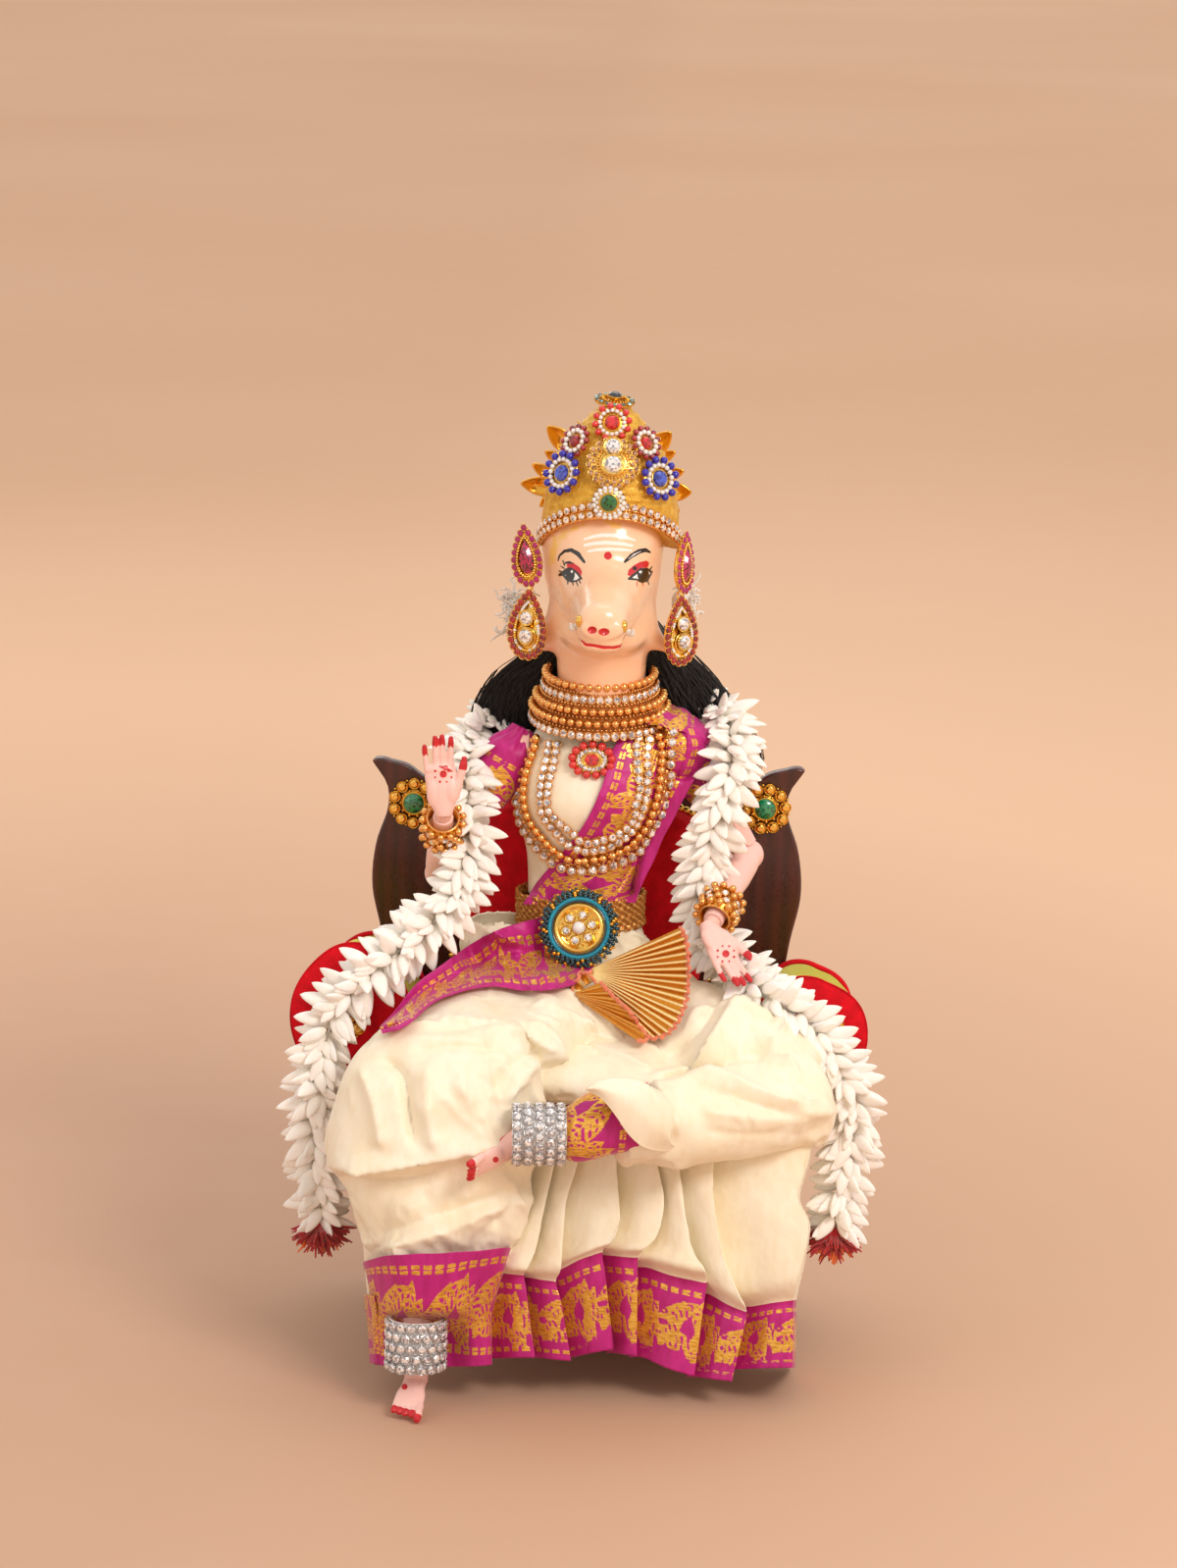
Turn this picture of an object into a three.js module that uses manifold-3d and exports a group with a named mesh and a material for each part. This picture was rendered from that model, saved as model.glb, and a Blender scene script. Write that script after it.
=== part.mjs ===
// A seated deity doll: a jointed doll with a painted boar head and a gold crown,
// dressed in silk, on a small upholstered throne, with two strings of white flowers.
// Millimetres, +Z up. The doll looks along -Y. Left and right are the doll's own,
// so its right hand is at -X. The origin is on the floor, under the middle of the throne.
import * as THREE from 'three';
import { mergeVertices } from 'three/addons/utils/BufferGeometryUtils.js';
import { ParametricGeometry } from 'three/addons/geometries/ParametricGeometry.js';
import { RoundedBoxGeometry } from 'three/addons/geometries/RoundedBoxGeometry.js';
import Module from 'manifold-3d';

const wasm = await Module();
wasm.setup();

// ---- driving dimensions -------------------------------------------------
const GAP = 0.35;               // clearance between neighbouring pieces
const BASE_HALF = 61;           // seat base, half width
const BASE_FRONT = -26, BASE_BACK = 36, BASE_TOP = 66;
const SEAT_TOP = 87.5;          // top of the seat cushion
const BOARD_FRONT = 38, BOARD_BACK = 43;
const PANEL_FRONT = -28, ARM_FRONT = -24.3;
const HEAD = [5, 3, 244];       // middle of the skull
const NECK = [5.5, 4.6];          // axis of the neck
const R_SHOULDER = [-24, 4, 187], R_ELBOW = [-46, -3, 148], R_WRIST = [-43.2, -32, 174.5];
const L_SHOULDER = [31, 4, 187], L_ELBOW = [50.5, 5, 154.5], L_WRIST = [39, -30, 139];
const R_ANKLE = [-46.3, -84.5, 17], L_ANKLE = [-13.5, -88.6, 88.6];

// ---- helpers ------------------------------------------------------------
const V = (a) => new THREE.Vector3(a[0], a[1], a[2]);

// a closed geometry as a solid, faces turned outward
function solid(geometry) {
  let g = geometry.clone();
  g.deleteAttribute('normal');
  g.deleteAttribute('uv');
  g = mergeVertices(g, 1e-4);
  const p = g.attributes.position.array, raw = g.index.array, tri = [];
  for (let i = 0; i < raw.length; i += 3) {
    const [a, b, c] = [raw[i], raw[i + 1], raw[i + 2]];
    if (a !== b && b !== c && a !== c) tri.push(a, b, c);
  }
  let vol = 0;
  for (let i = 0; i < tri.length; i += 3) {
    const [a, b, c] = [tri[i] * 3, tri[i + 1] * 3, tri[i + 2] * 3];
    vol += p[a] * (p[b + 1] * p[c + 2] - p[b + 2] * p[c + 1])
      - p[a + 1] * (p[b] * p[c + 2] - p[b + 2] * p[c])
      + p[a + 2] * (p[b] * p[c + 1] - p[b + 1] * p[c]);
  }
  if (vol < 0) for (let i = 0; i < tri.length; i += 3) [tri[i + 1], tri[i + 2]] = [tri[i + 2], tri[i + 1]];
  return new wasm.Manifold(new wasm.Mesh({
    numProp: 3, vertProperties: new Float32Array(p), triVerts: new Uint32Array(tri),
  }));
}

function geometryOf(manifold) {
  const m = manifold.getMesh();
  const g = new THREE.BufferGeometry();
  g.setAttribute('position', new THREE.BufferAttribute(new Float32Array(m.vertProperties), 3));
  g.setIndex(new THREE.BufferAttribute(new Uint32Array(m.triVerts), 1));
  g.computeVertexNormals();
  return g;
}

const join = (...parts) => parts.reduce((a, b) => a.add(b));
const cut = (a, ...tools) => tools.reduce((s, t) => s.subtract(t), a);

// the largest body, where a cut has left slivers
function biggest(s) {
  const parts = s.decompose();
  return parts.reduce((a, b) => (b.volume() > a.volume() ? b : a));
}

// ellipses stacked on one another: [x, y, z, half width, half depth]
function stack(rows, nu = 16, sub = 1, grow = 0) {
  const n = (rows.length - 1) * sub + 1;
  const at = (t, k) => {
    const i = Math.min(Math.floor(t), rows.length - 2), f = t - i;
    const p = [rows[Math.max(i - 1, 0)], rows[i], rows[i + 1], rows[Math.min(i + 2, rows.length - 1)]].map((r) => r[k]);
    return 0.5 * (2 * p[1] + (p[2] - p[0]) * f + (2 * p[0] - 5 * p[1] + 4 * p[2] - p[3]) * f * f
      + (3 * p[1] - p[0] - 3 * p[2] + p[3]) * f * f * f);
  };
  const g = new ParametricGeometry((u, v, out) => {
    const row = Math.round(v * (n + 1));
    const t = Math.min(Math.max(row - 1, 0), n - 1) / sub;
    const ends = row === 0 || row === n + 1;
    const a = u >= 0.99999 ? 0 : u * 2 * Math.PI;
    const rx = ends ? 0 : at(t, 3) + grow, ry = ends ? 0 : at(t, 4) + grow;
    out.set(at(t, 0) + rx * Math.cos(a), at(t, 1) + ry * Math.sin(a), at(t, 2));
  }, nu, n + 1);
  return solid(g);
}

// a closed tube along a curve: radii [along side, along up] at each point
function along(points, radii, { nu = 10, nv = 8, up = [0, 0, 1], flat = false, grow = 0 } = {}) {
  const curve = new THREE.CatmullRomCurve3(points.map(V), false, 'centripetal');
  const rad = (t, k) => {
    const f = t * (radii.length - 1), i = Math.min(Math.floor(f), radii.length - 2), w = f - i;
    const a = radii[i], b = radii[i + 1];
    const s = w * w * (3 - 2 * w);
    return (Array.isArray(a) ? a[k] : a) * (1 - s) + (Array.isArray(b) ? b[k] : b) * s + grow;
  };
  const frames = [];
  for (let i = 0; i <= nv; i += 1) {
    const t = i / nv, p = curve.getPoint(t), d = curve.getTangent(t);
    const u0 = V(typeof up === 'function' ? up(t) : up);
    const side = new THREE.Vector3().crossVectors(d, u0).normalize();
    const top = new THREE.Vector3().crossVectors(side, d).normalize();
    frames.push([p, side, top, t]);
  }
  const g = new ParametricGeometry((u, v, out) => {
    const row = Math.round(v * (nv + 2)), k = Math.min(Math.max(row - 1, 0), nv);
    const [p, side, top, t] = frames[k];
    out.copy(p);
    if (row === 0 || row === nv + 2) return;
    const a = (u >= 0.99999 ? 0 : u) * 2 * Math.PI;
    let c = Math.cos(a), s = Math.sin(a);
    if (flat) { c = Math.sign(c) * Math.abs(c) ** 0.35; s = Math.sign(s) * Math.abs(s) ** 0.35; }
    out.addScaledVector(side, c * rad(t, 0)).addScaledVector(top, s * rad(t, 1));
  }, nu, nv + 2);
  return solid(g);
}

function ball(c, r, w = 12, h = 8) {
  const g = new THREE.SphereGeometry(1, w, h);
  const [rx, ry, rz] = Array.isArray(r) ? r : [r, r, r];
  g.rotateX(Math.PI / 2);
  g.scale(rx, ry, rz);
  g.translate(c[0], c[1], c[2]);
  return solid(g);
}

function box(x0, x1, y0, y1, z0, z1) {
  const g = new THREE.BoxGeometry(x1 - x0, y1 - y0, z1 - z0);
  g.translate((x0 + x1) / 2, (y0 + y1) / 2, (z0 + z1) / 2);
  return solid(g);
}

function softBox(x0, x1, y0, y1, z0, z1, r, seg = 2) {
  const g = new RoundedBoxGeometry(x1 - x0, y1 - y0, z1 - z0, seg, r);
  g.translate((x0 + x1) / 2, (y0 + y1) / 2, (z0 + z1) / 2);
  return solid(g);
}

// turns +Y of a lathe or +Z of a disc to a direction
function aim(g, at, dir, from = [0, 1, 0]) {
  g.applyQuaternion(new THREE.Quaternion().setFromUnitVectors(V(from), V(dir).normalize()));
  g.translate(at[0], at[1], at[2]);
  return g;
}

// a turned piece: profile of [radius, height] from the point along the direction
function turned(profile, at, dir, seg = 14) {
  const g = new THREE.LatheGeometry(profile.map(([r, h]) => new THREE.Vector2(r, h)), seg);
  return solid(aim(g, at, dir));
}

// a low domed disc that stands for a brooch, its back at the point
function brooch(at, dir, r, thick = 2.4, seg = 12, tall = 1) {
  const g = new THREE.LatheGeometry([
    new THREE.Vector2(0, 0), new THREE.Vector2(r * 0.96, 0), new THREE.Vector2(r, thick * 0.4),
    new THREE.Vector2(r * 0.55, thick * 0.8), new THREE.Vector2(0, thick),
  ], seg);
  g.scale(1, 1, tall);
  return solid(aim(g, at, dir));
}

// an outline in X and Z, given a thickness along Y
function plate(outline, y0, y1, bevel = 0) {
  const s = new THREE.Shape(outline.map(([x, z]) => new THREE.Vector2(x, z)));
  const g = new THREE.ExtrudeGeometry(s, bevel
    ? { depth: y1 - y0 - 2 * bevel, bevelEnabled: true, bevelThickness: bevel, bevelSize: bevel, bevelOffset: -bevel, bevelSegments: 1, curveSegments: 6 }
    : { depth: y1 - y0, bevelEnabled: false, curveSegments: 6 });
  g.rotateX(Math.PI / 2);
  g.translate(0, bevel ? y1 - bevel : y1, 0);
  return solid(g);
}

// an outline in X and Y, given a height
function prism(outline, z0, z1) {
  const s = new THREE.Shape(outline.map(([x, y]) => new THREE.Vector2(x, y)));
  const g = new THREE.ExtrudeGeometry(s, { depth: z1 - z0, bevelEnabled: false });
  g.translate(0, 0, z0);
  return solid(g);
}

function smooth(points, n) {
  const c = new THREE.CatmullRomCurve3(points.map(([x, z]) => new THREE.Vector3(x, z, 0)), false, 'centripetal');
  return c.getPoints(n).map((p) => [p.x, p.y]);
}
const mirror = (pts) => pts.map(([x, z]) => [-x, z]).reverse();

const part = new THREE.Group();
function piece(name, s, color, roughness = 0.6, metalness = 0) {
  const material = new THREE.MeshStandardMaterial({ color, roughness, metalness });
  const m = new THREE.Mesh(geometryOf(s), material);
  m.name = name;
  part.add(m);
  return s;
}

// colours
const MAROON = 0x4a1a16, RED = 0xb3121d, LIME = 0xcfc443, GOLD = 0xc9962f, CREAM = 0xefe4c6;
const MAGENTA = 0xb3257f, SKIN = 0xf2bfae, FACE = 0xf6caa2, GREEN = 0x0d7a45, BLACK = 0x0c0b0b;
const WHITE = 0xf4efe6, SILVER = 0xd6d6dc, TEAL = 0x0c6c86, BLUE = 0x2433b4, PINK = 0xc2185b;

// ---- throne -------------------------------------------------------------
piece('seat_base', softBox(-BASE_HALF - 1, BASE_HALF - 1, BASE_FRONT, BASE_BACK, 0, BASE_TOP, 1.5, 1), MAROON, 0.45);
piece('seat_cushion', softBox(-49, 47, BASE_FRONT, 21, BASE_TOP + GAP, SEAT_TOP, 6), RED, 0.9);

const boardEdge = [
  ...smooth([[58, 8], [58.5, 40], [60, 66], [62.5, 92], [65.8, 117], [69.2, 134], [68, 148], [64.2, 160], [64.6, 167], [68.8, 173.6]], 14),
  ...smooth([[63.5, 175], [58, 173.5], [52, 169.5], [44, 167], [34, 168.5], [20, 174], [0, 177]], 8),
];
const boardLine = [...boardEdge.slice(0, -1), ...mirror(boardEdge)].map(([x, z]) => [x - 1.5, z]);
piece('back_board', plate(boardLine, BOARD_FRONT, BOARD_BACK, 0.8), MAROON, 0.25);

const padEdge = smooth([[0, 89], [26, 89.5], [36, 92], [39.5, 106], [42.5, 120], [46, 136], [45, 150], [36, 161], [18, 167], [0, 169]], 14);
const padLine = [...padEdge.slice(0, -1), ...mirror(padEdge).slice(0, -1)].map(([x, z]) => [x - 2, z]);
piece('back_cushion', plate(padLine, 21.6, BOARD_FRONT - GAP, 4), RED, 0.9);

function armLine(g = 0) {
  const a = smooth([[50.4, BASE_TOP + GAP], [50.2, 86], [50.6, 100], [52.6, 112], [58, 122], [66, 127.6], [74, 127], [82, 120.5], [87, 112], [88, 103], [85.5, 94], [79, 84], [69, 74], [60, BASE_TOP + GAP]], 22);
  if (!g) return a;
  const c = [68, 98];
  return a.map(([x, z]) => {
    const d = Math.hypot(x - c[0], z - c[1]);
    return [x + g * (x - c[0]) / d, z + g * (z - c[1]) / d];
  });
}
// the arm at the doll's left stands a little lower
const lowered = ([x, z]) => [x, z - 5.5 * Math.min(1, Math.max(0, (z - 96) / 28)) * Math.min(1, Math.max(0.35, 1 - (x - 76) / 16))];
const armL = armLine().map(lowered), armR = mirror(armLine()).map(([x, z]) => [x - 2, z + 1.5]).map(([x, z]) => [x, Math.max(z, BASE_TOP + GAP)]);
const panelL = armLine(0.9).map(lowered).map(([x, z]) => [x, Math.max(z, BASE_TOP + GAP)]);
const panelR = mirror(armLine(0.9)).map(([x, z]) => [x - 2, z + 1.5]).map(([x, z]) => [x, Math.max(z, BASE_TOP + GAP)]);
// the arms fall away and draw in towards the back board
function fallen(s) {
  return s.warp((v) => {
    const t = Math.max(0, Math.min(1, (v[1] - ARM_FRONT) / (BASE_BACK - ARM_FRONT)));
    v[0] -= Math.sign(v[0]) * 4 * t * Math.max(0, Math.abs(v[0]) - 60) / 28;
    v[2] -= 11 * t * Math.max(0, v[2] - BASE_TOP - GAP) / 61;
  });
}
piece('arm_left', fallen(plate(armL, ARM_FRONT, BASE_BACK)), LIME, 0.8);
piece('arm_right', fallen(plate(armR, ARM_FRONT, BASE_BACK)), LIME, 0.8);
piece('arm_panel_left', plate(panelL, PANEL_FRONT, ARM_FRONT - GAP), RED, 0.9);
piece('arm_panel_right', plate(panelR, PANEL_FRONT, ARM_FRONT - GAP), RED, 0.9);

const FRONT = [0, -1, 0];
piece('back_brooch_left', brooch([55.5, BOARD_FRONT - GAP, 162.5], FRONT, 8.2, 3.4), GOLD, 0.3, 0.9);
piece('back_brooch_right', brooch([-57.3, BOARD_FRONT - GAP, 161.5], FRONT, 8.2, 3.4), GOLD, 0.3, 0.9);
piece('arm_brooch_left', brooch([74.5, PANEL_FRONT - GAP, 103.5], FRONT, 9.4, 3), GOLD, 0.3, 0.9);
piece('arm_brooch_right', brooch([-75.3, PANEL_FRONT - GAP, 107.5], FRONT, 9.4, 3), GOLD, 0.3, 0.9);

// ---- trunk of the doll --------------------------------------------------
const chestRows = [
  [-2, 4, 140, 15, 11], [-1, 4, 150, 14.4, 10.8], [0.5, 3, 160, 16.5, 12.5], [2, 1, 170, 19.6, 15.2],
  [3, 1, 178, 20.6, 14.8], [3.6, 3, 188, 21.6, 11.4], [4.4, 5, 195, 17.5, 9], [5, 6, 199.5, 9, 8],
  [5.5, 4.6, 203, 6.2, 6.2], [5.5, 4.6, 209, 6, 6], [5.5, 4.6, 216, 6, 6],
];
// the shoulder discs turn about a cross axis in sockets of this size
const socketR = turned([[0, 0], [6.4, 0], [6.4, 20], [0, 20]], [-18.6, 4, 187], [-1, 0, 0], 20);
const socketL = turned([[0, 0], [6.4, 0], [6.4, 20], [0, 20]], [25.6, 4, 187], [1, 0, 0], 20);
piece('chest', cut(stack(chestRows, 16, 1), socketR, socketL), SKIN, 0.5);

const pelvisRows = [
  [-0.5, 2, SEAT_TOP + 0.6, 12, 9], [-0.5, 2, 94, 19, 13.5], [-0.5, 2, 105, 21.5, 15], [-1, 3, 118, 20, 14],
  [-1.5, 4, 130, 16.4, 12], [-2, 4, 139.6, 14.8, 10.8],
];
piece('pelvis', stack(pelvisRows, 14, 1), SKIN, 0.5);
const pelvisRoom = stack(pelvisRows, 14, 1, GAP);

// ---- legs ---------------------------------------------------------------
const legR = { thigh: [[-13, -8, 102.5], [-30, -38, 101], [-45, -66, 98]], shin: [[-45.2, -70, 93], [-46, -76, 58], [-46.3, -83, 24]] };
const legL = { thigh: [[12, -8, 102.5], [35, -35, 99], [64, -53, 94]], shin: [[64, -59, 92], [30, -77, 88.5], [-6, -87.4, 88.6]] };
const thigh = (l, grow = 0) => along(l.thigh, [11, 10.2, 8.8], { nu: 12, nv: 4, grow });
const shin = (l, grow = 0, up = [0, 1, 0]) => along(l.shin, [7.6, 7, 4.2], { nu: 10, nv: 4, up, grow });
piece('thigh_right', biggest(cut(thigh(legR), pelvisRoom)), SKIN, 0.5);
piece('thigh_left', biggest(cut(thigh(legL), pelvisRoom)), SKIN, 0.5);
const ankleRoomR = ball(R_ANKLE, 4.6 + GAP), ankleRoomL = ball(L_ANKLE, 4.6 + GAP);
piece('shin_right', biggest(cut(shin(legR), thigh(legR, GAP), ankleRoomR)), SKIN, 0.5);
piece('shin_left', biggest(cut(shin(legL, 0, [0, 0, 1]), thigh(legL, GAP), ankleRoomL)), SKIN, 0.5);

// a foot: ankle ball, instep, sole and five toes
function foot(ankle, heel, toe, side, grow = 0) {
  const a = V(ankle), h = V(heel), t = V(toe), s = V(side).normalize();
  const at = (k, o = 0) => h.clone().lerp(t, k).addScaledVector(s, o).toArray();
  let f = join(
    ball(ankle, 4.6 + grow, 12, 8),
    along([ankle, at(0.42), at(0.72)], [4.3, 3.8, 3.6], { nu: 8, nv: 3, up: side, grow }),
    along([at(0), at(0.35), at(0.8)], [[2.9, 2.9], [3.2, 3.5], [2.3, 4.8]], { nu: 8, nv: 3, up: side, grow }),
  );
  [[-3.7, 0.98], [-1.9, 1.0], [0, 1.02], [2, 1.03], [4, 1.0]].forEach(([o, k], i) => {
    f = f.add(along([at(0.7, o * 0.85), at(k - 0.05, o), at(k, o)], [1.3, i === 4 ? 1.5 : 1.1, 0.9], { nu: 5, nv: 1, up: side, grow }));
  });
  return f;
}
const footArgsR = [R_ANKLE, [-46, -80, 8.5], [-48.8, -96.5, 2.2], [1, -0.15, 0]];
const footArgsL = [L_ANKLE, [-20.5, -84.5, 83], [-30, -98, 79], [0.45, -0.1, 0.88]];
const footR = foot(...footArgsR), footL = foot(...footArgsL);
piece('foot_right', footR, SKIN, 0.4);
piece('foot_left', footL, SKIN, 0.4);

// anklets: stone cuffs over the ends of the cloth
const ring = (r0, r1, len, at, dir, seg = 16) => turned([[r0, 0], [r1, 0], [r1, len], [r0, len], [r0, 0]], at, dir, seg);
const ankletRAt = [-46.3, -86, 13.2], ankletLAt = [-18.2, -89.2, 88.6];
const ankletR = ring(8.1, 9.4, 16, ankletRAt, [0, 0.08, 1]), ankletL = ring(8.15, 9.35, 16.5, ankletLAt, [1, 0.08, 0]);
piece('anklet_right', ankletR, SILVER, 0.15, 0.9);
piece('anklet_left', ankletL, SILVER, 0.15, 0.9);
const ankletRoomR = turned([[0, -14], [9.8, -14], [9.8, 16.6], [0, 16.6]], ankletRAt, [0, 0.08, 1], 20);
const ankletRoomL = turned([[0, -16], [9.6, -16], [9.6, 17], [0, 17]], ankletLAt, [1, 0.08, 0], 20);

// ---- strings of flowers -------------------------------------------------
const garlandRight = [[-1, 36, 203], [-20, 31, 204.5], [-33.5, 17, 205], [-35.5, 4, 201], [-32, -9.5, 190], [-30.8, -15, 175], [-31.6, -18, 161], [-38.5, -24.5, 145], [-50, -31, 135], [-62, -37.5, 126.5], [-73.5, -40, 114.5], [-79.5, -40.5, 97], [-81, -40, 74], [-79.5, -40, 46]];
const garlandLeft = [[8, 36, 203], [26, 31, 204.5], [39, 17, 205], [42, 4, 201.5], [42.5, -9, 188], [38.5, -8, 170], [34, -6, 150], [35.5, -9, 133], [44.5, -21, 127.5], [53.5, -36, 122.5], [63.5, -41, 117], [75.5, -41, 106], [84, -41, 90.5], [83.5, -40.5, 71], [80, -40, 48]];
const strung = (pts, radii, grow = 0) => along(pts, radii, { nu: 8, nv: 24, up: [0.3, 0.2, 0.1], grow });
const garlandRadiiR = [6, 7, 7, 6.2, 5.6, 5.6, 6.6, 7, 7, 7, 6], garlandRadiiL = [6, 7, 7, 6.4, 6.2, 5.6, 5.8, 6.6, 7, 7, 6];
const garlandRoomR = strung(garlandRight, garlandRadiiR, GAP), garlandRoomL = strung(garlandLeft, garlandRadiiL, GAP);

// ---- silk on the legs ---------------------------------------------------
const throneRoom = join(box(-90, 90, BASE_FRONT - 0.6, 60, -5, SEAT_TOP + 0.5), box(49.2, 95, PANEL_FRONT - GAP, 60, 60, 131), box(-95, -51.2, PANEL_FRONT - GAP, 60, 60, 132));
const fanLine = [[3.5, 125.5], [30.5, 141], [32.8, 131], [33, 121], [26, 108.2]];
const fan = (g) => {
  const c = [22, 125];
  const l = fanLine.map(([x, z]) => { const d = Math.hypot(x - c[0], z - c[1]); return [x + g * (x - c[0]) / d, z + g * (z - c[1]) / d]; });
  const p = new THREE.ExtrudeGeometry(new THREE.Shape(l.map(([x, z]) => new THREE.Vector2(x, z))), { depth: 2.4 + 2 * g, bevelEnabled: false });
  p.rotateX(Math.PI / 2);
  p.translate(0, -36 + 1.2 + g, 0);
  return solid(p);
};
const skinRoomR = join(thigh(legR, GAP), shin(legR, GAP));
const skinRoomL = join(thigh(legL, GAP), shin(legL, GAP, [0, 0, 1]));

const rightBag = (grow) => join(
  along([[-15, -9, 104.5], [-33, -40, 104], [-45, -63, 99]], [[19, 14], [23, 15], [22, 14]], { nu: 12, nv: 4, grow }),
  stack([[-40.5, -69, 10, 17.5, 12.5], [-40.5, -68, 28, 19, 14], [-40.5, -67, 44, 21.5, 15], [-43, -66, 60, 25, 16],
    [-44, -67, 76, 31, 17], [-42, -67, 90, 29.5, 18], [-41, -65, 103, 26, 17], [-40, -61, 112, 17, 13]], 16, 1, grow),
);
const bagR = biggest(cut(rightBag(0), pelvisRoom, skinRoomR, ankletRoomR, ankletRoomL, throneRoom,
  foot(...footArgsR, 0.5), foot(...footArgsL, 0.8), fan(GAP), garlandRoomR, box(-1.2, 60, -60, 20, 60, 140)));
piece('saree_right_leg', bagR, CREAM, 0.45);

const leftBag = (grow) => join(
  along([[14, -9, 104.5], [42, -34, 100.5], [64, -50, 95]], [[18, 13.5], [20, 13.5], [15, 13]], { nu: 12, nv: 4, grow }),
  along([[66, -53, 92], [50, -65, 90.5], [32, -75, 89], [10, -84, 88.5]], [13.5, 13, 11.5, 8.8], { nu: 12, nv: 4, grow }),
);
const bagL = biggest(cut(leftBag(0), pelvisRoom, skinRoomL, ankletRoomL, throneRoom, fan(GAP),
  box(-60, -0.8, -60, 20, 60, 140), rightBag(GAP), garlandRoomL));
piece('saree_left_leg', bagL, CREAM, 0.45);

const fold = [[-20, -62], [-14, -71], [-9, -62], [-3, -72], [2, -63], [9, -73], [14, -63], [22, -76], [30, -67], [39, -80], [46, -68], [54, -76], [59, -66], [67, -68], [68, -56], [66, -50], [-18, -50]];
const hem = biggest(cut(prism(fold, 5, 80), rightBag(GAP), leftBag(GAP), skinRoomL, skinRoomR, ankletRoomR));
piece('saree_pleats', hem, CREAM, 0.45);

// ---- blouse, pallu, sash, belt ------------------------------------------
const blouseRows = chestRows.map((r) => [...r]);
const blouseHole = stack(chestRows, 16, 1, GAP);
const lid = box(-60, 60, -60, 60, 143.5, 197.5);
const blouse = biggest(cut(stack(blouseRows, 16, 1, 1.8).intersect(lid), blouseHole, socketR, socketL));
piece('blouse', blouse, CREAM, 0.45);

function tilted(w, h, y0, y1, at, angle) {
  const g = new THREE.BoxGeometry(w, y1 - y0, h);
  g.translate(0, (y0 + y1) / 2, 0);
  g.rotateY(-angle);
  g.translate(at[0], 0, at[1]);
  return solid(g);
}
const band = tilted(96, 19, -40, 2, [5, 166], Math.atan2(50, 44)).intersect(box(-60, 60, -60, 60, 143.9, 197));
const pallu = biggest(cut(stack(blouseRows, 16, 1, 4).intersect(band), stack(blouseRows, 16, 1, 2.15), socketR, socketL));
piece('pallu', pallu, MAGENTA, 0.5);

const beltRing = (grow) => {
  const s = (r0, r1, z0, z1) => stack([[-2, 4, z0, r0, r1], [-2, 4, (z0 + z1) / 2, r0, r1], [-2, 4, z1, r0, r1]], 20, 1, grow);
  return cut(s(20.2, 16.6, 133, 143), s(18.4, 14.8, 130, 146));
};
piece('belt', beltRing(0), GOLD, 0.35, 0.8);
piece('belt_brooch', brooch([-1.6, -13.5, 135.5], [0, -1, 0.02], 11.7, 3.6, 16), TEAL, 0.35);
piece('waist_fan', fan(0), GOLD, 0.4, 0.6);

const sash = along([[-7, -24, 127], [-22, -28, 126], [-37, -31, 123], [-49.5, -37, 115.5], [-60, -39, 104.5]],
  [[9, 1], [9.5, 1], [9, 1], [7.5, 1], [6, 1]], { nu: 8, nv: 6, flat: true, up: [0.1, -0.7, 0.7] });
piece('sash', biggest(cut(sash, rightBag(GAP), beltRing(0), ball([-1.6, -13.1, 135.5], [12.6, 6, 12.6]), fan(GAP))), MAGENTA, 0.5);

// ---- jewellery on the chest ---------------------------------------------
const chokerShape = () => {
  const o = new THREE.LatheGeometry([[19.4, -8], [21.8, -8], [20.2, -2], [18.4, 6.5], [16, 6.5], [17.8, -2], [19.4, -8]].map(([r, h]) => new THREE.Vector2(r, h)), 20);
  o.scale(1, 1, 0.92);
  o.rotateX(Math.PI / 2 + 0.16);
  o.translate(4.8, 5, 205);
  return solid(o);
};
piece('choker', cut(chokerShape(), stack(blouseRows, 16, 1, 2.15), stack(blouseRows, 16, 1, 4.4).intersect(band)), GOLD, 0.3, 0.8);

const chainPts = [[-18, -12.5, 190], [-20, -13.5, 180], [-14.5, -20, 168.5], [-4.4, -22.6, 160.5], [7, -22.4, 161.2], [17, -20, 171], [22, -14.5, 182], [23, -11.5, 191]];
const chain = along(chainPts, [[6.6, 1.1], [6.6, 1.1], [6.6, 1.1]], {
  nu: 8, nv: 14, flat: true,
  up: (t) => { const a = (t - 0.5) * 2.2; return [Math.sin(a), -Math.cos(a), 0]; },
});
const necklaceRoom = join(stack(blouseRows, 16, 1, 2.15), stack(blouseRows, 16, 1, 4.35).intersect(band));
piece('long_necklace', biggest(cut(chain, necklaceRoom)), GOLD, 0.3, 0.8);
piece('pendant', brooch([1.6, -15.2, 187.6], [0, -0.98, 0.2], 6.8, 2.4, 12), RED, 0.3);

// ---- head ---------------------------------------------------------------
const NX = NECK[0], NY = NECK[1];
function headSolid(grow = 0) {
  return join(
    ball(HEAD, [18.2 + grow, 18.5 + grow, 20.5 + grow], 16, 10),
    ball([5, -0.5, 230.5], [18.4 + grow, 15.5 + grow, 11.5 + grow], 16, 8),
    along([[5, -6, 240], [4.7, -20, 237], [4.2, -33, 233.5], [4, -39, 232.6]], [[13, 13], [10.5, 11], [8, 8], [7.4, 7]], { nu: 12, nv: 4, grow }),
    turned([[0, -grow], [7.7 + grow, -grow], [7.7 + grow, 3.2 + grow], [0, 3.2 + grow]], [4, -39, 232.6], [-0.02, -0.99, 0.06], 14),
    turned([[0, 0], [12.9 + grow, 0], [12.9 + grow, 20], [0, 20]], [NX, NY, 206], [0, 0, 1], 18),
  );
}
const knobRoom = turned([[0, -4], [6.7, -4], [6.7, 11], [0, 11]], [NX, NY, 206], [0, 0, 1], 14);
piece('head', cut(headSolid(), knobRoom), FACE, 0.2);

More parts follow.
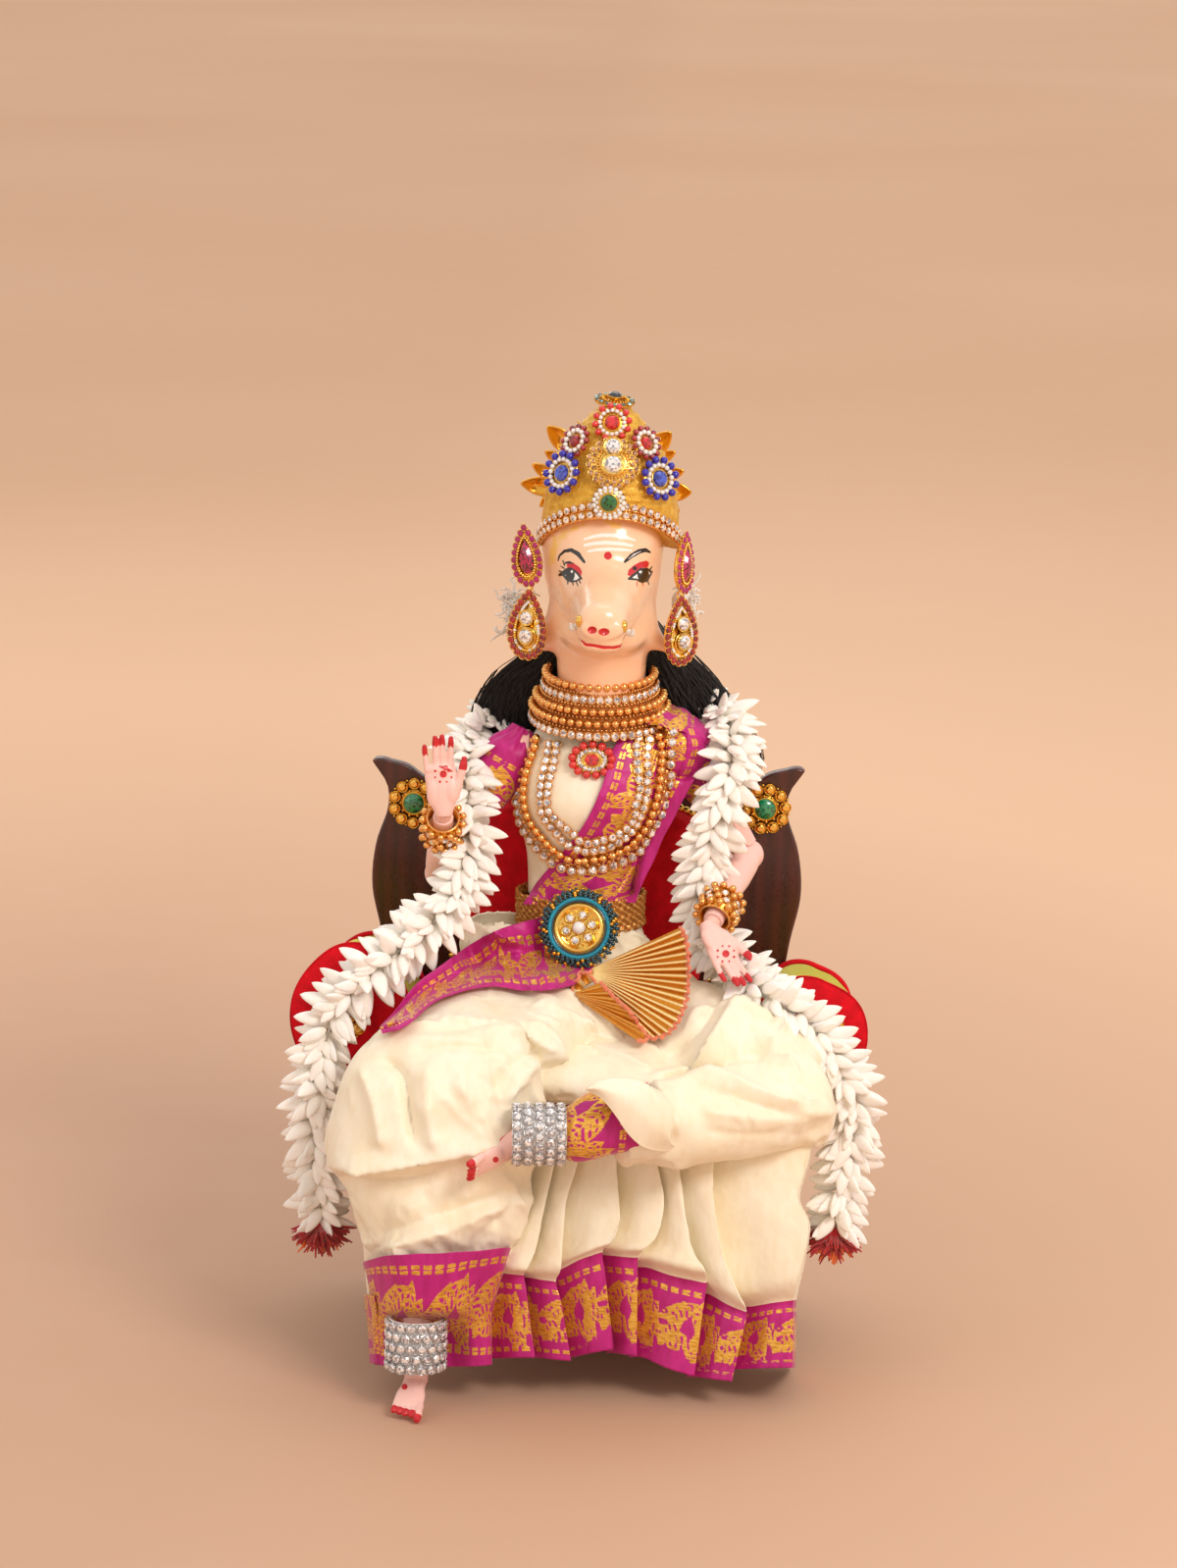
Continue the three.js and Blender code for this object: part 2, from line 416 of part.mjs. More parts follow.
const crownRows = [
  [5, 4.5, 244, 20, 20.5], [5, 4.2, 252, 21.4, 21], [5.2, 4, 262, 21, 20.6], [5.4, 4, 272, 19.6, 19],
  [5.6, 4, 281, 16.2, 15.6], [5.7, 4, 288, 11.6, 11.2], [5.8, 4, 293, 7.4, 7.2], [5.8, 4, 296, 4.4, 4.2],
];
function underBrim() {
  const g = new THREE.BoxGeometry(80, 120, 60);
  g.translate(0, 0, -30);
  g.rotateX(-0.36);
  g.translate(5, 0, 254.6);
  return solid(g);
}
piece('crown', biggest(cut(stack(crownRows, 18, 1), underBrim(), headSolid(GAP))), GOLD, 0.45, 0.5);

// the crest plate of pointed leaves stands behind the crown
const crestHalf = [[13, 262], [19, 261.6], [25.5, 264.5], [20, 267], [24.5, 271.5], [18, 272.5], [21.5, 277.5], [15.5, 277.5], [18.5, 284.5], [11.5, 281.5], [12.5, 289.5], [6, 285], [0, 290]];
const crestLine = [[0, 262], ...crestHalf.slice(0, -1), ...mirror(crestHalf)].map(([x, z]) => [x + 4.2, z]);
piece('petal_crest', plate(crestLine, 25.6, 27), GOLD, 0.15, 1);

const onCrown = (a, z, r, lift) => {
  const rad = (a * Math.PI) / 180;
  return [5.4 + Math.sin(rad) * (r + lift), 4 - Math.cos(rad) * (r + lift) * 0.985, z];
};
const outDir = (a, slope) => { const rad = (a * Math.PI) / 180; return [Math.sin(rad), -Math.cos(rad), slope]; };
piece('brow_brooch', brooch(onCrown(0, 269, 20.6, 2.4), outDir(0, 0.1), 5.2, 1.8, 10), GREEN, 0.2);
piece('crown_brooch_gold', brooch(onCrown(2, 280, 17.2, 0.5), outDir(2, 0.42), 8.4, 2, 16), GOLD, 0.25, 0.9);
piece('crown_brooch_red', brooch(onCrown(-1, 292.2, 9.4, 4.6), outDir(-1, 0.42), 6.1, 2, 12), RED, 0.3);
piece('crown_brooch_blue_right', brooch(onCrown(-49, 276, 18.6, 0.6), outDir(-44, 0.35), 6.8, 2, 12), BLUE, 0.3);
piece('crown_brooch_blue_left', brooch(onCrown(49, 275, 18.8, 0.6), outDir(44, 0.35), 6.8, 2, 12), BLUE, 0.3);
piece('crown_top_brooch', brooch([5.8, 4.6, 297.3], [0, -0.12, 1], 6.6, 2.2, 12), TEAL, 0.3);

// pear shaped brooches over the ears and the drops that hang from them
function pear(at, normal, w, h, thick) {
  const s = new THREE.Shape();
  const n = 16;
  for (let i = 0; i < n; i += 1) {
    const a = (i / n) * 2 * Math.PI;
    const x = Math.sin(a) * (w / 2) * (1 - 0.28 * Math.cos(a)), y = Math.cos(a) * (h / 2);
    if (i) s.lineTo(x, y); else s.moveTo(x, y);
  }
  const g = new THREE.ExtrudeGeometry(s, { depth: thick, bevelEnabled: false });
  g.translate(0, 0, -thick / 2);
  const z = V(normal).normalize(), x = new THREE.Vector3().crossVectors(new THREE.Vector3(0, 0, 1), z).normalize();
  const y = new THREE.Vector3().crossVectors(z, x);
  g.applyMatrix4(new THREE.Matrix4().makeBasis(x, y, z));
  g.translate(at[0], at[1], at[2]);
  return solid(g);
}
piece('ear_brooch_right', pear([-19.8, -3.5, 249.6], [-0.62, -0.78, 0], 11, 18.6, 2.4), PINK, 0.3);
piece('ear_brooch_left', pear([28.6, -2.5, 248], [0.93, -0.37, 0], 11, 18.6, 2.4), PINK, 0.3);
piece('drop_earring_right', pear([-19.2, -6.5, 228.4], [-0.45, -0.89, 0], 13.2, 21.4, 2.6), GOLD, 0.3, 0.6);
piece('drop_earring_left', pear([27.6, -7.5, 227.8], [0.72, -0.69, 0], 13.2, 21.4, 2.6), GOLD, 0.3, 0.6);

// ---- hair down the back -------------------------------------------------
const hair = stack([[9, 24.5, 173, 30, 4], [7, 24, 180, 37, 5.5], [4, 22.5, 190, 36, 7], [2.5, 21, 200, 33, 7.5], [3.5, 20.5, 208, 26, 6.5], [5, 20.5, 213, 17, 4.5]], 16, 1);
piece('hair_fall', biggest(cut(hair, stack(blouseRows, 16, 1, 2.3), stack(blouseRows, 16, 1, 4.35).intersect(band), chokerShape(), ball([4.8, 4.6, 204], [22.6, 20.8, 13], 16, 8), socketR, socketL, garlandRoomR, garlandRoomL)), BLACK, 0.8);

// ---- arms ---------------------------------------------------------------
const lerp = (a, b, k) => a.map((v, i) => v + (b[i] - v) * k);
function arm(side, S, E, W, handUp, palmOut, thumb) {
  const sx = side === 'right' ? -1 : 1;
  const root = [S[0] - sx * 5.2, S[1], S[2]];
  const elbowRoom = ball(E, 5 + GAP, 14, 10);
  const swing = (deg) => {
    const q = new THREE.Matrix4().makeTranslation(E[0], E[1], E[2])
      .multiply(new THREE.Matrix4().makeRotationX((deg * Math.PI) / 180))
      .multiply(new THREE.Matrix4().makeTranslation(-E[0], -E[1], -E[2]));
    return along([E, lerp(E, W, 0.3), lerp(E, W, 0.6)], [4.3, 4.6, 4], { nu: 10, nv: 3, up: [1, 0, 0], grow: GAP }).transform(q.toArray());
  };
  const elbowNotch = [-15, 0, 15].map(swing);
  const upper = cut(join(
    turned([[0, 0], [6, 0], [6, 6.5], [4.8, 9.5], [0, 9.5]], root, [sx, 0, 0], 20),
    along([[S[0] + sx * 1.5, S[1], S[2] - 1], lerp([S[0] + sx * 4, S[1], S[2] - 6], E, 0.35), E], [5.2, 5, 4.3], { nu: 10, nv: 4, up: [0, 1, 0] }),
  ), elbowRoom, ...elbowNotch);
  const upperArm = piece(`upper_arm_${side}`, biggest(upper), SKIN, 0.5);
  const axis = V(W).sub(V(E)), len = axis.length(), dir = axis.clone().normalize().toArray();
  const stop = lerp(E, W, 1 - 3.6 / len);
  const bore = turned([[0, -7], [1.9, -7], [1.9, 2], [0, 2]], stop, dir, 12);
  const fore = cut(join(ball(E, 5, 12, 8), along([E, lerp(E, W, 0.3), stop], [4.3, 4.6, 3.3], { nu: 10, nv: 4, up: [1, 0, 0] })), bore);
  piece(`forearm_${side}`, fore, SKIN, 0.5);
  const bangleAt = lerp(E, W, 1 - 16 / len);
  const bangle = ring(4.65, 6.8, 11.4, bangleAt, dir, 14);
  const cuff = piece(`bangle_${side}`, cut(bangle, along([E, lerp(E, W, 0.3), stop], [4.3, 4.6, 3.3], { nu: 10, nv: 4, up: [1, 0, 0], grow: GAP })), GOLD, 0.3, 0.8);
  const peg = join(turned([[0, -6.4], [1.5, -6.4], [1.5, 3.6], [0, 3.6]], stop, dir, 12), turned([[0, 0.35], [2.6, 0.35], [2.4, 2.4], [0, 2.4]], stop, dir, 12), ball(W, 2.3, 10, 6));
  piece(`wrist_peg_${side}`, peg, SKIN, 0.5);
  // the hand, in its own frame: X to the thumb, Z along the fingers, -Y out of the palm
  const z = V(handUp).normalize(), yIn = V(palmOut).multiplyScalar(-1);
  const x = new THREE.Vector3().crossVectors(yIn, z).normalize();
  const y = new THREE.Vector3().crossVectors(z, x);
  const t = thumb;
  let h = join(
    along([[0, 0, 1], [-0.2 * t, 0, 6.5], [-0.9 * t, 0, 13.4]], [[2.6, 2.3], [4.7, 2.3], [5, 1.7]], { nu: 10, nv: 4, up: [0, 1, 0] }),
  );
  [[-5.7, 20.2, 0.95], [-2.6, 22.8, 1.05], [-0.4, 23.2, 1.05], [2.2, 22.6, 1.05]].forEach(([fx, fz, r]) => {
    h = h.add(along([[fx * t * 0.86, 0, 11.5], [fx * t * 0.95, -0.2, (fz + 12) / 2], [fx * t, -0.7, fz]], [r + 0.3, r, r * 0.75], { nu: 6, nv: 3, up: [0, 1, 0] }));
  });
  h = h.add(along([[2.9 * t, 0, 4.2], [5 * t, -0.8, 9.6], [6.2 * t, -1.4, 15.4]], [2, 1.6, 0.95], { nu: 6, nv: 3, up: [0, 1, 0] }));
  const m = new THREE.Matrix4().makeBasis(x, y, z).setPosition(V(W));
  const hand = cut(h.transform(m.toArray()), ball(W, 2.3 + GAP, 10, 6));
  const palm = piece(`hand_${side}`, biggest(hand), SKIN, 0.4);
  return { upperArm, fore, cuff, palm, along: dir, across: x.toArray() };
}
const rightArm = arm('right', R_SHOULDER, R_ELBOW, R_WRIST, [-0.02, 0.05, 1], [0.12, -1, 0.05], 1);
const leftArm = arm('left', L_SHOULDER, L_ELBOW, L_WRIST, [0.5, -0.62, -0.62], [0.35, -0.62, 0.72], -1);

// ---- strings of flowers, as solids
// the loose strings give way where the arms swing
function turnedBy(s, at, axis, deg) {
  const q = new THREE.Matrix4().makeTranslation(...at)
    .multiply(new THREE.Matrix4().makeRotationAxis(V(axis).normalize(), (deg * Math.PI) / 180))
    .multiply(new THREE.Matrix4().makeTranslation(-at[0], -at[1], -at[2]));
  return s.transform(q.toArray());
}
function swingRoom(a, S, E, W, shoulder, elbow, wrist) {
  const lower = [a.fore, a.cuff, a.palm];
  return [
    ...shoulder.flatMap((d) => [a.upperArm, ...lower].map((s) => turnedBy(s, S, [1, 0, 0], d))),
    ...elbow.flatMap((d) => lower.map((s) => turnedBy(s, E, [1, 0, 0], d))),
    ...wrist.flatMap((d) => [turnedBy(a.palm, W, a.along, d), turnedBy(a.palm, W, a.across, d)]),
  ];
}
const roomR = swingRoom(rightArm, R_SHOULDER, R_ELBOW, R_WRIST, [-21, -14, 6.5, 11], [], []);
const roomL = swingRoom(leftArm, L_SHOULDER, L_ELBOW, L_WRIST, [-16, -13, -10.5, -7], [2, 5, 6], []);
piece('garland_right', biggest(cut(strung(garlandRight, garlandRadiiR), ...roomR)), WHITE, 0.7);
piece('garland_left', biggest(cut(strung(garlandLeft, garlandRadiiL), ...roomL)), WHITE, 0.7);

export default part;
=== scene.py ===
import bpy
import bmesh
import math
import numpy as np
from mathutils import Vector, Matrix
from mathutils.bvhtree import BVHTree


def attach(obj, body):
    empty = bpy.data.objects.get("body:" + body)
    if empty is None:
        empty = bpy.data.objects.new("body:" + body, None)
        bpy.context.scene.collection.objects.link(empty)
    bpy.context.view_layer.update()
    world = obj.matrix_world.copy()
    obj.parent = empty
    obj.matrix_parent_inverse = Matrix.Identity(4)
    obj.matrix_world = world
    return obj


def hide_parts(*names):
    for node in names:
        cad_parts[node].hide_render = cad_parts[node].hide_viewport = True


# Jointed doll seated on a small throne. Lengths below are in millimetres and
# are turned into metres when a mesh is made. Front is -Y, up is +Z.
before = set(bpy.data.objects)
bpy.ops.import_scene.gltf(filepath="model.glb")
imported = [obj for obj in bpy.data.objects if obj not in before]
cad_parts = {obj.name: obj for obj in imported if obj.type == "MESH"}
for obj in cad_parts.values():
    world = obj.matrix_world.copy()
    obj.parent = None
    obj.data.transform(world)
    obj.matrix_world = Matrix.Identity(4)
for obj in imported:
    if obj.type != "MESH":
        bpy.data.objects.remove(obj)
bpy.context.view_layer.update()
MM = 0.001
rng = np.random.default_rng(11)

ROOT = "throne_and_body"
HEAD = np.array([5.0, 3.0, 244.0])
NECK = np.array([5.5, 4.6, 206.0])
S = {"right": np.array([-24.0, 4, 187]), "left": np.array([31.0, 4, 187])}
E = {"right": np.array([-46.0, -3, 148]), "left": np.array([50.5, 5, 154.5])}
W = {"right": np.array([-43.2, -32, 174.5]), "left": np.array([39.0, -30, 139])}

# ---- camera at the photograph's angle ------------------------------------
PW, PH, FOCAL, DIST = 1200.0, 1598.0, 4890.0, 1500.0
EL, AZ, ROLL = (math.radians(a) for a in (12.0, 2.0, 1.0))
TARGET = np.array([0.0, 0.0, 177.0])
BACK = np.array([math.sin(AZ) * math.cos(EL), -math.cos(AZ) * math.cos(EL), math.sin(EL)])
CAM = TARGET + BACK * DIST
_r = np.array([math.cos(AZ), math.sin(AZ), 0.0])
_u = np.cross(BACK, _r)
CR = _r * math.cos(ROLL) + _u * math.sin(ROLL)
CU = -_r * math.sin(ROLL) + _u * math.cos(ROLL)
cam_data = bpy.data.cameras.new("camera")
cam_data.sensor_fit = "AUTO"
cam_data.sensor_width = 36.0
cam_data.lens = FOCAL / PH * 36.0
cam_data.clip_start, cam_data.clip_end = 0.05, 100.0
cam = bpy.data.objects.new("camera", cam_data)
bpy.context.scene.collection.objects.link(cam)
cam.matrix_world = Matrix([[CR[0], CU[0], BACK[0], CAM[0] * MM], [CR[1], CU[1], BACK[1], CAM[1] * MM],
                           [CR[2], CU[2], BACK[2], CAM[2] * MM], [0, 0, 0, 1]])
bpy.context.scene.camera = cam


def px(p):
    """Where points in the row frame lie in the 1200 by 1598 frame."""
    v = np.asarray(p, float) - CAM
    z = -(v @ BACK)
    return np.stack([PW / 2 + FOCAL * (v @ CR) / z, PH / 2 - FOCAL * (v @ CU) / z], -1)


def sight(u, v):
    d = CR * (u - PW / 2) / FOCAL - CU * (v - PH / 2) / FOCAL - BACK
    return d / np.linalg.norm(d)


def at_y(u, v, y):
    d = sight(u, v)
    return CAM + d * (y - CAM[1]) / d[1]


# ---- numbers, curves, noise ----------------------------------------------
def unit(a):
    a = np.asarray(a, float)
    return a / max(np.linalg.norm(a), 1e-12)


def smoothstep(a, b, x):
    t = np.clip((np.asarray(x, float) - a) / (b - a), 0, 1)
    return t * t * (3 - 2 * t)


def _hash(i, j, k, seed):
    h = (i * 374761393 + j * 668265263 + k * 2147483647 + seed * 1274126177) & 0xFFFFFFFF
    h = ((h ^ (h >> 13)) * 1274126177) & 0xFFFFFFFF
    h = ((h ^ (h >> 16)) * 2246822519) & 0xFFFFFFFF
    return ((h ^ (h >> 15)) & 0xFFFF) / 32767.5 - 1.0


def noise(p, size, seed=0):
    """Smooth value noise from -1 to 1, with cells of that size in millimetres."""
    p = np.asarray(p, float) / size
    i = np.floor(p).astype(np.int64)
    f = p - i
    f = f * f * (3 - 2 * f)
    out = 0
    for a in (0, 1):
        for b in (0, 1):
            for c in (0, 1):
                w = (f[..., 0] if a else 1 - f[..., 0]) * (f[..., 1] if b else 1 - f[..., 1]) * (f[..., 2] if c else 1 - f[..., 2])
                out = out + w * _hash(i[..., 0] + a, i[..., 1] + b, i[..., 2] + c, seed)
    return out


def fbm(p, size, seed=0, octaves=3):
    return sum(noise(p, size / 2 ** k, seed + k) / 2 ** k for k in range(octaves)) / 1.75


def spline(points, n):
    """n points at even steps of a centripetal Catmull-Rom curve."""
    p = np.asarray(points, float)
    p = np.vstack([2 * p[0] - p[1], p, 2 * p[-1] - p[-2]])
    out = []
    for i in range(1, len(p) - 2):
        a, b, c, d = p[i - 1:i + 3]
        t = [0.0]
        for q, r in ((a, b), (b, c), (c, d)):
            t.append(t[-1] + max(np.linalg.norm(r - q), 1e-6) ** 0.5)
        for x in np.linspace(t[1], t[2], 24, endpoint=False):
            a1 = (t[1] - x) / (t[1] - t[0]) * a + (x - t[0]) / (t[1] - t[0]) * b
            a2 = (t[2] - x) / (t[2] - t[1]) * b + (x - t[1]) / (t[2] - t[1]) * c
            a3 = (t[3] - x) / (t[3] - t[2]) * c + (x - t[2]) / (t[3] - t[2]) * d
            b1 = (t[2] - x) / (t[2] - t[0]) * a1 + (x - t[0]) / (t[2] - t[0]) * a2
            b2 = (t[3] - x) / (t[3] - t[1]) * a2 + (x - t[1]) / (t[3] - t[1]) * a3
            out.append((t[2] - x) / (t[2] - t[1]) * b1 + (x - t[1]) / (t[2] - t[1]) * b2)
    out.append(p[-2])
    return evenly(np.array(out), n)


def evenly(line, n):
    s = np.concatenate([[0], np.cumsum(np.linalg.norm(np.diff(line, axis=0), axis=1))])
    at = np.linspace(0, s[-1], n)
    return np.stack([np.interp(at, s, line[:, k]) for k in range(line.shape[1])], 1)


def long_of(line):
    return float(np.linalg.norm(np.diff(line, axis=0), axis=1).sum())


def ramp(x, xs, ys):
    """Smooth interpolation through the values ys at xs."""
    x = np.clip(np.asarray(x, float), xs[0], xs[-1])
    i = np.clip(np.searchsorted(xs, x, side="right") - 1, 0, len(xs) - 2)
    xs, ys = np.asarray(xs, float), np.asarray(ys, float)
    m = np.gradient(ys, xs, axis=0) if len(xs) > 2 else np.full_like(ys, (ys[1] - ys[0]) / (xs[1] - xs[0]))
    h = xs[i + 1] - xs[i]
    t = (x - xs[i]) / h
    if ys.ndim > 1:
        t, h = t[..., None], h[..., None]
    return (2 * t ** 3 - 3 * t ** 2 + 1) * ys[i] + (t ** 3 - 2 * t ** 2 + t) * h * m[i] + (3 * t ** 2 - 2 * t ** 3) * ys[i + 1] + (t ** 3 - t ** 2) * h * m[i + 1]


# ---- meshes ----------------------------------------------------------------
class Build:
    """Collects small meshes, with a material number and attributes for each."""

    def __init__(self):
        self.v, self.f, self.m, self.s, self.n, self.a = [], [], [], [], 0, {}

    def add(self, verts, faces, mat=0, smooth=True, **attrs):
        verts = np.asarray(verts, float)
        self.v.append(verts)
        self.f += [tuple(i + self.n for i in f) for f in faces]
        self.m += [mat] * len(faces)
        self.s += [smooth] * len(faces)
        for k, x in attrs.items():
            if k not in self.a:
                self.a[k] = [np.zeros(self.n)]
            self.a[k].append(np.broadcast_to(np.asarray(x, float), (len(verts),)))
        for k in self.a:
            if k not in attrs:
                self.a[k].append(np.zeros(len(verts)))
        self.n += len(verts)
        return self

    def put(self, shape, m, mat=0, smooth=True):
        """A shape (verts, faces) through a 3x4 matrix: columns X, Y, Z, place."""
        v, f = shape
        return self.add(v @ m[:, :3].T + m[:, 3], f, mat, smooth)

    def mesh(self, name):
        me = bpy.data.meshes.new(name)
        v = np.concatenate(self.v) * MM
        me.from_pydata(v.tolist(), [], self.f)
        me.polygons.foreach_set("material_index", np.array(self.m, np.int32))
        me.polygons.foreach_set("use_smooth", np.array(self.s, bool))
        for k, parts in self.a.items():
            me.attributes.new(k, "FLOAT", "POINT").data.foreach_set("value", np.concatenate(parts).astype(np.float32))
        me.update()
        return me

    def make(self, name, mats, body=ROOT, replaces=(), slot=None):
        return place(name, self.mesh(name), mats, body, replaces)


def place(name, me, mats, body=ROOT, replaces=()):
    for m in mats if isinstance(mats, (list, tuple)) else [mats]:
        me.materials.append(m)
    o = bpy.data.objects.new(name, me)
    bpy.context.scene.collection.objects.link(o)
    if body:
        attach(o, body)
    if replaces:
        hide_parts(*([replaces] if isinstance(replaces, str) else replaces))
    return o


def modify(me, *mods):
    """The mesh after these modifiers: (type, {setting: value})."""
    o = bpy.data.objects.new("tmp", me)
    bpy.context.scene.collection.objects.link(o)
    for kind, settings in mods:
        m = o.modifiers.new(kind, kind)
        for k, x in settings.items():
            setattr(m, k, x)
    bpy.context.view_layer.update()
    out = bpy.data.meshes.new_from_object(o.evaluated_get(bpy.context.evaluated_depsgraph_get()))
    bpy.data.objects.remove(o)
    return out


def arrays(me):
    v = np.zeros(len(me.vertices) * 3)
    me.vertices.foreach_get("co", v)
    return v.reshape(-1, 3) / MM, [tuple(p.vertices) for p in me.polygons]


def moulded(build, voxel, rounds=6, factor=0.5):
    """Closed shapes joined into one skin of even quads, and softened."""
    me = modify(build.mesh("tmp"), ("REMESH", {"mode": "VOXEL", "voxel_size": voxel * MM}),
                ("SMOOTH", {"iterations": rounds, "factor": factor}))
    return arrays(me)


def normals(v, f):
    n = np.zeros_like(v)
    quads = np.array([q if len(q) == 4 else (q[0], q[1], q[2], q[2]) for q in f])
    a = np.cross(v[quads[:, 2]] - v[quads[:, 0]], v[quads[:, 3]] - v[quads[:, 1]])
    for k in range(4):
        np.add.at(n, quads[:, k], a)
    return n / np.maximum(np.linalg.norm(n, axis=1), 1e-12)[:, None]


def grid_faces(nu, nv, wrap=False):
    """Faces of nu rows by nv columns of points."""
    out = []
    for i in range(nu - 1):
        for j in range(nv if wrap else nv - 1):
            k = (j + 1) % nv
            out.append((i * nv + j, i * nv + k, (i + 1) * nv + k, (i + 1) * nv + j))
    return out


def frames(line, up):
    d = np.gradient(line, axis=0)
    d /= np.linalg.norm(d, axis=1)[:, None]
    u = np.array([up(t) for t in np.linspace(0, 1, len(line))]) if callable(up) else np.tile(np.asarray(up, float), (len(line), 1))
    side = np.cross(d, u)
    side /= np.maximum(np.linalg.norm(side, axis=1), 1e-9)[:, None]
    return d, side, np.cross(side, d)


def tube(points, radii, nu=12, nv=12, up=(0, 0, 1), ends=True):
    """A closed tube along a curve; radii are numbers or (side, up) pairs at even steps."""
    line = spline(points, nv + 1) if len(points) > 2 else evenly(np.asarray(points, float), nv + 1)
    r = np.array([x if hasattr(x, "__len__") else (x, x) for x in radii], float)
    t = np.linspace(0, len(r) - 1, nv + 1)
    i = np.minimum(t.astype(int), len(r) - 2)
    w = t - i
    w = (w * w * (3 - 2 * w))[:, None]
    r = r[i] * (1 - w) + r[i + 1] * w
    d, side, top = frames(line, up)
    a = np.linspace(0, 2 * np.pi, nu, endpoint=False)
    v = (line[:, None] + side[:, None] * (np.cos(a)[None, :, None] * r[:, None, :1]) + top[:, None] * (np.sin(a)[None, :, None] * r[:, None, 1:])).reshape(-1, 3)
    f = grid_faces(nv + 1, nu, True)
    if ends:
        e0, e1 = line[0] - d[0] * r[0].min() * 0.45, line[-1] + d[-1] * r[-1].min() * 0.45
        v = np.vstack([v, e0, e1])
        k = (nv + 1) * nu
        f += [(k, (j + 1) % nu, j) for j in range(nu)] + [(k + 1, nv * nu + j, nv * nu + (j + 1) % nu) for j in range(nu)]
    return v, f


def ellipsoid(c, r, nu=24, nv=16):
    r = np.array(r if hasattr(r, "__len__") else (r, r, r), float)
    t = np.linspace(0, np.pi, nv + 1)[1:-1]
    a = np.linspace(0, 2 * np.pi, nu, endpoint=False)
    v = np.stack([np.sin(t)[:, None] * np.cos(a), np.sin(t)[:, None] * np.sin(a), np.cos(t)[:, None] + 0 * a], -1).reshape(-1, 3)
    v = np.vstack([v, [0, 0, 1], [0, 0, -1]]) * r + np.asarray(c, float)
    f = [q[::-1] for q in grid_faces(nv - 1, nu, True)]
    k = (nv - 1) * nu
    f += [(k, j, (j + 1) % nu) for j in range(nu)] + [(k + 1, (nv - 2) * nu + (j + 1) % nu, (nv - 2) * nu + j) for j in range(nu)]
    return v, f


def stack_row(rows, t):
    """Centre and half sizes at a height t, in rows, by Catmull-Rom."""
    rows = np.asarray(rows, float)
    t = np.asarray(t, float)
    i = np.clip(t.astype(int), 0, len(rows) - 2)
    f = (t - i)[..., None]
    p0, p1, p2, p3 = rows[np.maximum(i - 1, 0)], rows[i], rows[i + 1], rows[np.minimum(i + 2, len(rows) - 1)]
    return 0.5 * (2 * p1 + (p2 - p0) * f + (2 * p0 - 5 * p1 + 4 * p2 - p3) * f ** 2 + (3 * p1 - p0 - 3 * p2 + p3) * f ** 3)


def stacked(rows, nu=32, sub=6, grow=0.0, ends=True):
    n = (len(rows) - 1) * sub + 1
    r = stack_row(rows, np.linspace(0, len(rows) - 1, n))
    a = np.linspace(0, 2 * np.pi, nu, endpoint=False)
    v = np.stack([r[:, :1] + (r[:, 3:4] + grow) * np.cos(a), r[:, 1:2] + (r[:, 4:5] + grow) * np.sin(a), r[:, 2:3] + 0 * a], -1).reshape(-1, 3)
    f = grid_faces(n, nu, True)
    if ends:
        v = np.vstack([v, r[0, :3], r[-1, :3]])
        f += [(n * nu, (j + 1) % nu, j) for j in range(nu)] + [(n * nu + 1, (n - 1) * nu + j, (n - 1) * nu + (j + 1) % nu) for j in range(nu)]
    return v, f


def lathe(profile, nu=24, closed=False):
    """Turned about Z: profile of (radius, height)."""
    a = np.linspace(0, 2 * np.pi, nu, endpoint=False)
    p = np.asarray(profile, float)
    v = np.stack([p[:, :1] * np.cos(a), p[:, :1] * np.sin(a), p[:, 1:] + 0 * a], -1).reshape(-1, 3)
    f = grid_faces(len(p), nu, True)
    if closed:
        n = len(p)
        f += [((n - 1) * nu + j, (n - 1) * nu + (j + 1) % nu, (j + 1) % nu, j) for j in range(nu)]
    return v, f


def facing(p, n, up=(0, 0, 1), size=1.0, spin=0.0):
    """A 3x4 matrix whose Z is the normal and whose Y is up."""
    z = unit(n)
    x = np.cross(np.asarray(up, float), z)
    if np.linalg.norm(x) < 1e-6:
        x = np.cross((0, 1, 0), z)
    x = unit(x)
    y = np.cross(z, x)
    c, s = math.cos(spin), math.sin(spin)
    sx, sy, sz = (size, size, size) if not hasattr(size, "__len__") else size
    return np.column_stack([(x * c + y * s) * sx, (y * c - x * s) * sy, z * sz, np.asarray(p, float)])


def at(m, x, y, z=0.0):
    return m[:, :3] @ np.array([x, y, z], float) + m[:, 3]


def bvh(v, f):
    return BVHTree.FromPolygons([Vector(p) for p in v], f)


def on_sight(tree, u, v, lift=0.0):
    """Where the camera's line at a pixel meets the surface, and the normal there."""
    hit = tree.ray_cast(Vector(CAM), Vector(sight(u, v)))
    if hit[0] is None:
        return None
    n = np.array(hit[1])
    if n @ sight(u, v) > 0:
        n = -n
    return np.array(hit[0]) + n * lift, n


# ---- small shapes, size 1 --------------------------------------------------
BALL = ellipsoid((0, 0, 0), 1.0, 12, 8)
BALL_FINE = ellipsoid((0, 0, 0), 1.0, 20, 12)


def _gem(n=8):
    a = np.arange(n) * 2 * np.pi / n
    b = a + np.pi / n
    g = np.stack([np.cos(a), np.sin(a), 0 * a], 1)
    m = np.stack([0.86 * np.cos(b), 0.86 * np.sin(b), 0 * b + 0.34], 1)
    t = np.stack([0.56 * np.cos(a), 0.56 * np.sin(a), 0 * a + 0.56], 1)
    v = np.vstack([g, m, t, [[0, 0, -0.35]]])
    f = []
    for i in range(n):
        j = (i + 1) % n
        f += [(i, j, n + i), (n + i, j, n + j), (n + i, n + j, 2 * n + j), (n + i, 2 * n + j, 2 * n + i), (3 * n, j, i)]
    f.append(tuple(2 * n + i for i in range(n)))
    return v, f


GEM = _gem(8)
GEM_FINE = _gem(12)


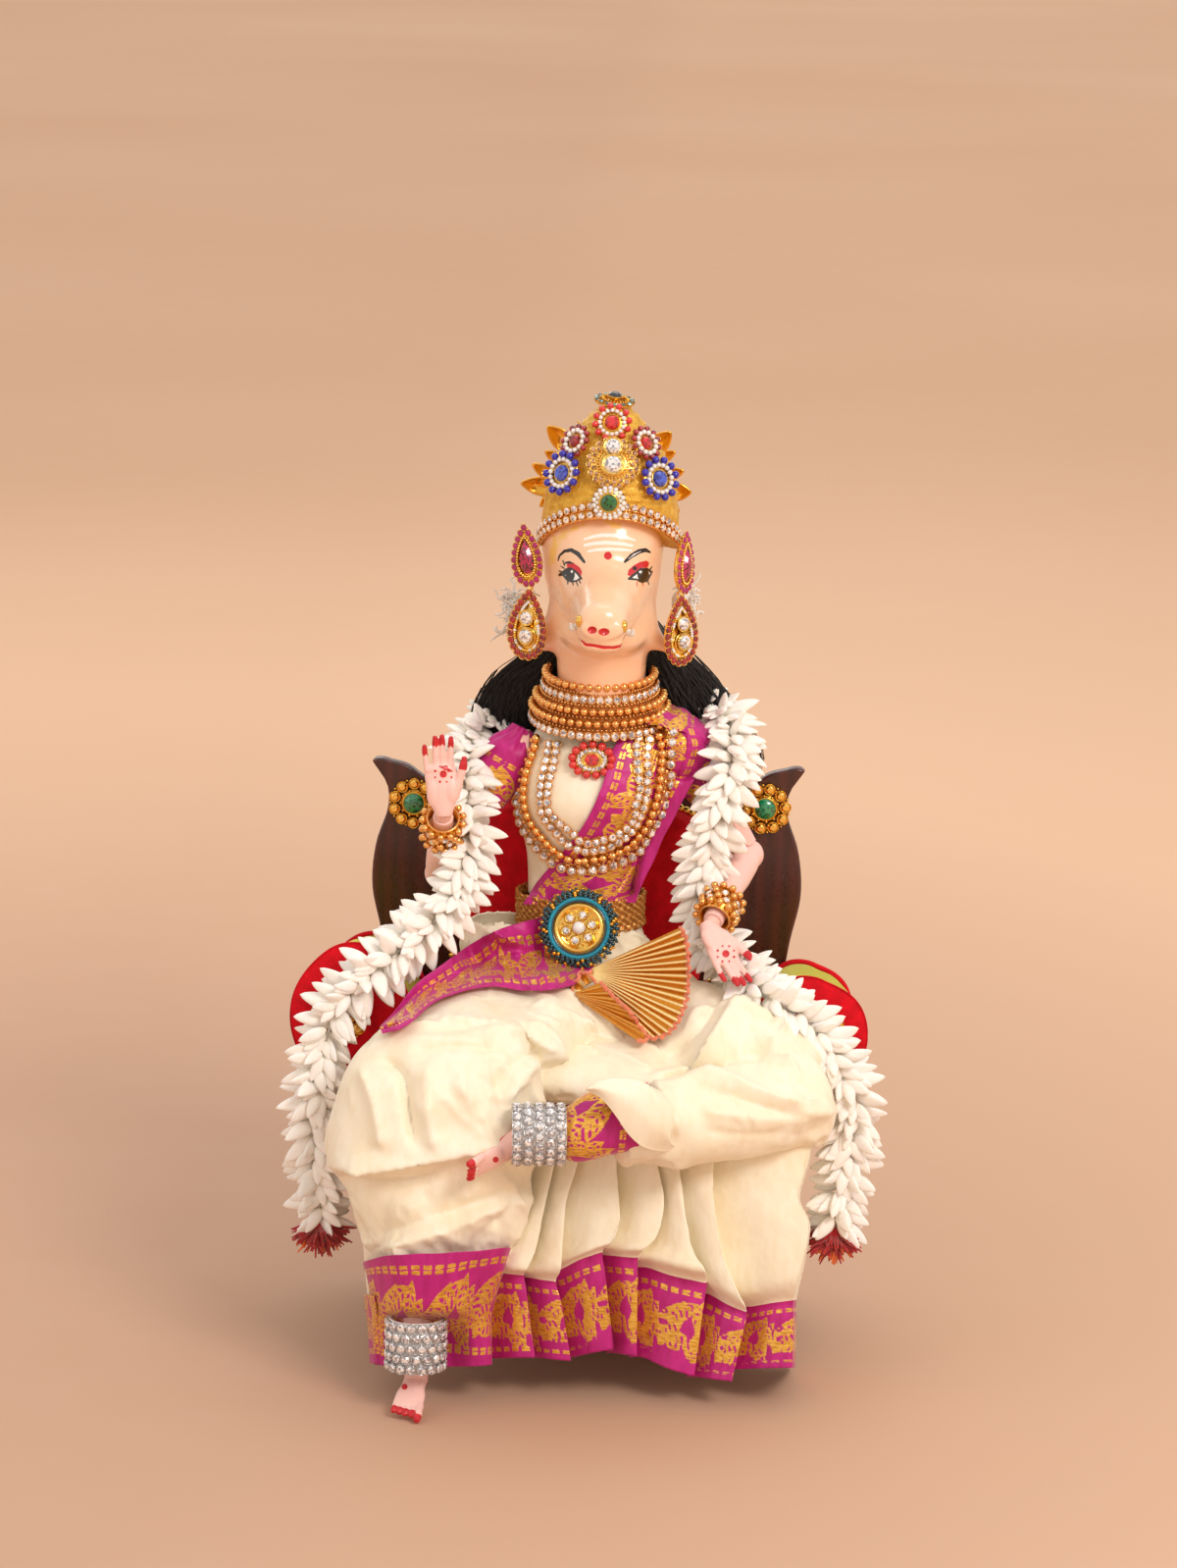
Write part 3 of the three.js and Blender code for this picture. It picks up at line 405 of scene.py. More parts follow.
def _torus(R, r, nu=24, nv=8):
    a = np.linspace(0, 2 * np.pi, nu, endpoint=False)
    b = np.linspace(0, 2 * np.pi, nv, endpoint=False)
    v = np.stack([(R + r * np.cos(b)) * np.cos(a)[:, None], (R + r * np.cos(b)) * np.sin(a)[:, None], r * np.sin(b) + 0 * a[:, None]], -1).reshape(-1, 3)
    f = []
    for i in range(nu):
        for j in range(nv):
            f.append((i * nv + j, ((i + 1) % nu) * nv + j, ((i + 1) % nu) * nv + (j + 1) % nv, i * nv + (j + 1) % nv))
    return v, f


CUP = lathe([(0.0, -0.55), (0.62, -0.55), (1.0, -0.1), (1.14, 0.12), (1.02, 0.16), (0.9, -0.05), (0.0, -0.3)], 12)


def stone(b, m, r, gem, cup, claws=4, fine=False):
    """A cut stone in a small cup with claws, its base at the matrix's place."""
    lift = np.array(m)
    lift[:, 3] = at(m, 0, 0, 0.5 * r)
    s = lift.copy()
    s[:, :3] *= r
    b.put(CUP, s, cup)
    g = s.copy()
    g[:, :3] *= 0.93
    b.put(GEM_FINE if fine else GEM, g, gem, smooth=False)
    for k in range(claws):
        a = (k + 0.5) * 2 * math.pi / claws
        c = s.copy()
        c[:, 3] = at(s, 0.93 * math.cos(a), 0.93 * math.sin(a), 0.22)
        c[:, :3] *= 0.2
        b.put(BALL6, c, cup)


BALL6 = ellipsoid((0, 0, 0), 1.0, 7, 5)


def bead(b, m, r, mat, flat=1.0, fine=False):
    s = np.array(m)
    s[:, 3] = at(m, 0, 0, r * flat)
    s[:, :3] = s[:, :3] * (r, r, r * flat)
    b.put(BALL_FINE if fine else BALL, s, mat)


def around(m, radius, n, start=0.0, z=0.0, oval=1.0):
    """Matrices of n places on a circle about the matrix's Z, each turned outward."""
    for k in range(n):
        a = start + k * 2 * math.pi / n
        c, s = math.cos(a), math.sin(a)
        q = np.array(m)
        q[:, :3] = m[:, :3] @ np.array([[c, -s, 0], [s, c, 0], [0, 0, 1]])
        q[:, 3] = at(m, radius * c, radius * s * oval, z)
        yield q


def scaled(m, *s):
    q = np.array(m)
    q[:, :3] = q[:, :3] * (s if len(s) == 3 else (s[0],) * 3)
    return q


# ---- materials ---------------------------------------------------------------
class Nodes:
    def __init__(self, name):
        self.m = bpy.data.materials.new(name)
        self.m.use_nodes = True
        self.t = self.m.node_tree
        self.t.nodes.clear()
        self.out = self.t.nodes.new("ShaderNodeOutputMaterial")
        self.b = self.t.nodes.new("ShaderNodeBsdfPrincipled")
        self.t.links.new(self.b.outputs[0], self.out.inputs[0])
        self.co = self.t.nodes.new("ShaderNodeTexCoord")

    def link(self, a, b):
        self.t.links.new(a, b)

    def set(self, **values):
        for k, x in values.items():
            s = self.b.inputs[k.replace("_", " ")]
            if hasattr(x, "is_linked"):
                self.link(x, s)
            else:
                s.default_value = x
        return self

    def _in(self, node, i, x):
        if hasattr(x, "is_linked"):
            self.link(x, node.inputs[i])
        elif x is not None:
            node.inputs[i].default_value = x

    def noise(self, scale, detail=3.0, rough=0.5, stretch=None, kind="noise"):
        src = self.co.outputs["Object"]
        if stretch:
            mp = self.t.nodes.new("ShaderNodeMapping")
            self.link(src, mp.inputs[0])
            mp.inputs["Scale"].default_value = stretch
            src = mp.outputs[0]
        n = self.t.nodes.new("ShaderNodeTexNoise")
        self.link(src, n.inputs["Vector"])
        n.inputs["Scale"].default_value = scale
        n.inputs["Detail"].default_value = detail
        n.inputs["Roughness"].default_value = rough
        return n.outputs["Fac"]

    def voronoi(self, scale, feature="F1", out="Distance"):
        n = self.t.nodes.new("ShaderNodeTexVoronoi")
        n.feature = feature
        self.link(self.co.outputs["Object"], n.inputs["Vector"])
        n.inputs["Scale"].default_value = scale
        return n.outputs[out]

    def wave(self, scale, distort=0.0, direction="X", stretch=None, detail=1.0, uv=False):
        src = self.co.outputs["UV" if uv else "Object"]
        if stretch:
            mp = self.t.nodes.new("ShaderNodeMapping")
            self.link(src, mp.inputs[0])
            mp.inputs["Scale"].default_value = stretch
            src = mp.outputs[0]
        n = self.t.nodes.new("ShaderNodeTexWave")
        n.bands_direction = direction
        self.link(src, n.inputs["Vector"])
        n.inputs["Scale"].default_value = scale
        n.inputs["Distortion"].default_value = distort
        n.inputs["Detail"].default_value = detail
        return n.outputs["Fac"]

    def map(self, x, a, b, c=0.0, d=1.0, smooth=False):
        n = self.t.nodes.new("ShaderNodeMapRange")
        if smooth:
            n.interpolation_type = "SMOOTHSTEP"
        self._in(n, 0, x)
        for i, k in ((1, a), (2, b), (3, c), (4, d)):
            n.inputs[i].default_value = k
        return n.outputs[0]

    def mix(self, f, a, b):
        n = self.t.nodes.new("ShaderNodeMix")
        n.data_type = "RGBA"
        self._in(n, 0, f)
        for i, x in ((6, a), (7, b)):
            if hasattr(x, "is_linked"):
                self.link(x, n.inputs[i])
            else:
                n.inputs[i].default_value = (*x[:3], 1.0)
        return n.outputs[2]

    def math(self, op, a, b=None):
        n = self.t.nodes.new("ShaderNodeMath")
        n.operation = op
        self._in(n, 0, a)
        self._in(n, 1, b)
        return n.outputs[0]

    def attribute(self, name):
        n = self.t.nodes.new("ShaderNodeAttribute")
        n.attribute_name = name
        return n.outputs["Fac"]

    def bump(self, height, strength=0.3, distance=0.0002, under=None):
        n = self.t.nodes.new("ShaderNodeBump")
        n.inputs["Strength"].default_value = strength
        n.inputs["Distance"].default_value = distance
        self.link(height, n.inputs["Height"])
        if under is not None:
            self.link(under, n.inputs["Normal"])
        self.link(n.outputs[0], self.b.inputs["Normal"])
        return n.outputs[0]


def tone(c, k):
    return tuple(min(1.0, max(0.0, x * k)) for x in c)


def srgb(r, g, b):
    return tuple((x / 255 / 12.92) if x / 255 <= 0.04045 else ((x / 255 + 0.055) / 1.055) ** 2.4 for x in (r, g, b))


def plain(name, color, rough=0.4, metal=0.0, vary=0.18, size=1.2, bump=0.15, grain=0.25, **more):
    """Colour that drifts over a few millimetres, a fine grain and uneven gloss."""
    n = Nodes(name)
    drift = n.noise(1000 / size / 3, 3)
    fine = n.noise(1000 / grain, 2)
    n.set(Base_Color=n.mix(n.map(drift, 0.25, 0.75), tone(color, 1 - vary), tone(color, 1 + vary)), Metallic=metal,
          Roughness=n.map(fine, 0.2, 0.8, max(rough * 0.75, 0.02), min(rough * 1.3, 1.0)))
    if bump:
        n.bump(fine, bump, 0.0001)
    n.set(**more)
    return n.m


GOLD = srgb(252, 200, 104)
m_gold = plain("gold_plate", GOLD, 0.2, 1.0, 0.16, bump=0.05)
m_gold_deep = plain("gold_old", srgb(236, 178, 74), 0.25, 1.0, 0.22, bump=0.12)
m_rose = plain("rose_gold", srgb(248, 184, 112), 0.2, 1.0, 0.14, bump=0.05)
m_silver = plain("silver_cup", srgb(206, 204, 206), 0.2, 1.0, 0.12, bump=0.05)


def gem(name, color, deep, rough=0.05, metal=0.35):
    n = Nodes(name)
    # painted reflections: each voronoi cell stands for a facet and gets the bright colour or the dark deep colour, as
    # if the facets caught light or dark
    cut = n.voronoi(1500, out="Color")
    n.set(Base_Color=n.mix(n.map(cut, 0.32, 0.52), deep, color), Metallic=metal, Roughness=n.map(n.noise(900, 2), 0.2, 0.8, rough, rough * 2.2),
          Coat_Weight=1.0, Coat_Roughness=0.03, IOR=1.7)
    return n.m


m_clear = gem("clear_stone", (1.0, 1.0, 1.0), (0.36, 0.34, 0.38), 0.05, 0.5)
m_green_stone = gem("green_stone", srgb(26, 120, 62), srgb(4, 52, 24), 0.05, 0.2)
m_green_cab = gem("green_cabochon", srgb(20, 150, 96), srgb(6, 84, 50), 0.1, 0.1)
m_red_stone = gem("red_stone", srgb(226, 24, 34), srgb(150, 4, 14), 0.08, 0.2)
m_blue_stone = gem("blue_stone", srgb(70, 96, 216), srgb(24, 34, 140), 0.08, 0.25)
m_pink_stone = gem("pink_stone", srgb(196, 10, 88), srgb(96, 0, 36), 0.09, 0.2)
m_maroon_stone = gem("maroon_stone", srgb(176, 16, 34), srgb(96, 2, 12), 0.09, 0.25)
m_amber_stone = gem("amber_stone", srgb(222, 150, 40), srgb(120, 66, 8), 0.06, 0.6)
m_champagne = gem("champagne_stone", srgb(226, 178, 140), srgb(150, 100, 72), 0.06, 0.7)
m_aqua_stone = gem("aqua_stone", srgb(120, 200, 206), srgb(20, 70, 84), 0.06, 0.5)
m_dark_stone = gem("dark_stone", srgb(36, 40, 52), srgb(6, 8, 12), 0.06, 0.3)
m_pearl = plain("pearl", (0.86, 0.84, 0.82), 0.22, 0.0, 0.06, bump=0.05, Coat_Weight=0.8, Coat_Roughness=0.1, Sheen_Weight=0.2)
m_white_bead = plain("white_bead", (0.82, 0.81, 0.80), 0.2, 0.0, 0.08, Coat_Weight=0.8, bump=0.05)
m_red_bead = plain("red_bead", srgb(214, 44, 40), 0.2, 0.0, 0.16, Coat_Weight=0.8, bump=0.05)
m_blue_bead = plain("blue_bead", srgb(36, 26, 168), 0.2, 0.0, 0.2, Coat_Weight=0.8, bump=0.05)
m_teal_bead = plain("teal_bead", srgb(16, 70, 82), 0.2, 0.3, 0.3, Coat_Weight=0.8, bump=0.05)
m_turquoise = plain("turquoise_cord", srgb(34, 148, 176), 0.5, 0.0, 0.25, size=0.6, bump=0.4)
m_pink_bead = plain("pink_bead", srgb(176, 40, 112), 0.22, 0.2, 0.3, Coat_Weight=0.6, bump=0.05)


def lacquer():
    n = Nodes("maroon_lacquer")
    grain = n.wave(55, 7.0, "X", (1.0, 0.6, 0.18), 3.0)
    fine = n.noise(2600, 4, 0.6, (1, 1, 0.12))
    c = n.mix(n.map(grain, 0, 1, 0.1, 0.75), srgb(58, 20, 16), srgb(92, 34, 26))
    c = n.mix(n.map(fine, 0.35, 0.75, 0, 0.5), c, srgb(46, 14, 12))
    n.set(Base_Color=c, Roughness=n.map(n.noise(700, 4), 0.25, 0.75, 0.2, 0.42), Coat_Weight=0.35, Coat_Roughness=0.15)
    n.bump(fine, 0.12, 0.00012)
    return n.m


m_lacquer = lacquer()


def velvet(name, color, deep, sheen):
    n = Nodes(name)
    brush = n.noise(230, 4, 0.6)
    pile = n.noise(5200, 2)
    c = n.mix(n.map(brush, 0.3, 0.7), deep, color)
    c = n.mix(n.map(pile, 0.4, 0.7, 0, 0.35), c, tone(deep, 0.7))
    n.set(Base_Color=c, Roughness=n.map(brush, 0.2, 0.8, 0.72, 0.95), Sheen_Weight=0.7, Sheen_Roughness=0.35, Sheen_Tint=(*sheen, 1.0), Specular_IOR_Level=0.2)
    n.bump(pile, 0.5, 0.00025)
    return n.m


m_red_velvet = velvet("red_velvet", srgb(238, 20, 38), srgb(196, 8, 24), srgb(255, 90, 90))
m_lime_velvet = velvet("lime_velvet", srgb(220, 212, 70), srgb(186, 176, 40), srgb(255, 250, 150))


def silk():
    """Cream silk with a magenta woven border and gold thread; the mesh says where."""
    n = Nodes("silk_saree")
    slub = n.noise(420, 4, 0.6, (1.0, 1.0, 0.25))
    cloud = n.noise(60, 3)
    warp, weft = n.noise(2400, 2, 0.5, (1, 1, 0.08)), n.noise(2400, 2, 0.5, (0.08, 1, 1))
    border = n.map(n.attribute("border"), -0.12, 0.12, smooth=True)
    thread = n.noise(1500, 2, 0.5, (0.35, 0.35, 1.6))
    zari = n.map(n.math("ADD", n.attribute("zari"), n.map(thread, 0.3, 0.7, -0.07, 0.07)), -0.06, 0.08, smooth=True)
    cream = n.mix(n.map(cloud, 0.3, 0.7), srgb(247, 235, 206), srgb(253, 246, 226))
    cream = n.mix(n.map(slub, 0.45, 0.8, 0, 0.5), cream, srgb(240, 223, 186))
    mag = n.mix(n.map(slub, 0.3, 0.75), srgb(176, 20, 112), srgb(206, 40, 140))
    gold = n.mix(n.map(thread, 0.3, 0.7), srgb(204, 136, 34), srgb(255, 206, 96))
    c = n.mix(zari, n.mix(border, cream, mag), gold)
    n.set(Base_Color=c, Metallic=n.map(zari, 0, 1, 0.0, 0.5), Roughness=n.mix(zari, (0.46,) * 3, (0.32,) * 3), Sheen_Weight=0.16, Sheen_Roughness=0.4,
          Subsurface_Weight=0.06, Specular_IOR_Level=0.4)
    n.b.inputs["Subsurface Radius"].default_value = (0.002, 0.0015, 0.001)
    w = n.math("ADD", n.math("MULTIPLY", warp, 0.5), n.math("MULTIPLY", weft, 0.5))
    w = n.math("ADD", w, n.math("MULTIPLY", zari, 1.2))
    n.bump(w, 0.22, 0.00014)
    return n.m


m_silk = silk()


def lurex(name, color, bright, metal=0.7):
    n = Nodes(name)
    # painted highlight: where the pleat attribute is high the colour turns to the bright colour; on the fan that marks
    # the pleat and frill crests, on the belt braid its diagonal stripes. The voronoi cells paint a fine sparkle of
    # glints.
    pleat = n.attribute("pleat")
    line = n.map(pleat, 0.55, 0.95, smooth=True)
    spark = n.voronoi(2600)
    c = n.mix(line, n.mix(n.map(spark, 0.2, 0.7), tone(color, 0.72), color), bright)
    n.set(Base_Color=c, Metallic=metal, Roughness=n.map(n.noise(1800, 2), 0.2, 0.8, 0.25, 0.5))
    n.bump(spark, 0.4, 0.0002)
    return n.m


m_lurex = lurex("gold_lurex", srgb(228, 156, 54), srgb(255, 238, 176))
m_belt = lurex("belt_braid", srgb(196, 122, 54), srgb(250, 196, 112), 0.55)
m_braid = plain("gold_braid", srgb(172, 106, 44), 0.45, 0.6, 0.35, size=0.5, bump=0.7, grain=0.3)
m_coral = plain("coral_thread", srgb(228, 128, 92), 0.75, 0.0, 0.2, size=0.8, bump=0.6, Sheen_Weight=0.4)
m_thread = plain("white_thread", (0.80, 0.78, 0.74), 0.8, 0.0, 0.1, bump=0.4, Sheen_Weight=0.3)
m_wool = plain("red_wool", srgb(178, 18, 26), 0.9, 0.0, 0.35, size=0.8, bump=0.5, Sheen_Weight=0.6)
m_orange = plain("orange_wool", srgb(232, 110, 34), 0.9, 0.0, 0.2, size=0.8, bump=0.5, Sheen_Weight=0.6)


def skin(name, color, paint=None):
    n = Nodes(name)
    c = n.mix(n.map(n.noise(90, 4), 0.3, 0.7), tone(color, 0.95), tone(color, 1.04))
    if paint:
        red = n.map(n.attribute("red"), -0.06, 0.06, smooth=True)
        c = n.mix(red, c, n.mix(n.map(n.noise(800, 3), 0.3, 0.7), srgb(186, 16, 30), srgb(216, 34, 44)))
    n.set(Base_Color=c, Roughness=n.map(n.noise(500, 3), 0.25, 0.75, 0.34, 0.48), Subsurface_Weight=0.12, Coat_Weight=0.15, Coat_Roughness=0.3)
    n.b.inputs["Subsurface Radius"].default_value = (0.003, 0.0016, 0.001)
    n.bump(n.noise(3000, 3), 0.06, 0.0001)
    return n.m


m_skin = skin("doll_skin", srgb(249, 203, 193), True)
m_joint = skin("doll_joint", srgb(246, 198, 186))


def enamel():
    """Hand-painted glossy enamel: the mesh carries how far each point is inside each brush mark, where painted shade
    tinted as blush goes, and where the shine layer's painted highlights go.
    """
    n = Nodes("painted_enamel")
    ground = n.mix(n.map(n.noise(60, 4), 0.3, 0.7), srgb(246, 198, 160), srgb(252, 214, 178))
    # painted shade, tinted as blush: the face turns warmer and darker toward its sides, under the crown and under the
    # jaw
    c = n.mix(n.map(n.attribute("blush"), 0, 1, 0, 0.55), ground, srgb(240, 150, 110))
    yellow = n.map(n.math("ADD", n.attribute("yellow"), n.map(n.noise(420, 3), 0.3, 0.7, -0.9, 0.9)), -0.5, 0.9, 0, 0.75, True)
    c = n.mix(yellow, c, srgb(240, 196, 84))
    # white, red and black are paint; the shine layer is a painted highlight
    for name, colour, edge in (("white", srgb(252, 250, 244), 0.10), ("red", srgb(208, 22, 38), 0.08), ("black", srgb(22, 18, 18), 0.07), ("shine", srgb(240, 240, 240), 0.07)):
        f = n.map(n.math("ADD", n.attribute(name), n.map(n.noise(1600, 2), 0.3, 0.7, -0.05, 0.05)), -edge, edge, smooth=True)
        c = n.mix(f, c, colour)
    n.set(Base_Color=c, Roughness=n.map(n.noise(300, 3), 0.3, 0.7, 0.16, 0.26), Coat_Weight=0.55, Coat_Roughness=0.08, Subsurface_Weight=0.06)
    n.b.inputs["Subsurface Radius"].default_value = (0.003, 0.0016, 0.001)
    n.bump(n.noise(240, 4), 0.08, 0.0004)
    return n.m


m_face = enamel()


def crown_paint():
    n = Nodes("crown_gold_paint")
    lump = n.noise(420, 5, 0.6)
    fine = n.voronoi(1700)
    c = n.mix(n.map(lump, 0.3, 0.7), srgb(214, 154, 34), srgb(250, 204, 84))
    c = n.mix(n.map(fine, 0.0, 0.35, 0.5, 0.0), c, srgb(140, 88, 12))
    n.set(Base_Color=c, Metallic=0.35, Roughness=n.map(fine, 0.1, 0.6, 0.55, 0.36))
    n.bump(fine, 0.5, 0.0004, None)
    return n.m


m_crown = crown_paint()
m_mirror_gold = plain("mirror_gold", srgb(240, 176, 70), 0.08, 1.0, 0.12, bump=0.03)


def hair():
    n = Nodes("black_fibre")
    s = n.noise(1500, 3, 0.5, (1, 1, 0.15))
    n.set(Base_Color=n.mix(n.map(s, 0.3, 0.7), (0.006, 0.005, 0.005), (0.022, 0.018, 0.018)), Roughness=n.map(s, 0.2, 0.8, 0.5, 0.8), Sheen_Weight=0.15, Specular_IOR_Level=0.35)
    n.bump(s, 0.6, 0.0004)
    return n.m


m_hair = hair()


def flower():
    n = Nodes("white_petal")
    vein = n.noise(900, 3, 0.5)
    c = n.mix(n.map(vein, 0.3, 0.7), srgb(253, 247, 238), srgb(255, 253, 248))
    # painted shade: toward its base, deep in the garland, each bud turns a darker cream
    c = n.mix(n.map(n.attribute("tip"), 0.0, 0.35, 0.55, 0.0), c, srgb(240, 230, 206))
    n.set(Base_Color=c, Roughness=n.map(vein, 0.2, 0.8, 0.42, 0.6), Subsurface_Weight=0.35, Sheen_Weight=0.2)
    n.b.inputs["Subsurface Radius"].default_value = (0.003, 0.0026, 0.002)
    n.bump(vein, 0.2, 0.0002)
    return n.m


m_flower = flower()


def floor_paint():
    n = Nodes("floor_pale")
    c = n.mix(n.map(n.noise(0.9, 2), 0.3, 0.7), srgb(234, 192, 158), srgb(240, 200, 168))
    split = n.t.nodes.new("ShaderNodeSeparateXYZ")
    n.link(n.co.outputs["Object"], split.inputs[0])
    x, y = split.outputs[0], split.outputs[1]
    far = n.math("SQRT", n.math("ADD", n.math("MULTIPLY", x, x), n.math("MULTIPLY", y, y)))
    # painted shade: the floor turns darker near the doll, where its shadow falls, and darker still toward the left
    painted_floor_shade = n.math("ADD", n.map(far, 0.1, 1.1, 0.0, 1.0, smooth=True), n.map(x, -0.2, 0.3, -0.12, 0.38))
    c = n.mix(painted_floor_shade, tone(srgb(222, 180, 152), 0.8), c)
    n.set(Base_Color=c, Roughness=n.map(n.noise(30, 3), 0.3, 0.7, 0.72, 0.85), Specular_IOR_Level=0.25)
    return n.m


# ---- floor and light ----------------------------------------------------------
me = bpy.data.meshes.new("floor")
me.from_pydata([(-40, -40, 0), (40, -40, 0), (40, 40, 0), (-40, 40, 0)], [], [(0, 1, 2, 3)])
floor = place("floor", me, floor_paint(), body=None)

world = bpy.data.worlds.new("studio")
bpy.context.scene.world = world
world.use_nodes = True
world.node_tree.nodes["Background"].inputs[0].default_value = (*srgb(255, 245, 236), 1.0)
world.node_tree.nodes["Background"].inputs[1].default_value = 0.8
bpy.context.scene.view_settings.view_transform = "Standard"


def softbox(name, where, look, size, power, color=(1, 1, 1)):
    d = bpy.data.lights.new(name, "AREA")
    d.shape, d.size, d.size_y = "RECTANGLE", size[0], size[1]
    d.energy, d.color = power, color
    o = bpy.data.objects.new(name, d)
    bpy.context.scene.collection.objects.link(o)
    o.location = where
    o.rotation_mode = "QUATERNION"
    o.rotation_quaternion = (Vector(look) - Vector(where)).to_track_quat("-Z", "Y")
    return o


softbox("key", (0.75, -1.15, 1.15), (0, 0, 0.13), (0.6, 0.45), 12.6, srgb(255, 247, 240))
softbox("fill", (-1.1, -0.8, 0.7), (0, 0, 0.15), (0.9, 0.9), 1.2, srgb(255, 250, 246))
softbox("top", (0.1, 0.4, 1.5), (0, 0, 0.1), (1.0, 0.8), 2.4)
softbox("back", (-0.5, 1.3, 0.9), (0, 0, 0.15), (0.9, 0.6), 2.2)


# ---- throne ---------------------------------------------------------------------
def mirrored(pts, shift=0.0, lift=0.0):
    return [(-x + shift, z + lift) for x, z in pts][::-1]


def slab(outline, y0, y1, round_=1.0, steps=4):
    """An outline in X and Z with rounded edges, from y0 (front) to y1."""
    o = np.asarray(outline, float)
    area = 0.5 * np.sum(o[:, 0] * np.roll(o[:, 1], -1) - np.roll(o[:, 0], -1) * o[:, 1])
    if area < 0:
        o = o[::-1]
    t = np.roll(o, -1, 0) - np.roll(o, 1, 0)
    t /= np.linalg.norm(t, axis=1)[:, None]
    inward = np.stack([-t[:, 1], t[:, 0]], 1)
    rings = []
    for k in range(steps + 1):
        a = math.pi / 2 * k / steps
        rings.append((y0 + round_ * (1 - math.sin(a)), round_ * (1 - math.cos(a)) if k else 0.0))
    rings = [(y0 + round_ * (1 - math.sin(math.pi / 2 * k / steps)), round_ * (1 - math.cos(math.pi / 2 * k / steps))) for k in range(steps, -1, -1)]
    rings += [(y1 - round_ * (1 - math.sin(math.pi / 2 * k / steps)), round_ * (1 - math.cos(math.pi / 2 * k / steps))) for k in range(0, steps + 1)]
    n = len(o)
    v = np.concatenate([np.stack([o[:, 0] + inward[:, 0] * g, np.full(n, y), o[:, 1] + inward[:, 1] * g], 1) for y, g in rings])
    f = [q[::-1] for q in grid_faces(len(rings), n, True)]
    k = (len(rings) - 1) * n
    f += [tuple(range(n)), tuple(range(k + n - 1, k - 1, -1))]
    return v, f


def pillow(outline, centre, y_front, y_back, crown, n=12, edge=0.6, power=2.2):
    """A star-shaped cushion: its front swells, its rim is round and its back is flat."""
    o = np.asarray(outline, float)
    if 0.5 * np.sum(o[:, 0] * np.roll(o[:, 1], -1) - np.roll(o[:, 0], -1) * o[:, 1]) < 0:
        o = o[::-1]
    c = np.asarray(centre, float)
    m = len(o)
    rings = []
    for k in range(n + 1):
        s = k / n
        s = 1 - (1 - s) ** 1.5
        y = y_front - crown * (1 - s ** power) + edge * (s ** 14)
        rings.append(np.stack([c[0] + (o[:, 0] - c[0]) * s, np.full(m, y), c[1] + (o[:, 1] - c[1]) * s], 1))
    for y, s in ((y_front + (y_back - y_front) * 0.33, 1.012), (y_front + (y_back - y_front) * 0.66, 1.012), (y_back, 0.985)):
        rings.append(np.stack([c[0] + (o[:, 0] - c[0]) * s, np.full(m, y), c[1] + (o[:, 1] - c[1]) * s], 1))
    v = np.concatenate(rings[1:] + [[[c[0], y_front - crown, c[1]]]])
    k = len(rings) - 1
    f = grid_faces(k, m, True)
    f += [(k * m, (j + 1) % m, j) for j in range(m)]
    f += [tuple(range((k - 1) * m, k * m))]
    return v, [q[::-1] for q in f] if False else f


def oriented(v, f):
    """Faces turned to point out of a closed shape."""
    vol = 0.0
    for q in f:
        a = v[q[0]]
        for i in range(1, len(q) - 1):
            vol += a @ np.cross(v[q[i]], v[q[i + 1]])
    return (v, f) if vol > 0 else (v, [tuple(reversed(q)) for q in f])


def inflated(v, f, pressure=4.0, cap=1.8, voxel=1.7, count=20, scale=8.0, keep=None):
    """Padding by cloth simulation at a larger size, then back; every point moves at most cap."""
    me = modify(Build().add(v, f).mesh("pad"), ("REMESH", {"mode": "VOXEL", "voxel_size": voxel * MM}), ("SMOOTH", {"iterations": 2, "factor": 0.5}))
    base, faces = arrays(me)
    for p in me.vertices:
        p.co = p.co * scale
    o = bpy.data.objects.new("pad_sim", me)
    bpy.context.scene.collection.objects.link(o)
    m = o.modifiers.new("Cloth", "CLOTH")
    m.settings.quality = 6
    m.settings.mass = 0.3
    m.settings.use_pressure = True
    m.settings.uniform_pressure_force = pressure
    m.settings.effector_weights.gravity = 0.0
    m.settings.tension_stiffness = m.settings.compression_stiffness = 12
    m.settings.shear_stiffness = 5
    m.settings.bending_stiffness = 0.4
    if keep is not None:
        g = o.vertex_groups.new(name="pin")
        idx = np.nonzero(keep(base))[0].tolist()
        g.add(idx, 1.0, "REPLACE")
        m.settings.vertex_group_mass = "pin"
    m.point_cache.frame_start, m.point_cache.frame_end = 1, count
    sc = bpy.context.scene
    for k in range(1, count + 1):
        sc.frame_set(k)
    out = bpy.data.meshes.new_from_object(o.evaluated_get(bpy.context.evaluated_depsgraph_get()))
    new, _ = arrays(out)
    new /= scale
    bpy.data.objects.remove(o)
    sc.frame_set(1)
    d = new - base
    far = np.linalg.norm(d, axis=1)
    d *= np.minimum(1.0, cap / np.maximum(far, 1e-9))[:, None]
    if not np.isfinite(d).all():
        d[:] = 0
    return base + d, faces


def sub(me, levels=1):
    return modify(me, ("SUBSURF", {"levels": levels}))


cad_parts["seat_base"].data.materials.clear()
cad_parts["seat_base"].data.materials.append(m_lacquer)
for name in ("chest", "pelvis", "thigh_right", "thigh_left", "shin_right", "shin_left"):
    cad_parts[name].data.materials.clear()
    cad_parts[name].data.materials.append(m_joint)

edge = np.vstack([spline([[58, 8], [58.5, 40], [60, 66], [62.5, 92], [65.8, 117], [69.2, 134], [68, 148], [64.2, 160], [64.6, 167], [68.8, 173.6]], 60),
                  spline([[69.4, 174.6], [68.2, 175.6], [65.5, 175.6], [63.5, 175], [58, 173.5], [52, 169.5], [44, 167], [34, 168.5], [20, 174], [0, 177]], 60)])
board = [(x - 1.5, z) for x, z in list(edge[:-1]) + [(-x, z) for x, z in edge[::-1]]]
v, f = oriented(*slab(board, 38.0, 43.0, 0.9))
b = Build().add(v, f)
board_obj = b.make("throne_back_board", m_lacquer, ROOT, "back_board", "lacquered_wood")
for p in board_obj.data.polygons:
    if len(p.vertices) > 4:
        p.use_smooth = False

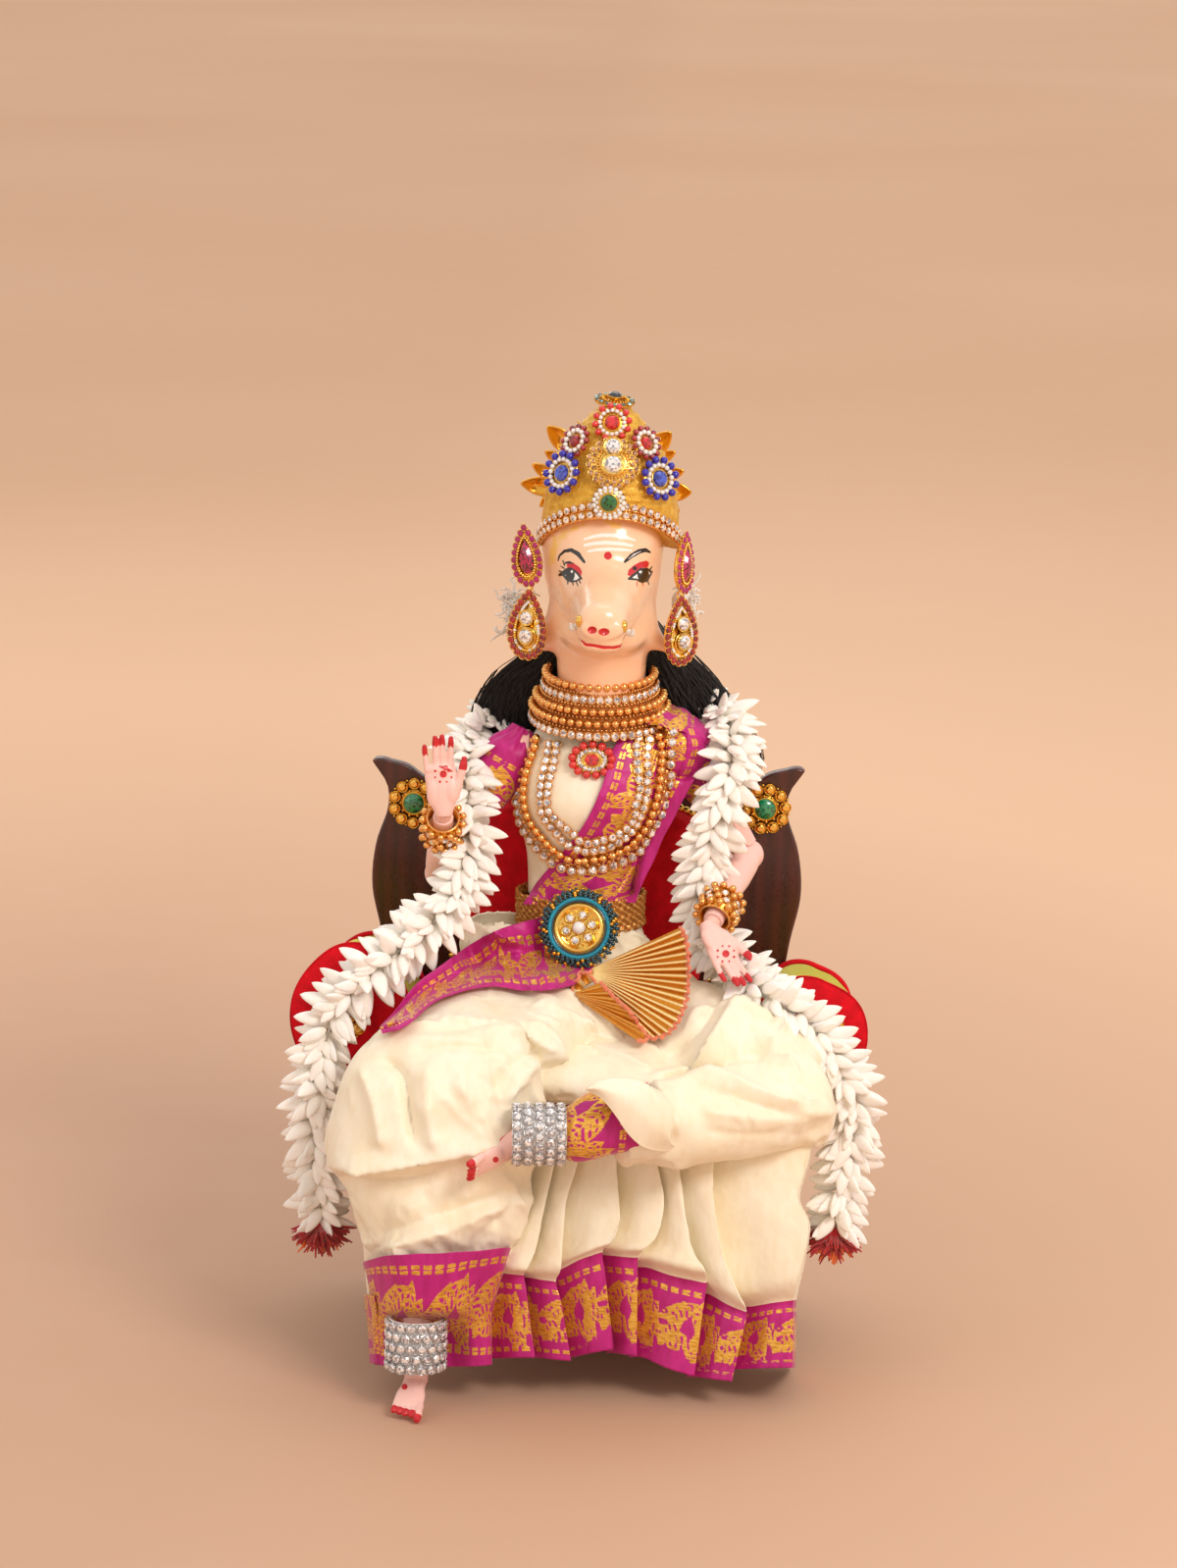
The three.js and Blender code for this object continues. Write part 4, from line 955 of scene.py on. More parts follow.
pad_edge = spline([[0, 89], [26, 89.5], [36, 92], [39.5, 106], [42.5, 120], [46, 136], [45, 150], [36, 161], [18, 167], [0, 169]], 60)
pad = [(x - 2, z) for x, z in list(pad_edge[:-1]) + [(-x, z) for x, z in pad_edge[::-1]][:-1]]
inner = [((x + 2) * 0.972 - 2, (z - 130) * 0.972 + 130) for x, z in pad]
v, f = oriented(*pillow(inner, (-2, 130), 26.0, 37.2, 3.2, 14))
v, f = inflated(v, f, 5.0, 1.6, 1.8, keep=lambda p: p[:, 1] > 36.4)
v[:, 1] = np.minimum(v[:, 1], 37.5)
back_cushion = place("throne_back_cushion", sub(Build().add(v, f).mesh("back_pad")), m_red_velvet, ROOT, "back_cushion")

# gold bead chain round the cushion's edge
b = Build()
rim = evenly(np.array([(x, z) for x, z in pad + pad[:1]]), 150)
for k in range(len(rim) - 1):
    x, z = rim[k]
    c = unit(np.array([x + 2, 0, z - 130]))
    p = np.array([x, 27.2, z]) + np.array([c[0], 0, c[2]]) * 0.6
    bead(b, facing(p + np.array([0, 1.1, 0]), (0, -1, 0)), 1.22, 0)
loop = np.array([(x, 27.6, z) for x, z in rim])
v, f = tube(loop, [0.4, 0.4], 6, 200)
b.add(v, f, 0)
b.make("back_cushion_bead_chain", m_gold, ROOT)

# seat cushion
x0, x1, y0, y1, z0, z1 = -49, 47, -26, 21, 66.35, 87.5
ring = []
for k in range(72):
    a = 2 * math.pi * k / 72
    c, s = math.cos(a), math.sin(a)
    q = 0.22
    ring.append(((x0 + x1) / 2 + (x1 - x0) / 2 * np.sign(c) * abs(c) ** q, (y0 + y1) / 2 + (y1 - y0) / 2 * np.sign(s) * abs(s) ** q))
ring = np.array(ring)
cx, cy = (x0 + x1) / 2, (y0 + y1) / 2
rows = []
for z, g in ((z0, 0.93), (z0 + 2.5, 0.975), (z0 + 8, 0.99), (z0 + 14, 0.985), (z0 + 18, 0.96), (z0 + 19.6, 0.88), (z0 + 20.4, 0.7), (z0 + 20.8, 0.4)):
    rows.append(np.stack([cx + (ring[:, 0] - cx) * g, cy + (ring[:, 1] - cy) * g, np.full(72, z)], 1))
v = np.vstack(rows + [[[cx, cy, z0]], [[cx, cy, z0 + 20.9]]])
f = grid_faces(8, 72, True) + [(8 * 72, (j + 1) % 72, j) for j in range(72)] + [(8 * 72 + 1, 7 * 72 + j, 7 * 72 + (j + 1) % 72) for j in range(72)]
v, f = oriented(v, f)
v, f = inflated(v, f, 3.0, 0.5, 2.2)
v[:, 2] = np.clip(v[:, 2], z0, z1)
seat_cushion = place("throne_seat_cushion", sub(Build().add(v, f).mesh("seat_pad")), m_red_velvet, ROOT, "seat_cushion")
b = Build()
pipe = np.array([(cx + (x - cx) * 0.985, cy + (y - cy) * 0.985, z0 + 18.4) for x, y in np.vstack([ring, ring[:1]])])
v, f = tube(pipe, [0.7, 0.7], 8, 200)
b.add(v, f)
b.make("seat_cushion_piping", m_red_velvet, ROOT)


# arms: upholstered body, velvet front panel, piping, brooch
arm_pts = [[50.4, 66.35], [50.2, 86], [50.6, 100], [52.6, 112], [58, 122], [66, 127.6], [74, 127], [82, 120.5], [87, 112], [88, 103], [85.5, 94], [79, 84], [69, 74], [60, 66.35]]
arm_line = spline(arm_pts, 90)


def fallen(v):
    """The arms fall away and draw in towards the back board."""
    v = np.array(v, float)
    t = np.clip((v[:, 1] + 24.3) / 60.3, 0, 1)
    v[:, 0] -= np.sign(v[:, 0]) * 4 * t * np.maximum(0, np.abs(v[:, 0]) - 60) / 28
    v[:, 2] -= 11 * t * np.maximum(0, v[:, 2] - 66.35) / 61
    return v


def arm_outline(side, grow=0.0):
    c = np.array([68.0, 98.0])
    d = arm_line - c
    o = arm_line + grow * d / np.linalg.norm(d, axis=1)[:, None]
    o[:, 1] = np.maximum(o[:, 1], 66.35)
    if side == "left":
        o[:, 1] -= 5.5 * np.clip((o[:, 1] - 96) / 28, 0, 1) * np.clip(1 - (o[:, 0] - 76) / 16, 0.35, 1)
        return o
    return np.array([(-x - 2, max(z + 1.5, 66.35)) for x, z in o][::-1])


for side, cxz in (("left", (68, 98)), ("right", (-70, 99.5))):
    o = arm_outline(side, -0.5)
    v, f = oriented(*slab(o, -24.0, 36.0, 1.4, 5))
    # the long faces get rows of points so that the cover can swell between its ends
    rows = np.linspace(-24, 36, 22)
    n = len(o)
    ring3 = []
    for y in rows:
        e = min(y + 24, 36 - y)
        g = -1.3 * (1 - smoothstep(0, 3.0, e)) + 0.5 * math.sin(math.pi * (y + 24) / 60)
        d = o - np.array(cxz)
        q = o + g * d / np.linalg.norm(d, axis=1)[:, None]
        q[:, 1] = np.maximum(q[:, 1], 66.35)
        ring3.append(np.stack([q[:, 0], np.full(n, y), q[:, 1]], 1))
    v = np.vstack(ring3 + [[[cxz[0], -24, cxz[1]]], [[cxz[0], 36, cxz[1]]]])
    f = grid_faces(22, n, True) + [(22 * n, (j + 1) % n, j) for j in range(n)] + [(22 * n + 1, 21 * n + j, 21 * n + (j + 1) % n) for j in range(n)]
    v, f = oriented(v, f)
    v = v + 0.35 * np.stack([fbm(v, 9, 5), 0 * v[:, 0], fbm(v, 9, 6)], 1) * (np.abs(v[:, 1] - 6) < 29)[:, None]
    v[:, 2] = np.maximum(v[:, 2], 66.35)
    v = fallen(v)
    arm = Build().add(v, f).make(f"throne_arm_{side}", m_lime_velvet, ROOT, f"arm_{side}", "lime_velvet")

    o = arm_outline(side, 0.6)
    v, f = oriented(*pillow(o, cxz, -26.2, -24.7, 1.6, 12, 0.9, 3.0))
    panel = Build().add(v, f).make(f"throne_arm_panel_{side}", m_red_velvet, ROOT, f"arm_panel_{side}", "red_velvet")
    b = Build()
    q = arm_outline(side, 0.3)
    keep = q[:, 1] > 67
    loop = np.array([(x, -24.6, z) for x, z in q[keep]])
    v, f = tube(loop, [0.62, 0.62], 8, 120)
    b.add(v, f)
    loop = fallen(np.array([(x, 35.2, z) for x, z in q[keep]]))
    v, f = tube(loop, [0.9, 0.9], 8, 120)
    b.add(v, f)
    b.make(f"arm_piping_{side}", m_red_velvet, ROOT)


def sun_brooch(name, p, n, r, node, spin=0.0):
    """Ten gold stones in cups round a green cabochon, on a pierced gold disc."""
    b = Build()
    m = facing(p, n, spin=spin)
    b.put(lathe([(0, 0), (r * 0.5, 0), (r * 0.56, 0.35), (r * 0.5, 0.8), (0, 1.0)], 40), m, 0)
    b.put(_torus(r * 0.765, 0.32, 40, 7), np.column_stack([m[:, :3], at(m, 0, 0, 0.35)]), 0)
    for q in around(m, r * 0.765, 10, 0.1, 0.5):
        stone(b, q, r * 0.2, 1, 0, 4, True)
    for q in around(m, r * 0.5, 10, 0.1 + math.pi / 10, 0.9):
        bead(b, q, r * 0.06, 0)
    b.put(_torus(r * 0.42, r * 0.05, 36, 8), scaled(facing(at(m, 0, 0, 1.25), n), 1), 0)
    b.put(lathe([(r * 0.42, 0.8), (r * 0.42, 1.3), (r * 0.39, 1.7), (r * 0.3, 2.3), (r * 0.17, 2.7), (0.0, 2.85)], 36), m, 2)
    for q in around(m, r * 0.9, 10, 0.1 + math.pi / 10, 0.5):
        bead(b, q, r * 0.055, 0)
    return b.make(name, [m_gold_deep, m_gold, m_green_cab], ROOT, node, "gold_bead_green_stone")


sun_brooch("back_brooch_left_beads", (55.5, 37.6, 162.5), (0, -1, 0), 8.5, "back_brooch_left")
sun_brooch("back_brooch_right_beads", (-57.3, 37.6, 161.5), (0, -1, 0), 8.4, "back_brooch_right", 0.2)
sun_brooch("arm_brooch_left_beads", (74.5, -27.6, 103.5), (0, -1, 0), 9.4, "arm_brooch_left", 0.1)
sun_brooch("arm_brooch_right_beads", (-75.3, -27.6, 107.5), (0, -1, 0), 9.4, "arm_brooch_right")

# scroll braid round the seat base
b = Build()
path = [(-62.3, 35, 50), (-62.3, -20, 50), (-62.3, -26.4, 50), (-58, -26.6, 50), (58, -26.6, 50), (60.4, -24, 50), (60.4, 35, 50)]
for (x, y, z), (x2, y2, z2) in zip(path[:-1], path[1:]):
    long = math.hypot(x2 - x, y2 - y)
    if long < 12:
        continue
    t = np.array([(x2 - x) / long, (y2 - y) / long, 0])
    out = np.array([t[1], -t[0], 0])
    steps = int(long / 7.2)
    for k in range(steps):
        c = np.array([x, y, z]) + t * (k + 0.5) * long / steps
        s = 1 if k % 2 else -1
        curl = []
        for a in np.linspace(0, 4.4, 22):
            r = 3.4 * (1 - a / 6.2)
            curl.append(c + t * r * math.cos(a) + np.array([0, 0, 1]) * r * math.sin(a) * s + out * 1.0)
        b.add(*tube(curl, [(0.9, 0.55), (0.8, 0.5), (0.5, 0.4)], 7, 26, out))
        bead(b, facing(c + out * 0.6, out), 0.9, 0)
    for dz in (-4.6, 4.6):
        b.add(*tube([np.array([x, y, z + dz]) + out * 0.5, np.array([x2, y2, z2 + dz]) + out * 0.5], [0.55, 0.55], 7, 60, (0, 0, 1)))
b.make("seat_base_braid", m_braid, ROOT)


# ---- jointed body: arms, hands, feet -----------------------------------------------
FINGERS = [(-5.8, 20.8, 0.92), (-2.55, 23.5, 1.02), (-0.35, 23.9, 1.04), (2.35, 23.3, 1.0)]
HAND = {"right": ((-0.02, 0.05, 1), (0.12, -1, 0.05), 1), "left": ((0.5, -0.62, -0.62), (0.35, -0.62, 0.72), -1)}


def hand_frame(side):
    up, out, t = HAND[side]
    z = unit(up)
    y = -np.asarray(out, float)
    x = unit(np.cross(y, z))
    y = np.cross(z, x)
    return np.column_stack([x, y, z, W[side]])


def spot(p, u, v, r):
    """How far inside a round spot at a pixel, in mm."""
    q = px(p)
    return r - np.hypot(q[:, 0] - u, q[:, 1] - v) * 0.307


for side in ("right", "left"):
    t = HAND[side][2]
    m = hand_frame(side)
    b = Build()
    # palm: heel, pads, knuckles
    b.add(*tube([(0, 0, -1.6), (-0.1 * t, 0, 4), (-0.6 * t, 0, 9), (-1.1 * t, 0, 14.2)], [(2.7, 2.4), (3.9, 2.3), (4.7, 2.2), (5.0, 1.8), (4.6, 1.25)], 24, 24, (0, 1, 0)))
    b.add(*ellipsoid((2.4 * t, -0.9, 6.0), (2.2, 1.8, 4.4), 16, 12))
    b.add(*ellipsoid((-3.3 * t, -0.7, 5.6), (2.0, 1.6, 4.6), 16, 12))
    b.add(*ellipsoid((-1.2 * t, -0.55, 12.6), (4.4, 1.2, 1.6), 16, 12))
    for k, (x, z, r) in enumerate(FINGERS):
        x *= t
        b.add(*tube([(x * 0.84, 0.1, 12), (x * 0.92, -0.05, 12.5 + (z - 12.5) * 0.35), (x * 0.98, -0.2, 12.5 + (z - 12.5) * 0.7), (x, -0.6, z - r * 0.5)],
                    [r * 1.2, r * 1.1, r * 1.0, r * 1.05, r * 0.95, r * 0.95, r * 0.72], 12, 20, (0, 1, 0)))
    b.add(*tube([(2.6 * t, -0.2, 4.2), (4.7 * t, -0.9, 9.4), (5.9 * t, -1.4, 13.2), (6.4 * t, -1.5, 16.6)], [(2.3, 2.0), (1.85, 1.7), (1.35, 1.3), (1.35, 1.2), (0.85, 0.8)], 14, 20, (0, 1, 0)))
    v, f = moulded(b, 0.27, 5, 0.5)
    # the wrist end stays clear of the peg
    lines = [(x * t, z) for x, z, r in FINGERS]
    red = np.full(len(v), -3.0)
    for x, z in lines:
        near = (np.abs(v[:, 0] - x) < 1.2) & (v[:, 2] > 15)
        red[near] = np.maximum(red[near], (v[near, 2] - (z - 3.6)) + 0.3 * np.sin(v[near, 0] * 5))
    thumb = np.array([6.4 * t, -1.5, 16.6])
    near = (v[:, 0] * t > 4.4) & (v[:, 2] > 11)
    red[near] = np.maximum(red[near], 4.0 - np.linalg.norm(v[near] - thumb, axis=1))
    w = v @ m[:, :3].T + m[:, 3]
    palm = v[:, 1] < 0.2
    centre = (452, 789) if side == "right" else (740, 972)
    dots = [(0, 0, 1.15)]
    for k in range(8):
        a = 0.4 + k * 2 * math.pi / 8
        dots.append((9.0 * math.cos(a), 8.4 * math.sin(a), 0.34 if k % 2 else 0.42))
    if side == "right":
        dots += [(2.2, -6.5, 0.8), (5.5, -4.0, 0.6), (-1.0, -7.0, 0.5)]
    for du, dv, r in dots:
        s = spot(w, centre[0] + du, centre[1] + dv, r)
        red[palm] = np.maximum(red[palm], s[palm])
    b = Build().add(w, f, red=red)
    b.make(f"hand_skin_{side}", m_skin, f"{side}_hand", f"hand_{side}", "skin_plastic")
    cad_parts[f"wrist_peg_{side}"].data.materials.clear()
    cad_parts[f"wrist_peg_{side}"].data.materials.append(m_joint)

    # forearm with its elbow ball
    d = unit(W[side] - E[side])
    stop = W[side] - d * 3.7
    x = unit(np.cross(d, (0, -1, 0.2)))
    b = Build()
    b.add(*tube([E[side], E[side] + d * 12, E[side] + d * 24, stop], [4.5, 4.75, 4.7, 4.3, 3.7, 3.35, 3.3], 22, 40, (0, 0, 1), False) if False else tube([E[side], E[side] + (stop - E[side]) * 0.33, E[side] + (stop - E[side]) * 0.66, stop], [4.4, 4.7, 4.6, 4.1, 3.6, 3.35, 3.2], 22, 40))
    b.add(*ellipsoid(E[side], 4.9, 24, 16))
    v, f = moulded(b, 0.42, 6, 0.5)
    keep = (v - stop) @ d
    v[keep > 0] -= np.outer(keep[keep > 0], d)
    fore = Build().add(v, f, red=np.full(len(v), -3.0))
    fore.make(f"forearm_skin_{side}", m_skin, f"{side}_forearm", f"forearm_{side}", "skin_plastic")

# upper arms keep the moulded solids, in skin; the shoulders are under the sleeves
for side in ("right", "left"):
    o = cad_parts[f"upper_arm_{side}"]
    o.data.materials.clear()
    o.data.materials.append(m_joint)


# feet: heel, arch, toes with red tips
ANKLE = {"right": np.array([-46.3, -84.5, 17.0]), "left": np.array([-13.5, -88.6, 88.6])}
FOOT = {"right": ((-46, -80, 8.5), (-48.8, -96.5, 2.2), (1, -0.15, 0)), "left": ((-20.5, -84.5, 83), (-30, -98, 79), (0.45, -0.1, 0.88))}
TOES = [(-3.7, 0.98), (-1.9, 1.0), (0.0, 1.02), (2.0, 1.03), (4.0, 1.12)]
for side in ("right", "left"):
    ankle, (heel, tip, across) = ANKLE[side], FOOT[side]
    heel, tip = np.array(heel, float), np.array(tip, float)
    d = unit(tip - heel)
    x = unit(np.asarray(across, float) - d * (np.asarray(across, float) @ d))
    up = np.cross(x, d) if side == "right" else np.cross(x, d)
    if up @ (ankle - (heel + tip) / 2) < 0:
        up = -up
    long = np.linalg.norm(tip - heel)
    b = Build()
    b.add(*tube([ankle - unit(ankle - heel) * 1.2, (ankle + heel) / 2 + up * 0.4, heel + d * 2.2 + up * 0.2], [3.6, 3.7, 3.6], 20, 16, d))
    b.add(*ellipsoid(heel + d * 0.6 - up * 0.6, (3.2, 3.2, 2.9) if True else 3, 18, 12))
    b.add(*tube([heel + d * 1 + up * 0.9, heel + d * long * 0.45 + up * 0.6, heel + d * long * 0.78 - up * 0.1], [(3.4, 3.3), (3.6, 2.6), (4.6, 1.9), (4.8, 1.4)], 24, 20, up))
    red = []
    for k, (off, reach) in enumerate(TOES):
        big = k == (4 if side == "right" else 4)
        r = 1.35 if big else 0.95
        base = heel + d * long * 0.72 + x * off * 0.93 - up * 0.15
        end = heel + d * (long * 0.995 * reach - 0.6 * (abs(off - 3.5) / 7.2)) + x * off * 1.05 - up * 0.35
        b.add(*tube([base, (base + end) / 2 + up * 0.35, end], [r * 0.95, r * 0.92, r * 1.05, r * 0.8], 12, 12, up))
        red.append(end)
    v, f = moulded(b, 0.33, 4, 0.5)
    if side == "right":
        v[:, 2] = np.maximum(v[:, 2], 0.15)
    paint = np.full(len(v), -3.0)
    for end in red:
        paint = np.maximum(paint, 2.3 - np.linalg.norm(v - end, axis=1))
    # the painted line round the sole, and the spot on the instep
    rel = v - heel
    s_al, s_ac, s_up = rel @ d, rel @ x, rel @ up
    side_line = 0.75 - np.abs(s_up + 1.3 + 0.02 * s_al)
    side_line = np.where((np.abs(s_ac) > 2.4) & (s_al > -3), side_line, -3.0)
    paint = np.maximum(paint, np.where(s_ac * (1 if side == "right" else -1) > -20, side_line, -3.0))
    n = normals(v, f)
    c = (335 / 2.529 + 280, 1045 / 2.529 + 1000) if side == "right" else (570 / 2.529 + 280, 460 / 2.529 + 1000)
    s = spot(v, c[0], c[1], 0.95)
    paint = np.where((n @ -BACK) < 0, np.maximum(paint, s), paint) if (n @ BACK).mean() > 0 or True else paint
    Build().add(v, f, red=paint).make(f"foot_skin_{side}", m_skin, f"{side}_foot", f"foot_{side}", "skin_plastic")


# bangles: four rows of gold beads and stones round a woven core
for side in ("right", "left"):
    d = unit(W[side] - E[side])
    start = W[side] - d * 16
    b = Build()
    for row in range(4):
        c = start + d * (1.6 + row * 2.75)
        m = facing(c, d)
        n_ = 13
        for k, q in enumerate(around(m, 5.15, n_, (row % 2) * math.pi / n_)):
            # each bead faces outward from the arm
            out = q[:, 0]
            face = np.column_stack([q[:, 1], q[:, 2], out, q[:, 3]])
            if row in (1, 2) and k % 2 == 0:
                stone(b, face, 1.15, 1, 0, 4)
            else:
                bead(b, face, 1.18, 0)
    for z in (0.6, 11.0):
        b.put(_torus(4.9, 0.35, 40, 7), facing(start + d * z, d), 0)
    b.put(lathe([(4.62, 0.5), (4.62, 11.0), (4.95, 11.0), (4.95, 0.5)], 40, True), facing(start, d), 2)
    b.make(f"bangle_beads_{side}", [m_rose, m_clear, m_gold_deep], f"{side}_forearm", f"bangle_{side}", "gold_bead")

# anklets: rows of stones in silver cups on a net
for side, c, dr, long in (("right", (-46.3, -86, 13.2), (0, 0.08, 1), 16), ("left", (-18.2, -89.2, 88.6), (1, 0.08, 0), 16.5)):
    d = unit(dr)
    c = np.asarray(c, float)
    b = Build()
    rows, n_ = 5, 17
    thin = 0.6
    c = c - d * 0
    first = c if side == "left" else c
    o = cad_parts[f"anklet_{side}"]
    me_v, _ = arrays(o.data)
    mw = np.array(o.matrix_world)
    pts = me_v @ mw[:3, :3].T + mw[:3, 3] / MM
    along_ = (pts - c) @ d
    lo, hi = along_.min(), along_.max()
    centre = c + d * lo
    for row in range(rows):
        z = (row + 0.5) * (hi - lo) / rows
        m = facing(centre + d * z, d)
        for q in around(m, 8.75 - thin, n_, (row % 2) * math.pi / n_):
            face = np.column_stack([q[:, 1], q[:, 2], q[:, 0], q[:, 3]])
            stone(b, face, 1.42, 1, 0, 4)
    b.put(lathe([(8.15 - thin, 0.3), (8.15 - thin, hi - lo - 0.3), (8.75 - thin, hi - lo - 0.3), (8.75 - thin, 0.3)], 48, True), facing(centre, d), 2)
    for row in range(rows + 1):
        b.put(_torus(8.9 - thin, 0.16, 60, 6), facing(centre + d * np.clip(row * (hi - lo) / rows, 0.3, hi - lo - 0.3), d), 2)
    b.make(f"anklet_stones_{side}", [m_silver, m_clear, m_pearl], ROOT, f"anklet_{side}", "clear_stone")


# ---- head -----------------------------------------------------------------------
def seg_dist(p, line, half):
    """Distance inside a brush stroke: half widths vary along the line."""
    line = np.asarray(line, float)
    half = np.broadcast_to(np.asarray(half, float), (len(line),)) if not np.isscalar(half) else np.full(len(line), float(half))
    best = np.full(len(p), -1e3)
    for a, b, ra, rb in zip(line[:-1], line[1:], half[:-1], half[1:]):
        d = b - a
        t = np.clip(((p - a) @ d) / max(d @ d, 1e-9), 0, 1)
        best = np.maximum(best, ra + (rb - ra) * t - np.linalg.norm(p - a - t[:, None] * d, axis=1))
    return best


def poly_dist(p, poly):
    poly = np.asarray(poly, float)
    q = np.vstack([poly, poly[:1]])
    edge_ = -seg_dist(p, q, 0.0)
    inside = np.zeros(len(p), bool)
    for a, b in zip(q[:-1], q[1:]):
        c = ((a[1] > p[:, 1]) != (b[1] > p[:, 1]))
        with np.errstate(divide="ignore", invalid="ignore"):
            x = (b[0] - a[0]) * (p[:, 1] - a[1]) / (b[1] - a[1]) + a[0]
        inside ^= c & (p[:, 0] < x)
    return np.where(inside, edge_, -edge_)


def oval_dist(p, c, rx, ry):
    d = (p - np.asarray(c, float)) / (rx, ry)
    return (1 - np.linalg.norm(d, axis=1)) * min(rx, ry)


b = Build()
b.add(*ellipsoid(HEAD, (18.0, 18.5, 20.5), 40, 28))
b.add(*ellipsoid((5.1, 2.6, 251.5), (18.0, 18.9, 19.0), 40, 28))
b.add(*ellipsoid((5, -0.5, 231.0), (17.4, 15.5, 11.8), 36, 24))
b.add(*ellipsoid((5, -8, 240.5), (14.6, 12, 13), 32, 22))
b.add(*tube([(5, -6, 240), (4.7, -20, 237), (4.3, -32, 233.8), (4.2, -37.4, 232.4)], [(14.8, 14), (12.8, 12), (10.2, 9.8), (8.9, 8.8), (8.2, 8.2)], 28, 28))
b.add(*ellipsoid((5, -9, 226.5), (13.8, 10, 6.4), 28, 20))
for s in (-1, 1):
    # jaw flaps that spread to the neck
    b.add(*tube([(5 + s * 11, -4, 229.5), (5 + s * 17.2, -2.5, 223.5), (5 + s * 21.4, -1.5, 218.8)], [(5.5, 5.5), (4.2, 3.2), (1.4, 1.2)], 16, 14, (0, 1, 0)))
b.add(*lathe([(0, 206.4), (13.6, 206.4), (14.0, 208), (13.7, 214), (14.2, 220), (15, 226), (0, 230)], 40))
neck_part = b.v[-1]
neck_part[:, 0] += 3.3
neck_part[:, 1] += 2.6
neck_part[:, :2] = (neck_part[:, :2] - (3.3, 2.6)) * 1.05 + (3.3, 2.6)
v, f = moulded(b, 1.15, 34, 0.7)
wide = 0.97 + 0.055 * smoothstep(238, 254, v[:, 2])
v = (v - HEAD) * np.column_stack([wide, np.full(len(v), 1.032), np.full(len(v), 1.018)]) + HEAD
side_ = (v[:, 0] - 5) / 18
near = smoothstep(219, 228, v[:, 2]) * smoothstep(-26, -12, v[:, 1])
v[:, 0] -= np.where(side_ < 0, 2.9, 1.3) * side_ ** 2 * near
b = Build().add(v, f)
# snout pad with a raised rim, and lower lip
b.add(*tube([(4.55, -37.0, 233.2), (4.6, -39.2, 233.4), (4.6, -40.2, 233.5)], [(6.6, 3.8), (6.9, 4.0), (6.2, 3.4)], 32, 10, (0, 0, 1)))
b.add(*ellipsoid((4.5, -36.4, 228.6), (6.6, 3.4, 3.4), 28, 18))
v, f = moulded(b, 0.3, 5, 0.5)
n = normals(v, f)
# nostrils are pressed into the pad
for c in ((1.85, 233.2), (5.6, 232.9)):
    d = np.hypot((v[:, 0] - c[0]) / 1.25, (v[:, 2] - c[1]) / 1.0)
    m_ = (v[:, 1] < -38.3) & (d < 1.6)
    v[m_, 1] += 0.75 * (1 - smoothstep(0.4, 1.25, d[m_]))
# the mouth line is pressed in
q = (px(v) - (510, 520)) * 7.467
mouth = [(612, 992), (650, 1024), (720, 1032), (790, 1046), (870, 1046), (920, 1036), (958, 998)]
front = (n @ BACK) > 0.02
md = seg_dist(q, mouth, 14.0) * 0.0411
m_ = front & (md > -0.4) & (v[:, 1] < -20)
v[m_] -= n[m_] * (0.3 * smoothstep(-0.4, 0.5, md[m_]))[:, None]
paint = {k: np.full(len(v), -5.0) for k in ("white", "red", "black", "shine", "yellow")}


def mark(layer, d, where=front):
    d = d + {"black": 3.0, "red": 1.5, "white": 1.0}.get(layer, 0.0)
    paint[layer] = np.where(where, np.maximum(paint[layer], d * 0.0411), paint[layer])


mark("white", seg_dist(q, [(640, 222), (700, 202), (770, 190), (860, 190), (950, 204), (1025, 228)], [6, 11, 13, 13, 11, 6]))
mark("white", seg_dist(q, [(645, 266), (720, 252), (800, 246), (900, 252), (1005, 268)], [10, 12, 13, 13, 8]))
mark("white", seg_dist(q, [(672, 312), (740, 300), (830, 295), (930, 300), (1000, 306)], [8, 10, 11, 10, 5]))
mark("red", oval_dist(q, (820, 346), 29, 29))
mark("black", seg_dist(q, [(440, 385), (452, 345), (488, 312), (540, 303), (592, 332), (640, 395)], [2, 5, 8, 12, 14, 7]))
mark("black", seg_dist(q, [(950, 392), (1000, 346), (1060, 312), (1105, 303), (1140, 320)], [7, 14, 15, 13, 5]))
# painted highlight: a light streak along one brow
mark("shine", seg_dist(q, [(975, 372), (1020, 336), (1070, 312)], [2, 5, 2]))
# left eye of the picture
mark("red", poly_dist(q, [(508, 408), (560, 404), (606, 438), (622, 470), (612, 505), (585, 482), (545, 452), (512, 446)]))
mark("white", oval_dist(q, (545, 496), 56, 40))
mark("black", oval_dist(q, (533, 490), 32, 50))
mark("black", seg_dist(q, [(452, 492), (480, 482), (505, 452), (540, 446), (580, 472), (618, 520)], [8, 15, 9, 6, 6, 5]))
mark("black", seg_dist(q, [(498, 400), (525, 396), (552, 404)], [5, 6, 3]))
mark("black", seg_dist(q, [(480, 490), (505, 525), (540, 542), (580, 538), (615, 516)], [6, 6, 5, 4, 4]))
for a_, b_ in (((515, 540), (513, 562)), ((550, 544), (556, 570)), ((578, 540), (592, 578)), ((600, 530), (610, 556)), ((484, 440), (462, 426)), ((490, 420), (476, 380)), ((470, 468), (446, 462))):
    mark("black", seg_dist(q, [a_, b_], [3, 1.5]))
